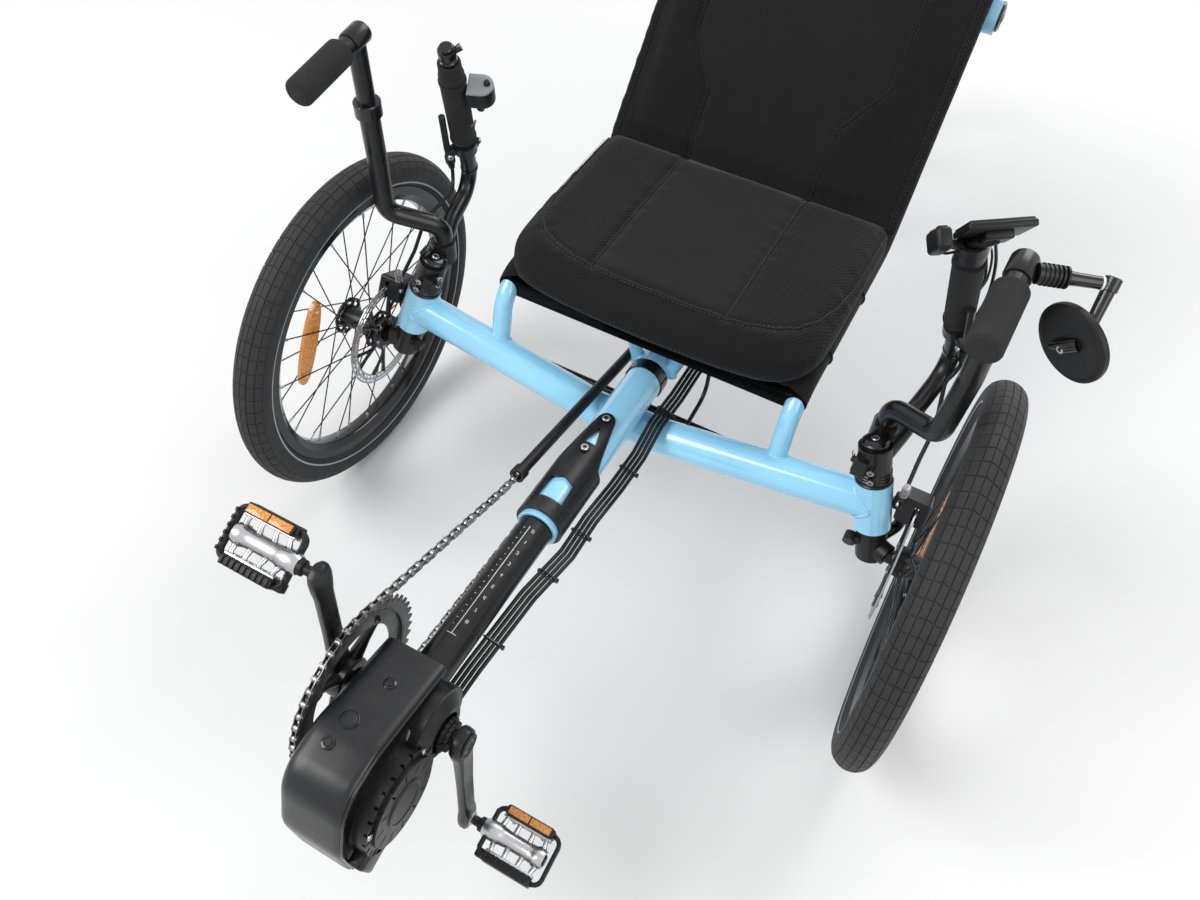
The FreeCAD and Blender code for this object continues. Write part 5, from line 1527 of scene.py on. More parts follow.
@dataclass
class Pedal:
    """Platform pedal: silver barrel and cage, black grip blocks, toothed end loops and an amber reflector."""

    side: Side
    finishes: Finishes
    long: float = 0.082
    gap: float = 0.015
    teeth: int = 6
    ribs: int = 9
    turn: float = 0.0

    def __post_init__(self) -> None:
        """Find the pedal's place and its directions."""
        angle = math.radians(self.turn)
        self.eye = Vector(joint(f"pedal_{self.side.value}_spin")["pos_m"])
        self.out = LEFTWARD * self.side.sign
        self.back = Vector((0, math.cos(angle), math.sin(angle)))
        self.up = Vector((0, -math.sin(angle), math.cos(angle)))
        self.axes = Matrix((self.out, self.back, self.up)).transposed()
        self.middle = self.eye + self.out * (self.gap + self.long / 2)

    def at(self, out: float, back: float, up: float) -> Vector:
        """Point out of, behind and above the pedal's middle, in metres."""
        return self.middle + self.out * out + self.back * back + self.up * up

    def barrel(self, shape: Shape) -> None:
        """Add the axle, its washer, the barrel and its end cap.

        Args:
            shape: what they are added to.
        """
        black, silver = self.finishes.pick("plastic", "alloy_silver")
        foot = self.eye + self.out * self.gap
        tail = self.long - 0.010
        shape.turned([(0.000, 0.0052), (0.006, 0.0052), (0.008, 0.0080), (self.gap - 0.002, 0.0084)],
                     self.eye, self.out, black, 28)
        shape.turned([(-0.002, 0.0090), (0.002, 0.0108), (0.018, 0.0112), (0.020, 0.0098), (0.028, 0.0092),
                      (0.052, 0.0092), (0.060, 0.0100), (0.062, 0.0112), (tail - 0.004, 0.0112),
                      (tail, 0.0100)], foot, self.out, silver, 36)
        shape.turned([(tail, 0.0066), (tail + 0.0016, 0.0060)], foot, self.out, black, 6)

    def cage(self, shape: Shape) -> None:
        """Add the silver webs and rails between the barrel and the grip blocks.

        Args:
            shape: what they are added to.
        """
        silver = self.finishes["alloy_silver"]
        web = ((1.0, 0.008, 0.0), (0.94, 0.016, 0.0035), (0.90, 0.0235, 0.0))
        for edge in (1, -1):
            for across in (-0.026, -0.009, 0.009, 0.026):
                path = [self.at(across * share, edge * back, up) for share, back, up in web]
                shape.tube(path, [0.0034, 0.0026, 0.0030], silver, 10)
            for up in (0.0055, -0.0055):
                shape.block(self.at(0, edge * 0.0198, up), (self.long * 0.70, 0.0032, 0.0036), silver,
                            self.axes, 0.0010)

    def grips(self, shape: Shape) -> None:
        """Add the black ribbed blocks along the long edges.

        Args:
            shape: what they are added to.
        """
        black, steel = self.finishes.pick("plastic", "steel")
        for edge in (1, -1):
            shape.block(self.at(0, edge * 0.0262, 0.0), (self.long * 0.72, 0.0096, 0.0185), black, self.axes,
                        0.0022)
            for n in range(self.ribs):
                rib = self.at((n - (self.ribs - 1) / 2) * self.long * 0.079, edge * 0.0262, -edge * 0.0098)
                shape.block(rib, (0.0032, 0.0088, 0.0024), black, self.axes, 0.0007)
            for across in (-0.018, 0.018):
                shape.socket_bolt(self.at(across, edge * 0.0200, -0.0094), -self.up, 0.0028, steel, black,
                                  0.0018)
        shape.block(self.at(-0.031, -0.0250, -0.004), (0.0150, 0.0100, 0.0120), black, self.axes, 0.0018)

    def lens(self, shape: Shape) -> None:
        """Add the reflector in its tray on top of the rear block.

        Args:
            shape: what they are added to.
        """
        tray, amber = self.finishes.pick("plastic", "amber")
        lean = self.axes @ Matrix.Rotation(math.radians(-14), 3, "X")
        shape.block(self.at(0, 0.0258, 0.0112), (self.long * 0.66, 0.0108, 0.0040), tray, lean, 0.0010)
        for s in (1, -1):
            shape.block(self.at(s * 0.0130, 0.0258, 0.0132), (0.0246, 0.0082, 0.0026), amber, lean, 0.0006)

    def loops(self, shape: Shape) -> None:
        """Add the open end plates with their teeth.

        Args:
            shape: what they are added to.
        """
        black = self.finishes["plastic"]
        for end, reach, start in ((1, 0.0385, 0.0255), (-1, 0.0370, 0.0270)):
            corners = ((start, -0.0280, 0.001), (reach, -0.0235, 0.002), (reach, 0.0235, 0.002),
                       (start, 0.0280, 0.001))
            path = bent([self.at(end * out, back, up) for out, back, up in corners], 0.009, 15.0)
            shape.tube(path, 0.0026, black, 12)
            shape.tube([p - self.up * 0.0065 for p in path], 0.0018, black, 10)
            for p in path[::2]:
                shape.rod(p - self.up * 0.0070, p, 0.0014, black, 8, 0.0002)
            for n in range(self.teeth):
                tooth = self.at(end * (reach + 0.0004), (n - (self.teeth - 1) / 2) * 0.0078, 0.0052)
                shape.block(tooth, (0.0030, 0.0040, 0.0036), black, self.axes, 0.0008)

    def build(self) -> None:
        """Build the pedal."""
        shape = Shape()
        self.barrel(shape)
        self.cage(shape)
        self.grips(shape)
        self.lens(shape)
        self.loops(shape)
        name = self.side.value
        shape.build(f"pedal_cage_{name}", f"pedal_body_{name}", "black_plastic", [f"pedal_{name}"])


# ---- seat ----------------------------------------------------------------------------------------
@dataclass
class SeatPlanes:
    """Pan and back of the seat as flat reference planes."""

    fold: tuple[float, float] = (385.0, 385.0)
    pan_lean: float = -2.94
    back_lean: float = 50.0
    rail_bend: float = 45.0

    def pan(self, across: float, forward: float, out: float) -> Vector:
        """Point from its place across, forwards from the fold and above the rails, in millimetres."""
        return self.leaning(across, -forward, out, self.pan_lean)

    def back(self, across: float, along: float, out: float) -> Vector:
        """Point from its place across, up the back from the fold and out of the rails, in millimetres."""
        return self.leaning(across, along, out, self.back_lean)

    def leaning(self, across: float, along: float, out: float, lean: float) -> Vector:
        """Point of a plane through the fold.

        Args:
            across: its place across, in millimetres.
            along: backwards along the plane.
            out: square to the plane, upwards.
            lean: the plane's lean, in degrees.

        Returns:
            The point.
        """
        c, s = math.cos(math.radians(lean)), math.sin(math.radians(lean))
        return spot(across, self.fold[0] + c * along - s * out, self.fold[1] + s * along + c * out)

    def fold_arc(self, across: float, share: float, out: float) -> Vector:
        """Point on the rails' bend.

        Args:
            across: its place across, in millimetres.
            share: its share of the way from back to pan.
            out: its distance out of the rails, in millimetres.

        Returns:
            The point.
        """
        tangent = self.rail_bend * math.tan(math.radians(self.back_lean - self.pan_lean) / 2)
        out_back, out_pan = self.back_axes().col[2], self.pan_axes().col[2]
        centre = self.back(across, tangent, self.rail_bend)
        return centre - out_back.slerp(out_pan, share) * ((self.rail_bend - out) * MM)

    def pan_axes(self) -> Matrix:
        """Columns across, forwards and up of the pan."""
        return self.axes_of(self.pan)

    def back_axes(self) -> Matrix:
        """Columns across, up the back and out of it."""
        return self.axes_of(self.back)

    @staticmethod
    def axes_of(plane: Callable[[float, float, float], Vector]) -> Matrix:
        """Columns of a plane's three directions."""
        return Matrix([(plane(*way) - plane(0, 0, 0)).normalized()
                       for way in Matrix.Identity(3)]).transposed()


@dataclass(frozen=True)
class Swelling:
    """How cloth simulation swells a cushion: pressure, stiffness, frames and how far a point may move."""

    voxel: float = 0.0085
    quick_voxel: float = 0.006
    pressure: float = 4.0
    cap: float = 0.008
    dent_share: float = 0.3
    level_share: float = 0.3
    frames: int = 20
    stiffness: float = 18.0
    shear: float = 8.0
    bending: float = 0.6
    mass: float = 0.25
    quality: int = 4

    def run(self, made: Piece) -> None:
        """Remesh a cushion, swell it and subdivide it once.

        Args:
            made: the cushion.
        """
        remesh = made.modifiers.new("remesh", "REMESH")
        remesh.mode = "VOXEL"
        remesh.voxel_size = self.voxel
        apply_modifiers(made)
        for _ in range(3):
            smooth_once(made.data)
        self.swell(made)
        made.modifiers.new("finer", "SUBSURF").levels = 1
        apply_modifiers(made)

    def swell(self, made: Piece) -> None:
        """Move the skin out by what the simulation gives, within the cap and about a common level.

        Args:
            made: the cushion, already remeshed.
        """
        mesh, scene = made.data, bpy.context.scene
        start = [v.co.copy() for v in mesh.vertices]
        outward = [v.normal.copy() for v in mesh.vertices]
        cloth = self.cloth(made)
        for number in range(1, self.frames + 1):
            scene.frame_set(number)
        swollen = made.evaluated_get(bpy.context.evaluated_depsgraph_get())
        places = [v.co.copy() for v in swollen.data.vertices]
        made.modifiers.remove(cloth)
        scene.frame_set(1)
        gains = [(after - before).dot(normal) for before, after, normal in zip(start, places, outward)]
        level = sorted(gains)[int(len(gains) * self.level_share)]
        for vertex, before, gain, normal in zip(mesh.vertices, start, gains, outward):
            vertex.co = before + normal * max(-self.dent_share * self.cap, min(self.cap, gain - level))
        smooth_once(mesh)

    def cloth(self, made: Piece) -> bpy.types.Modifier:
        """Add the cloth simulation and return it.

        Args:
            made: the cushion.

        Returns:
            The simulation's modifier.
        """
        cloth = made.modifiers.new("cloth", "CLOTH")
        settings = cloth.settings
        settings.quality = self.quality
        settings.mass = self.mass
        settings.tension_stiffness = self.stiffness
        settings.compression_stiffness = self.stiffness
        settings.shear_stiffness = self.shear
        settings.bending_stiffness = self.bending
        settings.use_pressure = True
        settings.uniform_pressure_force = self.pressure
        settings.effector_weights.gravity = 0.0
        cloth.point_cache.frame_start = 1
        cloth.point_cache.frame_end = self.frames
        return cloth


def smooth_once(mesh: Mesh) -> None:
    """Move every point half way towards the middle of its neighbours.

    Args:
        mesh: the mesh.
    """
    count = len(mesh.vertices)
    total = [Vector() for _ in range(count)]
    near = [0] * count
    for edge in mesh.edges:
        a, b = edge.vertices
        total[a] += mesh.vertices[b].co
        total[b] += mesh.vertices[a].co
        near[a] += 1
        near[b] += 1
    for vertex, sum_of, number in zip(mesh.vertices, total, near):
        if number:
            vertex.co = vertex.co.lerp(sum_of / number, 0.5)
    mesh.update()


def apply_modifiers(made: Piece) -> None:
    """Turn an object's modifiers into its mesh.

    Args:
        made: the object.
    """
    graph = bpy.context.evaluated_depsgraph_get()
    mesh = bpy.data.meshes.new_from_object(made.evaluated_get(graph))
    made.modifiers.clear()
    made.data = mesh


@dataclass(frozen=True)
class Seam:
    """A sewn line on a cushion: its run in the cushion's plan, its depth and its width."""

    run: tuple[tuple[float, float], ...]
    depth: float = 0.004
    width: float = 0.006

    def distance(self, u: float, v: float) -> tuple[float, float]:
        """Distance to the line in metres, and how far along it the nearest point is.

        Args:
            u: the place across the cushion.
            v: the place along it.

        Returns:
            The distance, and the way along the line, both in metres.
        """
        best, where, total = 1e9, 0.0, 0.0
        for (a, b), (c, d) in zip(self.run, self.run[1:]):
            span = math.hypot(c - a, d - b)
            share = max(0.0, min(1.0, ((u - a) * (c - a) + (v - b) * (d - b)) / max(1e-12, span * span)))
            away = math.hypot(u - a - (c - a) * share, v - b - (d - b) * share)
            if away < best:
                best, where = away, total + span * share
            total += span
        return best, where

    def places(self, step: float) -> list[tuple[float, float]]:
        """Places along the line, about a step apart.

        Args:
            step: the distance between two places, in metres.

        Returns:
            The places in the cushion's plan.
        """
        line = []
        for (a, b), (c, d) in zip(self.run, self.run[1:]):
            count = max(2, int(math.hypot(c - a, d - b) / step))
            line += [(a + (c - a) * k / count, b + (d - b) * k / count) for k in range(count)]
        return [*line, self.run[-1]]


# Waves of the pucker beside a seam: turns per metre, where they start and their share.
PUCKER = ((310.0, 0.0, 0.35), (187.0, 1.3, 0.35), (93.0, 0.4, 0.3))


@dataclass
class Cushion:
    """Padded cushion with seams, piping and an edge gusset."""

    name: str
    node: str
    axes: Matrix
    origin: Vector
    seams: Sequence[Seam]
    finishes: Finishes
    thick: float
    middle: Callable[[float, float], bool]
    form: Optional[Callable[[float, float, float], Point]] = None

    def __post_init__(self) -> None:
        """Find the direction out of the cushion."""
        self.up = Vector(self.axes.col[2])

    def plan(self, place: Vector) -> Vector:
        """Place in the cushion's own directions: across, along and up."""
        return self.axes.transposed() @ (place - self.origin)

    def build(self) -> None:
        """Build the cushion."""
        made = bpy.data.objects.new(self.name, frame["nodes"][self.node].data.copy())
        bpy.context.scene.collection.objects.link(made)
        Swelling().run(made)
        mesh = made.data
        if self.form is not None:
            for vertex in mesh.vertices:
                vertex.co = self.origin + self.axes @ Vector(self.form(*self.plan(vertex.co)))
            for _ in range(2):
                smooth_once(mesh)
        self.sew(mesh)
        mesh.materials.clear()
        for finish in self.finishes.pick("spacer", "brushed", "tape"):
            mesh.materials.append(finish)
        for face in mesh.polygons:
            u, v, _ = self.plan(face.center)
            face.use_smooth = True
            face.material_index = 1 if face.normal.dot(self.up) > 0.45 and self.middle(u, v) else 0
        settle(made, "frame", [self.node])
        self.piping(made)

    def press(self, place: Vector, up: float) -> float:
        """How deep the seams pull the cloth in at a place, with the pucker beside them.

        Args:
            place: the place.
            up: how far its normal points out of the cushion.

        Returns:
            The depth, in metres.
        """
        u, v, _ = self.plan(place)
        press = 0.0
        for seam in self.seams:
            away, along = seam.distance(u, v)
            if away < seam.width * 5 and up > 0.2:
                press += seam.depth * math.exp(-((away / seam.width) ** 2)) * min(1.0, (up - 0.2) * 2.5)
                ripple = sum(math.sin(along * turns + start) * share for turns, start, share in PUCKER)
                press += 0.0009 * ripple * math.exp(-(((away - seam.width * 1.6) / (seam.width * 1.6)) ** 2))
        return press

    def sew(self, mesh: Mesh) -> None:
        """Press the seams in and pucker the cloth beside them.

        Args:
            mesh: the cushion's mesh.
        """
        mesh.update()
        depths = [self.press(vertex.co, vertex.normal.dot(self.up)) for vertex in mesh.vertices]
        for vertex, depth in zip(mesh.vertices, depths):
            if depth:
                vertex.co -= vertex.normal * depth
        mesh.update()

    def piping(self, made: Piece) -> None:
        """Lay stitched piping in the seams.

        Args:
            made: the cushion.
        """
        tree = BVHTree.FromPolygons([v.co for v in made.data.vertices],
                                    [tuple(p.vertices) for p in made.data.polygons])
        shape = Shape()
        tape, thread = self.finishes.pick("tape", "thread")
        for seam in self.seams:
            hits = [tree.ray_cast(self.origin + self.axes @ Vector((u, v, self.thick + 0.05)), -self.up)[0]
                    for u, v in seam.places(0.006)]
            path = [hit + self.up * 0.0006 for hit in hits if hit is not None]
            shape.tube(path, 0.0016, tape, 8)
            for before, place, after in zip(path, path[1:], path[2:]):
                along = (after - before).normalized()
                across = along.cross(self.up).normalized()
                for s in (1, -1):
                    stitch = place + across * (s * 0.0034)
                    shape.tube([stitch - along * 0.0018, stitch + along * 0.0018], 0.00045, thread, 5)
        shape.build(f"{self.name}_piping", "frame", "seat_fabric")


@dataclass
class Seat:
    """Mesh sling with a pan cushion and a back cushion, in millimetres.

    The rails' middle lines lie at half on either side, and the cloth passes over them at the distance over.
    """

    finishes: Finishes
    planes: SeatPlanes = field(default_factory=SeatPlanes)
    half: float = 203.0
    over: float = 14.1
    thick: float = 0.9
    strap_r: float = 15.6
    inner_droop: float = 0.35
    cushion_lift: float = 16.5

    def build(self) -> None:
        """Build the sling and the cushions."""
        self.sling()
        self.hems()
        self.pan_cushion()
        self.back_cushion()

    def droop(self, along: float) -> float:
        """How far the front edge of the pan falls at a place along it, in millimetres."""
        return max(0.0, along - 296.0) ** 2 / 90.0

    def section(self) -> list[tuple[float, float]]:
        """Places across the sling and their heights over the rails, from edge to edge, in millimetres.

        Returns:
            The places and heights.
        """
        half, over = self.half, self.over
        wrap = [(half + over * math.sin(math.radians(t)), over * math.cos(math.radians(t)))
                for t in (158, 130, 100, 75, 50, 25)]
        flat = [(half, over), (half - 12, over - 0.4), (150.0, over - 1.8), (100.0, over - 2.6),
                (50.0, over - 3.0), (0.0, over - 3.2)]
        left = wrap + flat
        return [(-u, w) for u, w in left] + left[-2::-1]

    def sling(self) -> None:
        """Build the mesh sling, pan and back in one, wrapped over the rails."""
        shape = Shape()
        planes = self.planes
        stations = [(planes.back, v) for v in (552, 500, 440, 380, 320, 260, 200, 140, 90, 50, 28)]
        stations += [(planes.fold_arc, share) for share in (0.0, 0.25, 0.5, 0.75, 1.0)]
        stations += [(planes.pan, v) for v in (28, 50, 90, 130, 170, 220, 260, 285, 300, 312, 322, 330)]
        full = self.section()
        loops: list[list[Vector]] = []
        for place, v in stations:
            drop = self.droop(v) if place == planes.pan else 0.0
            falls = [drop * (self.inner_droop if abs(u) < self.half - 4 else 1.0) for u, _ in full]
            upper, lower = ([place(u, v, w - deep - fall) for (u, w), fall in zip(full, falls)]
                            for deep in (0.0, self.thick))
            loops.append(upper + lower[::-1])
        shape.rings(loops, self.finishes["brushed"])
        made = shape.build("sling_cloth", "frame", "seat_fabric", ["seat_sling"])

    def hems(self) -> None:
        """Build the sling's hems at both ends, its edge seams and the straps round the rails."""
        shape = Shape()
        tape, half, over = self.finishes["tape"], self.half, self.over
        pan, back = self.planes.pan, self.planes.back
        ends = range(-186, 187, 12)
        shape.tube([pan(u, 328.0, over - 1.6 - 11.3 * self.inner_droop) for u in ends], 0.0024, tape, 10)
        shape.tube([back(u, 549.0, over - 2.0) for u in ends], 0.0024, tape, 10)
        for s in (1, -1):
            seam = s * (half - 19)
            shape.tube([pan(seam, v, over + 0.1 - self.inner_droop * self.droop(v))
                        for v in range(20, 326, 9)], 0.0011, tape, 8)
            shape.tube([back(seam, v, over + 0.1) for v in range(30, 545, 9)], 0.0011, tape, 8)
            for v in (120, 250):
                strap = [pan(s * (half + self.strap_r * math.sin(t)), v, self.strap_r * math.cos(t))
                         for t in map(math.radians, range(-60, 250, 15))]
                shape.tube(strap, 0.0013, tape, 8)
        shape.build("sling_hems", "frame", "seat_fabric")

    def pan_cushion(self) -> None:
        """Build the pan cushion with its middle panel, side panels and front gusset."""
        panel, front = 0.092, 0.3165
        sides = [Seam(((s * panel, 0.012), (s * panel, 0.316)), 0.0040, 0.0050) for s in (1, -1)]
        half = ((0.060, front), (0.120, 0.312), (0.150, 0.302), (0.174, 0.287), (0.190, 0.264),
                (0.202, 0.220), (0.208, 0.168), (0.211, 0.02))
        edge = Seam((*((-u, v) for u, v in reversed(half)), *half), 0.0020, 0.0048)

        def form(u: float, v: float, w: float) -> Point:
            """Push the front out into a rounded gusset that leans forward at its foot.

            Args:
                u: place across.
                v: place along.
                w: place upwards.

            Returns:
                The new place.
            """
            share = max(0.0, (v - 0.20) / 0.11)
            low = 1.0 - max(0.0, min(1.0, w / 0.042))
            arc = max(0.0, 1.0 - (abs(u) / 0.215) ** 3.0)
            push = share * (0.010 * arc + (0.006 + 0.016 * arc) * low)
            side = 1.0 - 0.030 * max(0.0, (v - 0.14) / 0.17) ** 2 * (1.0 - low * 0.6)
            return u * side, v + push, w - 0.0025 * share

        Cushion("pan_cushion", "seat_pad", self.planes.pan_axes(), self.planes.pan(0, 0, self.cushion_lift),
                [*sides, edge], self.finishes, 0.040, lambda u, v: abs(u) < panel and v < front, form).build()

    def back_cushion(self) -> None:
        """Build the back cushion with its seams stepping out a third of the way up."""
        runs = ((0.092, 0.01), (0.096, 0.127), (0.141, 0.195), (0.144, 0.555))
        sides = [Seam(tuple((s * u, v) for u, v in runs), 0.0040, 0.0050) for s in (1, -1)]
        rim = [Seam(((s * 0.207, 0.02), (s * 0.207, 0.555)), 0.0018, 0.0050) for s in (1, -1)]

        def middle(u: float, v: float) -> bool:
            """Whether a place is on the middle panel.

            Args:
                u: place across.
                v: place along.

            Returns:
                Whether it is.
            """
            for (a, b), (c, d) in zip(runs, runs[1:]):
                if v <= d:
                    return abs(u) < a + (c - a) * max(0.0, v - b) / (d - b)
            return abs(u) < runs[-1][0]

        Cushion("back_cushion", "back_pad", self.planes.back_axes(),
                self.planes.back(0, 0, self.cushion_lift), sides + rim, self.finishes, 0.030, middle).build()


# ---- frame details -------------------------------------------------------------------------------
WELD_STEPS = 56
# Middle of the left kingpin's head tube, in millimetres, and the tangents of its lean and caster.
KINGPIN: Point = (331.0, 21.0, 314.0)
KINGPIN_LEAN, CASTER = math.tan(math.radians(15.5)), math.tan(math.radians(11.0))
# The main tube's height over the front axles' line, in millimetres, and its slope.
TUBE_HEIGHT, TUBE_SLOPE = 305.0, -0.0834


def tube_height(y: float) -> float:
    """Height of the main tube's and boom's middle line at a place along it, in millimetres."""
    return TUBE_HEIGHT + TUBE_SLOPE * y


def kingpin_way(side: Side) -> Vector:
    """Direction up a side's kingpin."""
    return Vector((-side.sign * KINGPIN_LEAN, CASTER, 1)).normalized()


@dataclass(frozen=True)
class Bar:
    """Straight round bar given by its ends and radius, in metres."""

    start: Vector
    end: Vector
    radius: float

    def axis_distance(self, place: Vector) -> float:
        """Distance of a place from the bar's middle line.

        Args:
            place: the place.

        Returns:
            The distance, in metres.
        """
        along = (self.end - self.start).normalized()
        step = place - self.start
        return (step - along * step.dot(along)).length


def weld(shape: Shape, branch: Bar, trunk: Bar, finish: Material, bead: float = 0.0021) -> None:
    """Add a weld bead where a branch tube meets a trunk tube.

    Args:
        shape: what it is added to.
        branch: the tube that ends on the other, starting inside it.
        trunk: the tube that it meets.
        finish: its finish.
        bead: the bead's radius.
    """
    along = (branch.end - branch.start).normalized()
    first, second = square_to(along)
    loop = []
    for angle in round_places(WELD_STEPS):
        offset = turn_to(first, second, angle) * branch.radius
        low, high = 0.0, (branch.end - branch.start).length
        for _ in range(24):
            middle = (low + high) / 2
            if trunk.axis_distance(branch.start + offset + along * middle) < trunk.radius:
                low = middle
            else:
                high = middle
        loop.append(branch.start + offset + along * low)
    radii = [bead * (1.0 + 0.16 * math.sin(k * 2.24)) for k in range(WELD_STEPS)]
    shape.tube(loop, radii, finish, 10, False, True)


@dataclass
class FrameDetails:
    """Weld beads, end plug, cable ties and the bolts of the frame."""

    finishes: Finishes
    main_r: float = 25.4
    cross_r: float = 24.0
    bundle: tuple[Point, ...] = ((24, -465, 314), (24, -395, 306), (36, -298, 322), (43, -222, 306),
                                 (43, -165, 304), (45, -100, 292), (48, -45, 294), (48, 2, 307),
                                 (49, 64, 297), (48, 330, 282))
    tie_places: tuple[float, ...] = (-360.0, -262.0, -190.0, -72.0, 30.0, 200.0)
    clamp_bolts: tuple[float, ...] = (-103.0, -47.0)

    def main_point(self, y: float, side: float = 0.0, up: float = 0.0) -> Vector:
        """Point on the main tube's line at a place along it, in millimetres."""
        return spot(side, y, tube_height(y) + up)

    def main_bar(self, start: float, end: float) -> Bar:
        """Part of the main tube between two places along it."""
        return Bar(self.main_point(start), self.main_point(end), self.main_r * MM)

    def welds(self) -> None:
        """Build the beads round the frame's joints."""
        shape = Shape()
        for side in Side:
            s = side.sign
            arm = Bar(side.at(46, 16, 269), side.at(*KINGPIN), self.cross_r * MM)
            along = (arm.end - arm.start).normalized()
            reach = kingpin_way(side) * 0.035
            head = Bar(arm.end - reach, arm.end + reach, 0.023)
            post = Bar(side.at(203, 30, 292), side.at(203, 44, 384), 0.0127)
            stay = Bar(self.main_point(635, s * 22, -4), self.main_point(700, s * 40, 0), 0.010)
            leg = Bar(side.at(24, 96, 300), side.at(56, 108, 399), 0.009)
            root = Bar(arm.start - along * 0.046, arm.end, arm.radius)
            for branch, trunk, bead in (
                    (Bar(arm.end, arm.start, arm.radius * 0.97), head, 0.0024), (post, arm, 0.0021),
                    (stay, self.main_bar(300, 655), 0.0016), (leg, self.main_bar(0, 300), 0.0016),
                    (root, self.main_bar(-150, 200), 0.0026)):
                weld(shape, branch, trunk, self.finishes["paint"], bead)
        shape.build("weld_beads", "frame", "frame_paint")

    def ties(self) -> None:
        """Build the tie round the main tube, the small ones on the cable bundle and the clamp's bolts."""
        shape = Shape()
        black, steel = self.finishes.pick("gloss_plastic", "steel")
        along = (self.main_point(100) - self.main_point(0)).normalized()
        shape.band((-0.009, 0.009), (0.0256, 0.0272), self.main_point(72), along, black, 56)
        across = Vector((0.957, 0, -0.287))
        for y in self.tie_places:
            middle, along = self.bundle_at(y)
            over = across.cross(along).normalized()
            loop = [middle + across * (0.0118 * flattened(math.cos(t), 0.5))
                    + over * (0.0033 * flattened(math.sin(t), 0.5)) for t in round_places(28)]
            shape.tube(loop, 0.0011, black, 8, False, True)
            shape.block(middle + across * 0.0126 + over * 0.002, (0.0042, 0.0050, 0.0042), black, None,
                        0.0008)
        for y in self.clamp_bolts:
            seat = self.main_point(y, 0, self.main_r + 6.0)
            shape.socket_bolt(seat, Vector((0, -TUBE_SLOPE, 1)), 0.0052, steel, black, 0.0034)
        shape.build("ties_and_bolts", "frame", "black_plastic")

    def bundle_at(self, y: float) -> tuple[Vector, Vector]:
        """Middle and direction of the cable bundle at a place along it, in millimetres.

        Args:
            y: the place along it, backwards.

        Returns:
            The middle and the direction.
        """
        for a, b in zip(self.bundle, self.bundle[1:]):
            if a[1] <= y <= b[1]:
                start, end = spot(*a), spot(*b)
                return start.lerp(end, (y - a[1]) / (b[1] - a[1])), (end - start).normalized()
        raise ValueError(f"the bundle does not reach {y}")

    def lip(self) -> None:
        """Build the light ring at the main tube's front."""
        shape = Shape()
        front = self.main_point(-219)
        along = (self.main_point(0) - front).normalized()
        profile = [(-0.0004, 0.0216), (-0.0008, 0.0225), (-0.0008, 0.0248), (0.0, 0.0257), (0.004, 0.0257),
                   (0.004, 0.0216)]
        shape.turned(profile, front, along, self.finishes["paint"], 64, True)
        shape.build("main_tube_lip", "frame", "frame_paint")

    def build(self) -> None:
        """Build the frame's details."""
        self.welds()
        self.ties()
        self.lip()


Stroke = tuple[tuple[float, float], ...]
# Strokes of the figures 0 to 9: across and up, on a field 2 wide and 3 high.
FIGURES: tuple[tuple[Stroke, ...], ...] = (
    (((0, 0), (2, 0), (2, 3), (0, 3), (0, 0)),),
    (((0.4, 2.4), (1.2, 3), (1.2, 0)),),
    (((0, 3), (2, 3), (2, 1.5), (0, 0), (2, 0)),),
    (((0, 3), (2, 3), (1, 1.7), (2, 1), (1.4, 0), (0, 0)),),
    (((1.5, 0), (1.5, 3), (0, 1), (2.1, 1)),),
    (((2, 3), (0, 3), (0, 1.7), (1.8, 1.5), (1.8, 0.2), (0, 0)),),
    (((1.8, 3), (0.2, 1.6), (0, 0), (2, 0), (2, 1.5), (0.2, 1.5)),),
    (((0, 3), (2, 3), (0.8, 0)),),
    (((0, 0), (2, 0), (2, 3), (0, 3), (0, 0)), ((0, 1.5), (2, 1.5))),
    (((0.2, 0), (1.9, 1.4), (2, 3), (0, 3), (0, 1.5), (1.9, 1.5)),),
)


@dataclass
class BoomScale:
    """White length scale on top of the boom, in millimetres."""

    finishes: Finishes
    boom_r: float = 21.2
    lift: float = 0.12
    first: float = -232.0
    last: float = -392.0
    step: float = 17.0
    figure_scale: float = 1.25

    def on_boom(self, y: float, round_it: float) -> Vector:
        """Point on the boom's skin from its place along it and round it from the top."""
        angle, radius = round_it / self.boom_r, self.boom_r + self.lift
        return spot(radius * math.sin(angle), y, tube_height(y) + radius * math.cos(angle))

    def build(self) -> None:
        """Build the line, its end mark, the dots and the numbers."""
        shape = Shape()
        ink = self.finishes["white_ink"]
        line = [self.on_boom(self.first + (self.last - self.first) * k / 30, 0.0) for k in range(31)]
        shape.tube(line, 0.00042, ink, 6)
        shape.tube([self.on_boom(self.last, r) for r in (-5.5, -2.5, 0.0, 2.5, 5.5)], 0.00045, ink, 6)
        marks = math.ceil((self.first - self.last - 12.0) / self.step)
        for number in range(marks):
            y = self.first - 4.0 - number * self.step
            for stroke in FIGURES[number % 10]:
                scale = self.figure_scale
                points = [self.on_boom(y + 1.5 - v * scale, 5.0 + u * scale) for u, v in stroke]
                shape.tube(points, 0.00036, ink, 6)
            for place, end in ((y, -6.6), (y - self.step / 2, -5.6)):
                shape.tube([self.on_boom(place, -4.6), self.on_boom(place, end)], 0.00034, ink, 6)
        shape.build("boom_scale", "frame", "black_paint")


def side_view(x: float, places: Iterable[tuple[float, float]]) -> list[Vector]:
    """Points of one plane square to the crosswise direction, in millimetres."""
    return [spot(x, y, z) for y, z in places]


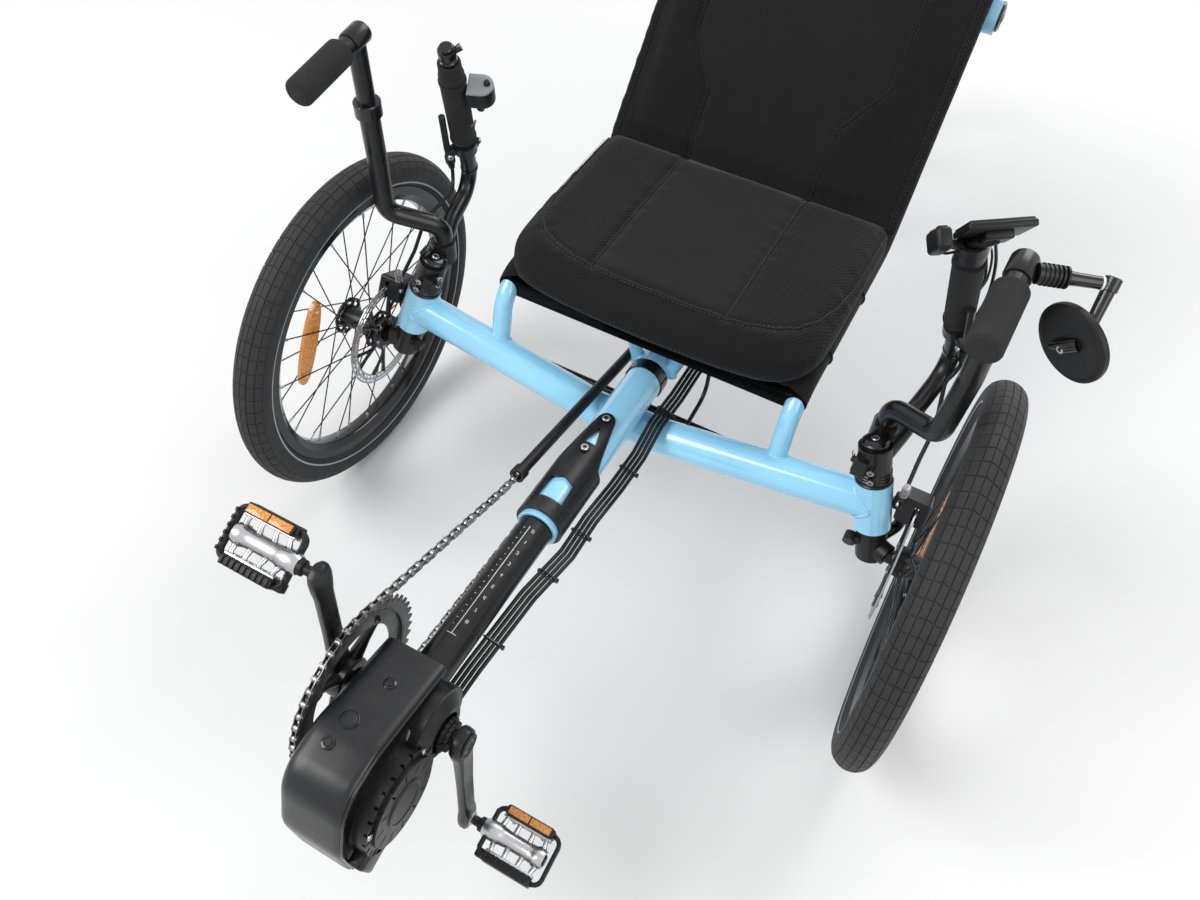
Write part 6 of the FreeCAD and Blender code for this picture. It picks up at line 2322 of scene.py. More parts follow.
@dataclass
class MotorDetails:
    """Hood, screws, plug, edge ridge, inserts and drum ribs of the drive unit.

    The hood's section gives places across the trike and how far they lie inside its line, in millimetres.
    """

    finishes: Finishes
    line: Profile = ((-438.0, 394.0), (-548.0, 418.6), (-603.0, 408.0), (-623.3, 338.0), (-618.0, 282.0))
    ridge: Profile = ((-440, 391), (-548, 415.0), (-600.5, 405), (-619.6, 338), (-614.5, 284))
    section: Profile = ((-44.0, 13.0), (-43.7, 9.8), (-42.4, 6.2), (-40.0, 3.2), (-36.6, 1.1), (-32.0, 0.2),
                        (-22.0, 0.0), (0.0, 0.0), (20.0, 0.0), (24.6, 0.5), (27.0, 1.8), (28.0, 4.2),
                        (28.0, 6.4), (25.6, 6.4), (24.6, 4.6), (0.0, 4.0), (-32.0, 4.2), (-38.6, 7.2),
                        (-40.0, 13.0))
    drum: tuple[float, float] = (-551.0, 333.0)

    def hood_line(self) -> tuple[list[Vector], list[Vector]]:
        """Points of the hood's line, close together, and the directions into the hood.

        Returns:
            The points and the directions.
        """
        corners = bent(side_view(0, self.line), 0.052, 4.0)
        path = []
        for a, b in zip(corners, corners[1:]):
            count = max(1, int((b - a).length / 0.008))
            path += [a.lerp(b, k / count) for k in range(count)]
        path.append(corners[-1])
        pairs = zip([path[0], *path], [*path[1:], path[-1]])
        return path, [Vector((0, before.z - after.z, after.y - before.y)).normalized()
                      for before, after in pairs]

    def hood(self) -> None:
        """Build the smooth hood with its soft edges and its wall on the chain side."""
        path, inward = self.hood_line()
        shape = Shape()
        shell, case = self.finishes.pick("motor_shell", "motor_case")
        shape.rings([[place + LEFTWARD * (x * MM) + way * (inset * MM) for x, inset in self.section]
                     for place, way in zip(path, inward)], shell)
        axle = [(-480 + 27.4 * math.cos(t), 348 + 27.4 * math.sin(t))
                for t in map(math.radians, range(228, -50, -12))]
        wall = ((-572, 271), (-560, 276), (-500, 318), *axle, (-458, 327), (-439, 328))
        web = ((-600, 276), (-560, 290), (-500, 330), (-445, 345))
        for x, inset, rest, thick, finish in ((-43.8, 0.0122, wall, 0.0036, shell),
                                              (22.0, 0.0042, web, 0.0024, case)):
            edge = [place + LEFTWARD * (x * MM) + way * inset for place, way in zip(path, inward)]
            shape.plate(edge + side_view(x, rest), LEFTWARD * thick, finish)
        shape.build("motor_hood", "frame", "motor_plastic", ["motor_cover"], 50.0)

    def top_fittings(self, shape: Shape) -> None:
        """Add the hood's two screws and its plug.

        Args:
            shape: what they are added to.
        """
        dark, shell, gloss, alloy = self.finishes.pick("plastic", "motor_shell", "gloss_plastic",
                                                       "alloy_black")
        (y0, z0), (y1, z1) = (-438.0, 394.0), (-548.0, 419.0)
        away = Vector((0, z1 - z0, y0 - y1)).normalized()
        rear, plug_at = (spot(x, y0 + (y1 - y0) * share, z0 + (z1 - z0) * share)
                         for x, share in ((-6.0, 0.40), (-14.0, 0.86)))
        front, front_away = spot(-17.0, -560.0, 417.2), Vector((0, -0.15, 1)).normalized()
        plug = ((-0.001, 0.0098), (0.0007, 0.0098), (0.0009, 0.0090), (0.0004, 0.0086), (0.0013, 0.0080),
                (0.0016, 0.0060), (0.0017, 0.001))
        shape.turned(plug, plug_at, away, shell, 40)
        for place, way in ((rear, away), (front, front_away)):
            shape.turned([(-0.001, 0.0066), (0.0005, 0.0066), (0.0010, 0.0058)], place, way, gloss, 32)
            shape.socket_bolt(place + way * 0.0008, way, 0.0040, alloy, dark, 0.0022)

    def on_drum(self, x: float, radius: float, angle: float) -> Vector:
        """Point from its place across, its distance from the drum's axis and its angle, in millimetres."""
        return spot(x, self.drum[0] + radius * math.cos(angle), self.drum[1] + radius * math.sin(angle))

    def build(self) -> None:
        """Build the hood and the drive unit's details."""
        self.hood()
        shape = Shape()
        dark, silver, case, gloss, grey = self.finishes.pick("plastic", "alloy_silver", "motor_case",
                                                             "gloss_plastic", "grey_plastic")
        self.top_fittings(shape)
        shape.tube(bent(side_view(28.6, self.ridge), 0.050, 5.0), 0.0016, gloss, 10)
        shape.block(spot(37, -598, 300), (0.018, 0.034, 0.034), case,
                    Matrix.Rotation(math.radians(14), 3, "X"), 0.0040)
        shape.tube([spot(x, -438.6, 393.2 - 0.004 * (x + 8) ** 2) for x in range(-38, 27, 4)], 0.0009, silver,
                   8)
        for angle in round_places(12, 0.5):
            turn = Matrix.Rotation(angle, 3, "X")
            shape.block(self.on_drum(48.6, 38, angle), (0.0028, 0.0130, 0.0034), case, turn, 0.0008)
        shape.turned([(0, 0.026), (0.0018, 0.0252), (0.0022, 0.0225), (0.0014, 0.0215), (0.0014, 0.001)],
                     self.on_drum(49.6, 0, 0), LEFTWARD, case)
        for angle in (0.6, 2.7, 4.8):
            shape.socket_bolt(self.on_drum(45.5, 50.5, angle), LEFTWARD, 0.0036, silver, dark, 0.0024)
        for outline in (((-506, 388), (-530, 350), (-516, 346)), ((-612, 304), (-602, 282), (-588, 290))):
            shape.plate(side_view(30.2, outline), LEFTWARD * 0.0016, grey)
        shape.build("motor_fittings", "frame", "motor_plastic")


# ---- steering ------------------------------------------------------------------------------------
# Places on the left steering bar, in millimetres: its ends, the T joint and the end of the assist grip.
BAR_TOP: Point = (320.0, 122.0, 646.0)
BAR_LOW: Point = (350.0, 196.0, 406.0)
T_JOINT: Point = (369.0, 18.0, 716.0)
ASSIST_END: Point = (364.5, -90.0, 706.0)


def steer_bar(side: Side) -> tuple[Vector, Vector, Vector]:
    """Lower end, upper end and direction of a steering bar."""
    low, top = side.at(*BAR_LOW), side.at(*BAR_TOP)
    return low, top, (top - low).normalized()


@dataclass
class SteeringSide:
    """Bolts, caps, collars and brake fittings of one side's steering."""

    side: Side
    finishes: Finishes
    caliper_angle: float = 62.0
    caliper_r: float = 74.0
    spring_turns: float = 7.5

    def way(self, x: float, y: float, z: float) -> Vector:
        """Direction given for the rider's left, on this side."""
        return Vector((self.side.sign * x, y, z)).normalized()

    def king(self, along: float) -> Vector:
        """Point of the kingpin's axis, up from the middle of the head tube."""
        return self.side.at(*KINGPIN) + kingpin_way(self.side) * (along * MM)

    def head(self, shape: Shape) -> None:
        """Add the headset rings, stem cap and pinch bolts.

        Args:
            shape: what they are added to.
        """
        black, gloss, steel, dark = self.finishes.pick("alloy_black", "gloss_plastic", "steel", "plastic")
        up = kingpin_way(self.side)
        cup = ((-0.0014, 0.0150), (-0.0014, 0.0218), (0.0006, 0.0224), (0.0022, 0.0212), (0.0030, 0.0190),
               (0.0030, 0.0150))
        for sense in (1, -1):
            shape.turned(cup, self.king(sense * 36.0), up * sense, black, 48, True)
        shape.turned([(0, 0.0165), (0.0014, 0.0165), (0.0030, 0.0150), (0.0044, 0.0118), (0.0046, 0.0072),
                      (0.0030, 0.0066)], self.king(90.2), up, gloss, 40)
        shape.socket_bolt(self.king(93.0), up, 0.0052, steel, dark, 0.0034)
        for along in (54, 68):
            seat = self.king(along) + self.way(3, -24, -2) * 0.0242
            shape.socket_bolt(seat, self.way(0.1, -1, -0.1), 0.0044, steel, dark, 0.0022)
        inward = self.way(-1, -0.62, 0)
        for along in (50, 62, 74):
            shape.socket_bolt(self.king(along) + inward * 0.0248, inward, 0.0036, steel, dark, 0.0022)
        for k in range(3):
            shape.turned([(0, 0.0204), (0.0006, 0.0210), (0.0024, 0.0210), (0.0030, 0.0204)],
                         self.king(40.0 + k * 4.2), up, gloss, 40)

    def bars(self, shape: Shape) -> None:
        """Add the collar of the telescoping bar, the T joint and the grip's end caps.

        Args:
            shape: what they are added to.
        """
        gloss, steel, foam, plastic, paint = self.finishes.pick(
            "gloss_plastic", "steel", "foam", "plastic", "black_paint")
        joint_at, grip_end = self.side.at(*T_JOINT), self.side.at(*ASSIST_END)
        bottom = self.side.at(371, 26, 560)
        collar, forward = bottom.lerp(joint_at, 0.40), (grip_end - joint_at).normalized()
        for profile, place, axis, finish in (
                (((-0.0102, 0.0128), (-0.0102, 0.0158), (-0.0092, 0.0168), (0.0088, 0.0168), (0.0100, 0.0158),
                  (0.0100, 0.0112)), collar, joint_at - bottom, gloss),
                (((-0.0145, 0.0112), (-0.0150, 0.0124), (-0.0120, 0.0134), (0.0110, 0.0134), (0.0135, 0.0126),
                  (0.0135, 0.0112)), joint_at, forward, paint)):
            shape.turned(profile, place, axis, finish, 48, True)
        shape.block(collar + self.way(0.4, 1, 0) * 0.0185, (0.011, 0.009, 0.012), gloss, None, 0.0015)
        shape.socket_bolt(collar + self.way(1, 0.4, 0) * 0.0165, self.way(1, 0.2, 0), 0.0034, steel, plastic,
                          0.0024)
        shape.turned([(-0.0165, 0.001), (-0.0165, 0.0105), (-0.0145, 0.0114)], joint_at, forward, gloss, 36)
        shape.turned([(-0.0010, 0.0120), (0.0006, 0.0120), (0.0012, 0.0112), (0.0008, 0.0100),
                      (0.0012, 0.0088), (0.0016, 0.001)], grip_end, forward, foam, 40)
        low, top, up = steer_bar(self.side)
        for share in (0.424, 0.872):
            shape.turned([(-0.0022, 0.0160), (-0.0022, 0.0175), (-0.0010, 0.0180), (0.0010, 0.0180),
                          (0.0022, 0.0175), (0.0022, 0.0160)], low.lerp(top, share), up, foam, 40, True)

    def lever(self, shape: Shape) -> None:
        """Add the brake lever's pivot, screws and barrel.

        Args:
            shape: what they are added to.
        """
        black, steel, gloss, dark = self.finishes.pick("alloy_black", "steel", "gloss_plastic", "plastic")
        low, top, up = steer_bar(self.side)
        out = squared(self.way(0.62, -0.78, 0), up)
        across = up.cross(out)
        mount = low.lerp(top, 0.335)
        hinge = mount + out * 0.024 - up * 0.004
        for s in (1, -1):
            shape.socket_bolt(hinge + across * (s * 0.0078), across * s, 0.0042, steel, dark, 0.0026)
        shape.turned([(0.006, 0.0068), (0.020, 0.0068), (0.022, 0.0055), (0.030, 0.0048), (0.034, 0.0040)],
                     hinge, -up, black, 24)
        for k in range(4):
            shape.turned([(0, 0.0071), (0.0012, 0.0071)], hinge - up * (0.0085 + 0.0028 * k), -up, gloss, 24)
        shape.socket_bolt(mount - out * 0.0200 + up * 0.002, -out, 0.0040, steel, dark, 0.0026)
        shape.block(mount - out * 0.013, (0.010, 0.010, 0.014), black, None, 0.0015)

    def caliper(self, shape: Shape) -> None:
        """Add the caliper's knob, bolts and spring.

        Args:
            shape: what they are added to.
        """
        black, steel, dark = self.finishes.pick("alloy_black", "steel", "plastic")
        angle = math.radians(self.caliper_angle)
        centre = self.side.at(377, self.caliper_r * math.cos(angle), 253 + self.caliper_r * math.sin(angle))
        inboard = self.way(-1, 0, 0)
        shape.turned([(0.016, 0.0105), (0.0235, 0.0105), (0.0250, 0.0090), (0.0250, 0.0040)], centre, inboard,
                     black, 32)
        for t in round_places(12):
            rib = wheel_point(centre, 0.0, 0.0104, t)
            shape.rod(rib + inboard * 0.0165, rib + inboard * 0.0225, 0.0010, black, 6)
        shape.socket_bolt(centre + inboard * 0.0246, inboard, 0.0042, steel, dark, 0.0022)
        for dy, dz in ((0.017, -0.012), (-0.015, 0.012)):
            shape.socket_bolt(centre + Vector((0, dy, dz)) + inboard * 0.0180, inboard, 0.0036, steel, dark,
                              0.0026)
        arm = centre + inboard * 0.017 + Vector((0, -0.014, 0.026))
        steps = int(self.spring_turns * 12)
        spring = [arm + Vector((0.0046 * math.cos(TAU * k / 12), 0.0046 * math.sin(TAU * k / 12),
                                0.003 + 0.0002 * k)) for k in range(steps)]
        shape.tube(spring, 0.00055, steel, 6)
        shape.turned([(0, 0.0050), (0.006, 0.0050), (0.007, 0.0042), (0.012, 0.0038)],
                     arm - Vector((0, 0, 0.003)), Vector((0, 0.1, 1)), black, 20)

    def arm_end(self, shape: Shape) -> None:
        """Add the steering arm's nut and boot.

        Args:
            shape: what they are added to.
        """
        ball, up, steel = self.side.at(344, 66, 250), kingpin_way(self.side), self.finishes["steel"]
        shape.turned([(0.0088, 0.0062), (0.0104, 0.0062), (0.0116, 0.0052)], ball, up, steel, 6)
        shape.turned([(-0.029, 0.0060), (-0.0255, 0.0066)], ball, up, steel, 6)

    def build(self) -> None:
        """Build the side's fittings."""
        shape = Shape()
        for part in (self.head, self.bars, self.lever, self.caliper, self.arm_end):
            part(shape)
        shape.build(f"steering_fittings_{self.side.value}", f"steering_{self.side.value}", "black_alloy")


@dataclass
class Mirror:
    """Round mirror on an elbowed, ribbed arm."""

    finishes: Finishes
    radius: float = 0.040

    def build(self) -> None:
        """Build the mirror."""
        gloss, plastic, white, steel, glass = self.finishes.pick(
            "gloss_plastic", "plastic", "white_ink", "steel", "glass")
        elbow, foot, centre = spot(445, 46, 711), spot(443, 8, 668), spot(436.5, 12.5, 660.5)
        face, rim = Vector((0.577, 0.81, 0.10)).normalized(), self.radius
        root = spot(*T_JOINT) + Vector((0.013, 0.002, 0))
        out, down = (elbow - root).normalized(), (foot - elbow).normalized()
        shape = Shape()
        shape.tube([root, root.lerp(elbow, 0.30)], [0.0100, 0.0088], plastic, 28)
        for k in range(6):
            shape.turned([(-0.0012, 0.0088), (-0.0008, 0.0106), (0.0008, 0.0106), (0.0012, 0.0088)],
                         root.lerp(elbow, 0.08 + 0.062 * k), out, plastic, 28)
        shape.tube([root.lerp(elbow, 0.30), root.lerp(elbow, 0.55), elbow - out * 0.004],
                   [0.0074, 0.0064, 0.0060], gloss, 24)
        shape.turned([(-0.007, 0.0062), (-0.006, 0.0078), (0.006, 0.0078), (0.007, 0.0062)], elbow, down,
                     gloss, 28)
        shape.turned([(-0.0010, 0.0066), (0.0010, 0.0066)], elbow - out * 0.009, out, white, 28)
        shape.tube([elbow, elbow.lerp(foot, 0.5), foot], [0.0066, 0.0060, 0.0056], gloss, 24)
        shape.turned([(-0.0010, 0.0062), (0.0010, 0.0062)], foot - down * 0.010, -down, white, 28)
        shape.turned([(-0.0042, 0.001), (-0.0042, rim - 0.009), (-0.0036, rim - 0.003),
                      (-0.0016, rim - 0.0004), (0.0016, rim), (0.0040, rim - 0.0006), (0.0044, rim - 0.0024)],
                     centre, face, plastic, 72)
        shape.turned([(0.0038, rim - 0.0026), (0.0044, rim - 0.0030), (0.0046, 0.001)], centre, face, glass,
                     72)
        strap = [centre - face * 0.0062 - (foot - centre).normalized() * 0.016, centre - face * 0.0085,
                 foot - face * 0.004]
        shape.tube(strap, [0.0052, 0.0062, 0.0070], gloss, 14)
        shape.socket_bolt(centre - face * 0.0118 + square_to(face)[0] * 0.002, -face, 0.0040, steel, plastic,
                          0.0024)
        shape.build("mirror_body", "steering_left", "black_plastic", ["mirror"])


@dataclass
class Display:
    """Bevelled display with its dark screen, clamp band and button pod."""

    finishes: Finishes
    size: Point = (0.068, 0.052, 0.011)

    def axes(self) -> tuple[Vector, Vector, Vector]:
        """Directions across the screen, up it and out of it.

        Returns:
            The three directions.
        """
        across = Vector((0.86, 0.51, 0.1)).normalized()
        out = squared(Vector((-0.5, 0.62, 0.6)), across)
        return across, out.cross(across), out

    def build(self) -> None:
        """Build the display."""
        across, up, out = self.axes()
        turn = Matrix((across, up, out)).transposed()
        plastic, gloss, steel, grey, glass = self.finishes.pick(
            "plastic", "gloss_plastic", "steel", "grey_plastic", "glass")
        centre = spot(334, 122, 672)
        wide, tall, thick = self.size
        shape = Shape()
        shape.block(centre - out * 0.0012, (wide, tall, thick - 0.0030), plastic, turn, 0.0024)
        shape.block(centre + out * 0.0030, (wide - 0.004, tall - 0.004, 0.0048), gloss, turn, 0.0018)
        shape.block(centre + out * 0.0050, (wide - 0.014, tall - 0.014, 0.0014), glass, turn, 0.0005)
        shape.block(centre - out * 0.0085, (wide * 0.42, tall * 0.55, 0.010), plastic, turn, 0.0022)
        _, top, along = steer_bar(Side.LEFT)
        shape.turned([(-0.0240, 0.0115), (-0.0240, 0.0152), (-0.0230, 0.0161), (-0.0090, 0.0161),
                      (-0.0080, 0.0150), (-0.0070, 0.0161), (0.0030, 0.0161), (0.0040, 0.0152),
                      (0.0040, 0.0115)], top, along, plastic, 44, True)
        shape.tube([top - along * 0.002, centre - out * 0.009], 0.0078, plastic, 20)
        shape.socket_bolt(top + across * 0.0160 - along * 0.008, across, 0.0038, steel, gloss, 0.0026)
        pod = spot(291, 74, 672)
        shape.block(pod, (0.016, 0.040, 0.0235), plastic, turn, 0.0048)
        for height, finish in ((0.011, gloss), (0.0, grey), (-0.011, gloss)):
            shape.block(pod + up * height + out * 0.0116, (0.0095, 0.0080, 0.0028), finish, turn, 0.0012)
        shape.tube([top - along * 0.012 + Vector((-0.008, 0, 0)), pod], 0.0049, plastic, 18)
        shape.build("display_unit", "steering_left", "black_plastic", ["display"])


Lead = tuple[float, tuple[Point, ...]]


@dataclass
class BarCables:
    """Thin leads looped under the display and beside the right control pod, with their clips and connector.

    A lead is its radius in metres and the places that it passes, in millimetres.
    """

    finishes: Finishes
    left: tuple[Lead, ...] = (
        (0.0019, ((334, 126, 664), (338, 150, 640), (350, 172, 590), (356, 178, 540), (352, 168, 500),
                  (350, 170, 470), (357, 190, 440))),
        (0.0016, ((322, 140, 660), (318, 158, 632), (334, 178, 600), (346, 172, 566), (340, 158, 560),
                  (330, 164, 592), (326, 152, 622))),
        (0.0016, ((294, 82, 660), (298, 104, 636), (312, 132, 622), (330, 164, 590), (344, 178, 540),
                  (348, 176, 500))),
        (0.0014, ((300, 84, 664), (308, 112, 650), (322, 140, 640), (340, 168, 610), (348, 184, 560),
                  (344, 188, 520), (352, 186, 470))),
    )
    right: tuple[Lead, ...] = (
        (0.0021, ((-322, 122, 640), (-334, 150, 622), (-344, 176, 570), (-346, 182, 520), (-344, 176, 480),
                  (-350, 186, 440))),
        (0.0015, ((-292, 118, 566), (-300, 140, 556), (-322, 172, 530), (-336, 178, 490),
                  (-352, 182, 450))),
    )

    @staticmethod
    def curve(points: Sequence[Point]) -> list[Vector]:
        """Smooth path through points in millimetres.

        Args:
            points: the points.

        Returns:
            The path, in metres.
        """
        places = [spot(*p) for p in points]
        ends = [places[0] * 2 - places[1], *places, places[-1] * 2 - places[-2]]
        path = []
        for p0, p1, p2, p3 in zip(ends, ends[1:], ends[2:], ends[3:]):
            for t in (k / 7 for k in range(7)):
                cubic = (3 * p1 - p0 - 3 * p2 + p3) * t ** 3
                square = (2 * p0 - 5 * p1 + 4 * p2 - p3) * t * t
                path.append(0.5 * ((2 * p1) + (p2 - p0) * t + square + cubic))
        return [*path, places[-1]]

    def leads(self, side: Side) -> Shape:
        """Shape one side's leads and the clips that hold them to the bar.

        Args:
            side: the side.

        Returns:
            The shape, not yet made into a piece.
        """
        shape = Shape()
        gloss, jacket = self.finishes.pick("gloss_plastic", "cable")
        for radius, points in self.left if side is Side.LEFT else self.right:
            shape.tube(self.curve(points), radius, jacket, 10)
        low, top, up = steer_bar(side)
        for share in (0.14, 0.30):
            shape.band((-0.0022, 0.0022), (0.0112, 0.0124), low.lerp(top, share), up, gloss, 32)
        return shape

    def build(self) -> None:
        """Build the leads of both sides."""
        shape = self.leads(Side.LEFT)
        turn = Matrix.Rotation(math.radians(24), 3, "X")
        white, plastic = self.finishes.pick("white_ink", "plastic")
        shape.block(spot(335, 163, 612), (0.0085, 0.0080, 0.0135), white, turn)
        shape.block(spot(331, 160, 600), (0.0075, 0.0070, 0.0120), plastic, turn)
        shape.build("display_leads", "steering_left", "black_plastic")
        self.leads(Side.RIGHT).build("shifter_leads", "steering_right", "black_plastic")


@dataclass
class RightControls:
    """Bar-end shifter with its pulley, and the D-shaped control pod."""

    finishes: Finishes

    def build(self) -> None:
        """Build both controls."""
        self.shifter()
        self.pod()

    def shifter(self) -> None:
        """Build the shifter on the bar's end."""
        plastic, gloss, steel, foam = self.finishes.pick("plastic", "gloss_plastic", "steel", "foam")
        low, top, up = steer_bar(Side.RIGHT)
        out = squared(Vector((-0.62, -0.78, 0)), up)
        shape = Shape()
        collar = ((0.0004, 0.0112), (0.0004, 0.0155), (0.0020, 0.0165), (0.0100, 0.0165), (0.0130, 0.0150),
                  (0.0300, 0.0146), (0.0310, 0.0130), (0.0312, 0.0112))
        pulley = ((0.001, 0.001), (0.001, 0.0108), (0.0030, 0.0115), (0.0060, 0.0115), (0.0072, 0.0098),
                  (0.0120, 0.0098), (0.0132, 0.0115), (0.0215, 0.0115), (0.0235, 0.0104), (0.0236, 0.001))
        shape.turned(collar, low.lerp(top, 0.88), up, foam, 48, True)
        shape.turned(pulley, top, up, gloss, 40)
        for k in range(5):
            shape.turned([(0, 0.0101), (0.0006, 0.0106), (0.0012, 0.0101)], top + up * (0.0076 + 0.0009 * k),
                         up, plastic, 36)
        shape.turned([(0.0232, 0.0088), (0.0270, 0.0088), (0.0280, 0.0076), (0.0281, 0.001)], top, up, gloss,
                     36)
        shape.socket_bolt(top + up * 0.0268, up, 0.0040, steel, plastic, 0.0012)
        path = [top + up * rise - out * away
                for rise, away in ((0.014, 0.004), (0.017, 0.011), (0.020, 0.018))]
        shape.tube(path, [0.0048, 0.0042, 0.0050], gloss, 18)
        shape.build("shifter_unit", "steering_right", "black_plastic", ["shifter"])

    def pod(self) -> None:
        """Build the control pod, D-shaped seen along the bar, with its grey top and its button."""
        plastic, gloss, grey = self.finishes.pick("plastic", "gloss_plastic", "grey_plastic")
        low, top, up = steer_bar(Side.RIGHT)
        side = squared(Vector((0.92, 0.39, 0)), up)
        across = up.cross(side)
        middle = low.lerp(top, 0.80) + side * 0.036
        outline = [side * (0.0155 * math.cos(t)) + across * (0.0158 * math.sin(t))
                   for t in map(math.radians, range(-90, 91, 12))]
        outline += [across * (s * 0.0158) - side * 0.0178 for s in (1, -1)]
        pinch = side * 0.002
        shape = Shape()
        body = ((-0.0150, 0.90), (-0.0142, 0.97), (-0.012, 1.0), (0.0100, 1.0), (0.0106, 1.0))
        lid = ((0.0106, 0.985), (0.0138, 0.985), (0.0150, 0.93), (0.0152, 0.60))
        for stations, finish in ((body, plastic), (lid, grey)):
            shape.rings([[middle - pinch + (p + pinch) * share + up * height for p in outline]
                         for height, share in stations], finish)
        shape.turned([(0, 0.0042), (0.0040, 0.0040), (0.0060, 0.0030), (0.0064, 0.001)],
                     middle + up * 0.0150 + side * 0.007, up, gloss, 24)
        stem = [middle - up * drop - side * away
                for drop, away in ((0.012, 0.0), (0.024, 0.003), (0.034, 0.006))]
        shape.tube(stem, [0.0062, 0.0056, 0.0052], plastic, 18)
        shape.build("control_pod", "steering_right", "black_plastic", ["bell"])


@dataclass
class RearFittings:
    """Derailleur pulleys, idler teeth, strut bolts and the battery's details."""

    finishes: Finishes
    seat: SeatPlanes = field(default_factory=SeatPlanes)

    def build(self) -> None:
        """Build the rear fittings."""
        shape = Shape()
        plastic, steel, gloss = self.finishes.pick("plastic", "steel", "gloss_plastic")
        for place, teeth in ((UPPER_PULLEY, 9), (LOWER_PULLEY, 9), (IDLER, 13)):
            middle = spot(CHAIN_X, *place)
            sprocket(shape, middle, LEFTWARD, teeth, 0.0030, 0.0060, plastic)
            shape.band((-0.0035, 0.0035), (0.0058, 0.0074), middle, LEFTWARD, steel, 28)
            shape.socket_bolt(middle - LEFTWARD * 0.0088, -LEFTWARD, 0.0042, steel, plastic, 0.0024)
        knob = ((-0.0005, 0.0200), (0.0020, 0.0196), (0.0030, 0.0170), (0.0018, 0.0150), (0.0018, 0.001))
        for side in Side:
            out = LEFTWARD * side.sign
            place = self.seat.back(side.sign * 232.5, 335, -12)
            shape.turned(knob, place, out, gloss, 44)
            shape.socket_bolt(place + out * 0.0020, out, 0.0060, steel, plastic, 0.0032)
            shape.socket_bolt(side.at(84.2, 992, 279), out, 0.0056, steel, plastic, 0.0030)
        self.battery(shape)
        shape.build("rear_fittings", "frame", "black_plastic")

    def battery(self, shape: Shape) -> None:
        """Add the battery's seams, charge indicator, lock and handle.

        Args:
            shape: what they are added to.
        """
        plastic, gloss, grey, steel = self.finishes.pick("plastic", "gloss_plastic", "grey_plastic", "steel")
        back, axes = self.seat.back, self.seat.back_axes()
        for along in (132.0, 368.0):
            for out in (-14.9, -84.9):
                shape.block(back(0, along, out), (0.1012, 0.0030, 0.0012), grey, axes, 0.0004)
            for across in (50.2, -50.2):
                shape.block(back(across, along, -49.9), (0.0012, 0.0030, 0.0560), grey, axes, 0.0004)
        shape.block(back(0, 250, -84.9), (0.064, 0.190, 0.0024), gloss, axes, 0.0010)
        for k in range(4):
            shape.block(back(-13.5 + 9 * k, 318, -86.0), (0.0062, 0.0030, 0.0014), grey, axes, 0.0004)
        shape.turned([(0, 0.0095), (0.0022, 0.0092), (0.0026, 0.0070), (0.0012, 0.0060), (0.0012, 0.001)],
                     back(50.2, 150, -52), LEFTWARD, steel, 32)
        corners = ((-28, 399), (-28, 409), (28, 409), (28, 399))
        shape.tube(bent([back(across, along, -62) for across, along in corners], 0.006), 0.0036, plastic, 14)


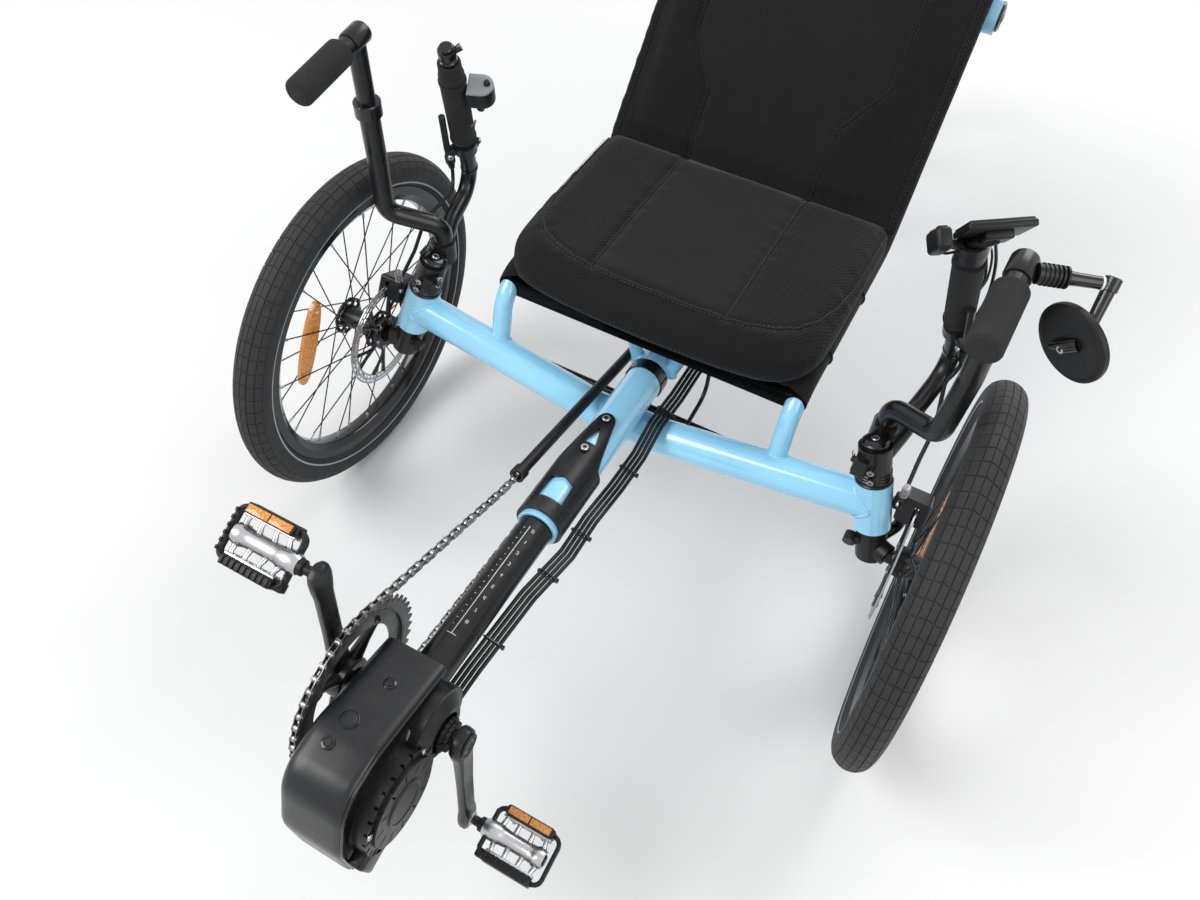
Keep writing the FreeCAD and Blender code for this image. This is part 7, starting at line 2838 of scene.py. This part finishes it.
# ---- scene ---------------------------------------------------------------------------------------
@dataclass
class Studio:
    """Pale floor, soft lamps, world and camera."""

    camera_at: Point = (0.3344, -1.0785, 1.3348)
    forward: Point = (-0.291, 0.580, -0.761)
    right: Point = (0.877, 0.479, 0.030)
    lens: float = 30.7
    shift: tuple[float, float] = (0.0117, -0.0512)
    floor_half: float = 14.0
    sky_unseen: float = 0.52
    sky_seen: float = 0.48

    def pale(self) -> Material:
        """Floor finish that looks white to the camera and keeps its shadow.

        Returns:
            The material.
        """
        tree = Tree("studio_floor")
        tree.value("Base Color", (0.80, 0.80, 0.80, 1))
        tree.value("Roughness", 0.9)
        tree.value("Emission Color", (1.0, 1.0, 1.0, 1.0))
        away = tree.node("ShaderNodeVectorMath", operation="LENGTH")
        tree.join(tree.place(), away.inputs[0])
        seen = tree.node("ShaderNodeLightPath").outputs["Is Camera Ray"]
        fade = tree.calc("MULTIPLY", tree.spread(away.outputs["Value"], 0.0, 0.55, 2.0, 5.0), seen)
        tree.join(fade, tree.shader.inputs["Emission Strength"])
        return tree.material

    def floor(self) -> None:
        """Lay the floor."""
        mesh = bpy.data.meshes.new("studio_floor")
        far = self.floor_half
        mesh.from_pydata([(-far, -far, 0), (far, -far, 0), (far, far, 0), (-far, far, 0)], [], [(0, 1, 2, 3)])
        mesh.materials.append(self.pale())
        floor = bpy.data.objects.new("studio_floor", mesh)
        bpy.context.scene.collection.objects.link(floor)

    def world(self) -> None:
        """Light everything from a plain pale sky."""
        world = bpy.data.worlds.new("studio")
        bpy.context.scene.world = world
        world.use_nodes = True
        nodes, links = world.node_tree.nodes, world.node_tree.links
        back = nodes["Background"]
        back.inputs["Color"].default_value = (1, 1, 1, 1)
        ray = nodes.new("ShaderNodeLightPath")
        seen = ray.outputs["Is Camera Ray"]
        for name in ("Is Glossy Ray", "Is Transmission Ray"):
            either = nodes.new("ShaderNodeMath")
            either.operation = "MAXIMUM"
            links.new(seen, either.inputs[0])
            links.new(ray.outputs[name], either.inputs[1])
            seen = either.outputs[0]
        strength = nodes.new("ShaderNodeMath")
        strength.operation = "MULTIPLY_ADD"
        strength.inputs[1].default_value = self.sky_seen
        strength.inputs[2].default_value = self.sky_unseen
        links.new(seen, strength.inputs[0])
        links.new(strength.outputs[0], back.inputs["Strength"])

    def lamp(self, name: str, place: Point, aim: Point, size: float, power: float) -> None:
        """Add a soft lamp.

        Args:
            name: its name.
            place: where it is.
            aim: where it points.
            size: its side.
            power: its power.
        """
        data = bpy.data.lights.new(name, "AREA")
        data.shape = "SQUARE"
        data.size = size
        data.energy = power
        lamp = bpy.data.objects.new(name, data)
        bpy.context.scene.collection.objects.link(lamp)
        lamp.location = place
        lamp.rotation_euler = (Vector(aim) - Vector(place)).to_track_quat("-Z", "Y").to_euler()

    def camera(self) -> None:
        """Set the camera."""
        data = bpy.data.cameras.new("camera")
        data.sensor_width = 36.0
        data.lens = self.lens
        data.shift_x, data.shift_y = self.shift
        data.clip_start = 0.02
        camera = bpy.data.objects.new("camera", data)
        bpy.context.scene.collection.objects.link(camera)
        ahead = Vector(self.forward).normalized()
        right = squared(Vector(self.right), ahead)
        turn = Matrix((right, right.cross(ahead), -ahead)).transposed()
        camera.matrix_world = Matrix.Translation(self.camera_at) @ turn.to_4x4()
        bpy.context.scene.camera = camera

    def build(self) -> None:
        """Set up the studio."""
        bpy.context.scene.view_settings.view_transform = "Standard"
        self.camera()
        self.floor()
        self.world()
        self.lamp("lamp_key", (-2.6, -2.4, 3.6), (0, 0.1, 0.3), 2.6, 150)
        self.lamp("lamp_fill", (3.2, -1.2, 2.6), (0, 0.1, 0.3), 2.6, 60)
        self.lamp("lamp_back", (0.6, 3.4, 3.0), (0, 0.3, 0.3), 2.4, 80)


def dress_nodes(finishes: Finishes) -> None:
    """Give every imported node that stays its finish.

    Args:
        finishes: the finishes.
    """
    table = {
        "paint": ["main_tube", "cross_tube", "rear_stays", "seat_rails", "seat_struts", "seat_cross_bars"],
        "black_paint": ["boom", "tie_rod", *both("steer_bar"), *both("assist_bar")],
        "alloy_black": ["boom_clamp", *both("knuckle"), *both("stem"), *both("caliper"),
                        *both("brake_lever"), "derailleur"],
        "motor_case": ["motor"],
        "plastic": ["chain_tubes", "idler", "battery"],
        "foam": [*both("hand_grip"), *both("assist_grip")],
        "cable": [*both("brake_hose"), "drive_cables", "seat_cable"],
    }
    for key, nodes in table.items():
        for node in nodes:
            dress(node, finishes[key])


def both(name: str) -> list[str]:
    """Names of a piece's left and right node."""
    return [f"{name}_{side.value}" for side in Side]


def main() -> None:
    """Build the whole trike and its studio."""
    logging.basicConfig(level=logging.INFO, format="%(levelname)s %(message)s")
    Studio().build()
    finishes = make_finishes()
    dress_nodes(finishes)
    for side in Side:
        FrontWheel(side.value, finishes, side.sign).build()
    RearWheel("rear", finishes).build()
    Chain(finishes).build()
    Crankset(finishes).build()
    Pedal(Side.LEFT, finishes, turn=8.0).build()
    Pedal(Side.RIGHT, finishes, turn=27.0).build()
    Seat(finishes).build()
    FrameDetails(finishes).build()
    BoomScale(finishes).build()
    MotorDetails(finishes).build()
    for side in Side:
        SteeringSide(side, finishes).build()
    Mirror(finishes).build()
    Display(finishes).build()
    RightControls(finishes).build()
    BarCables(finishes).build()
    RearFittings(finishes).build()


if __name__ == "__main__":
    main()
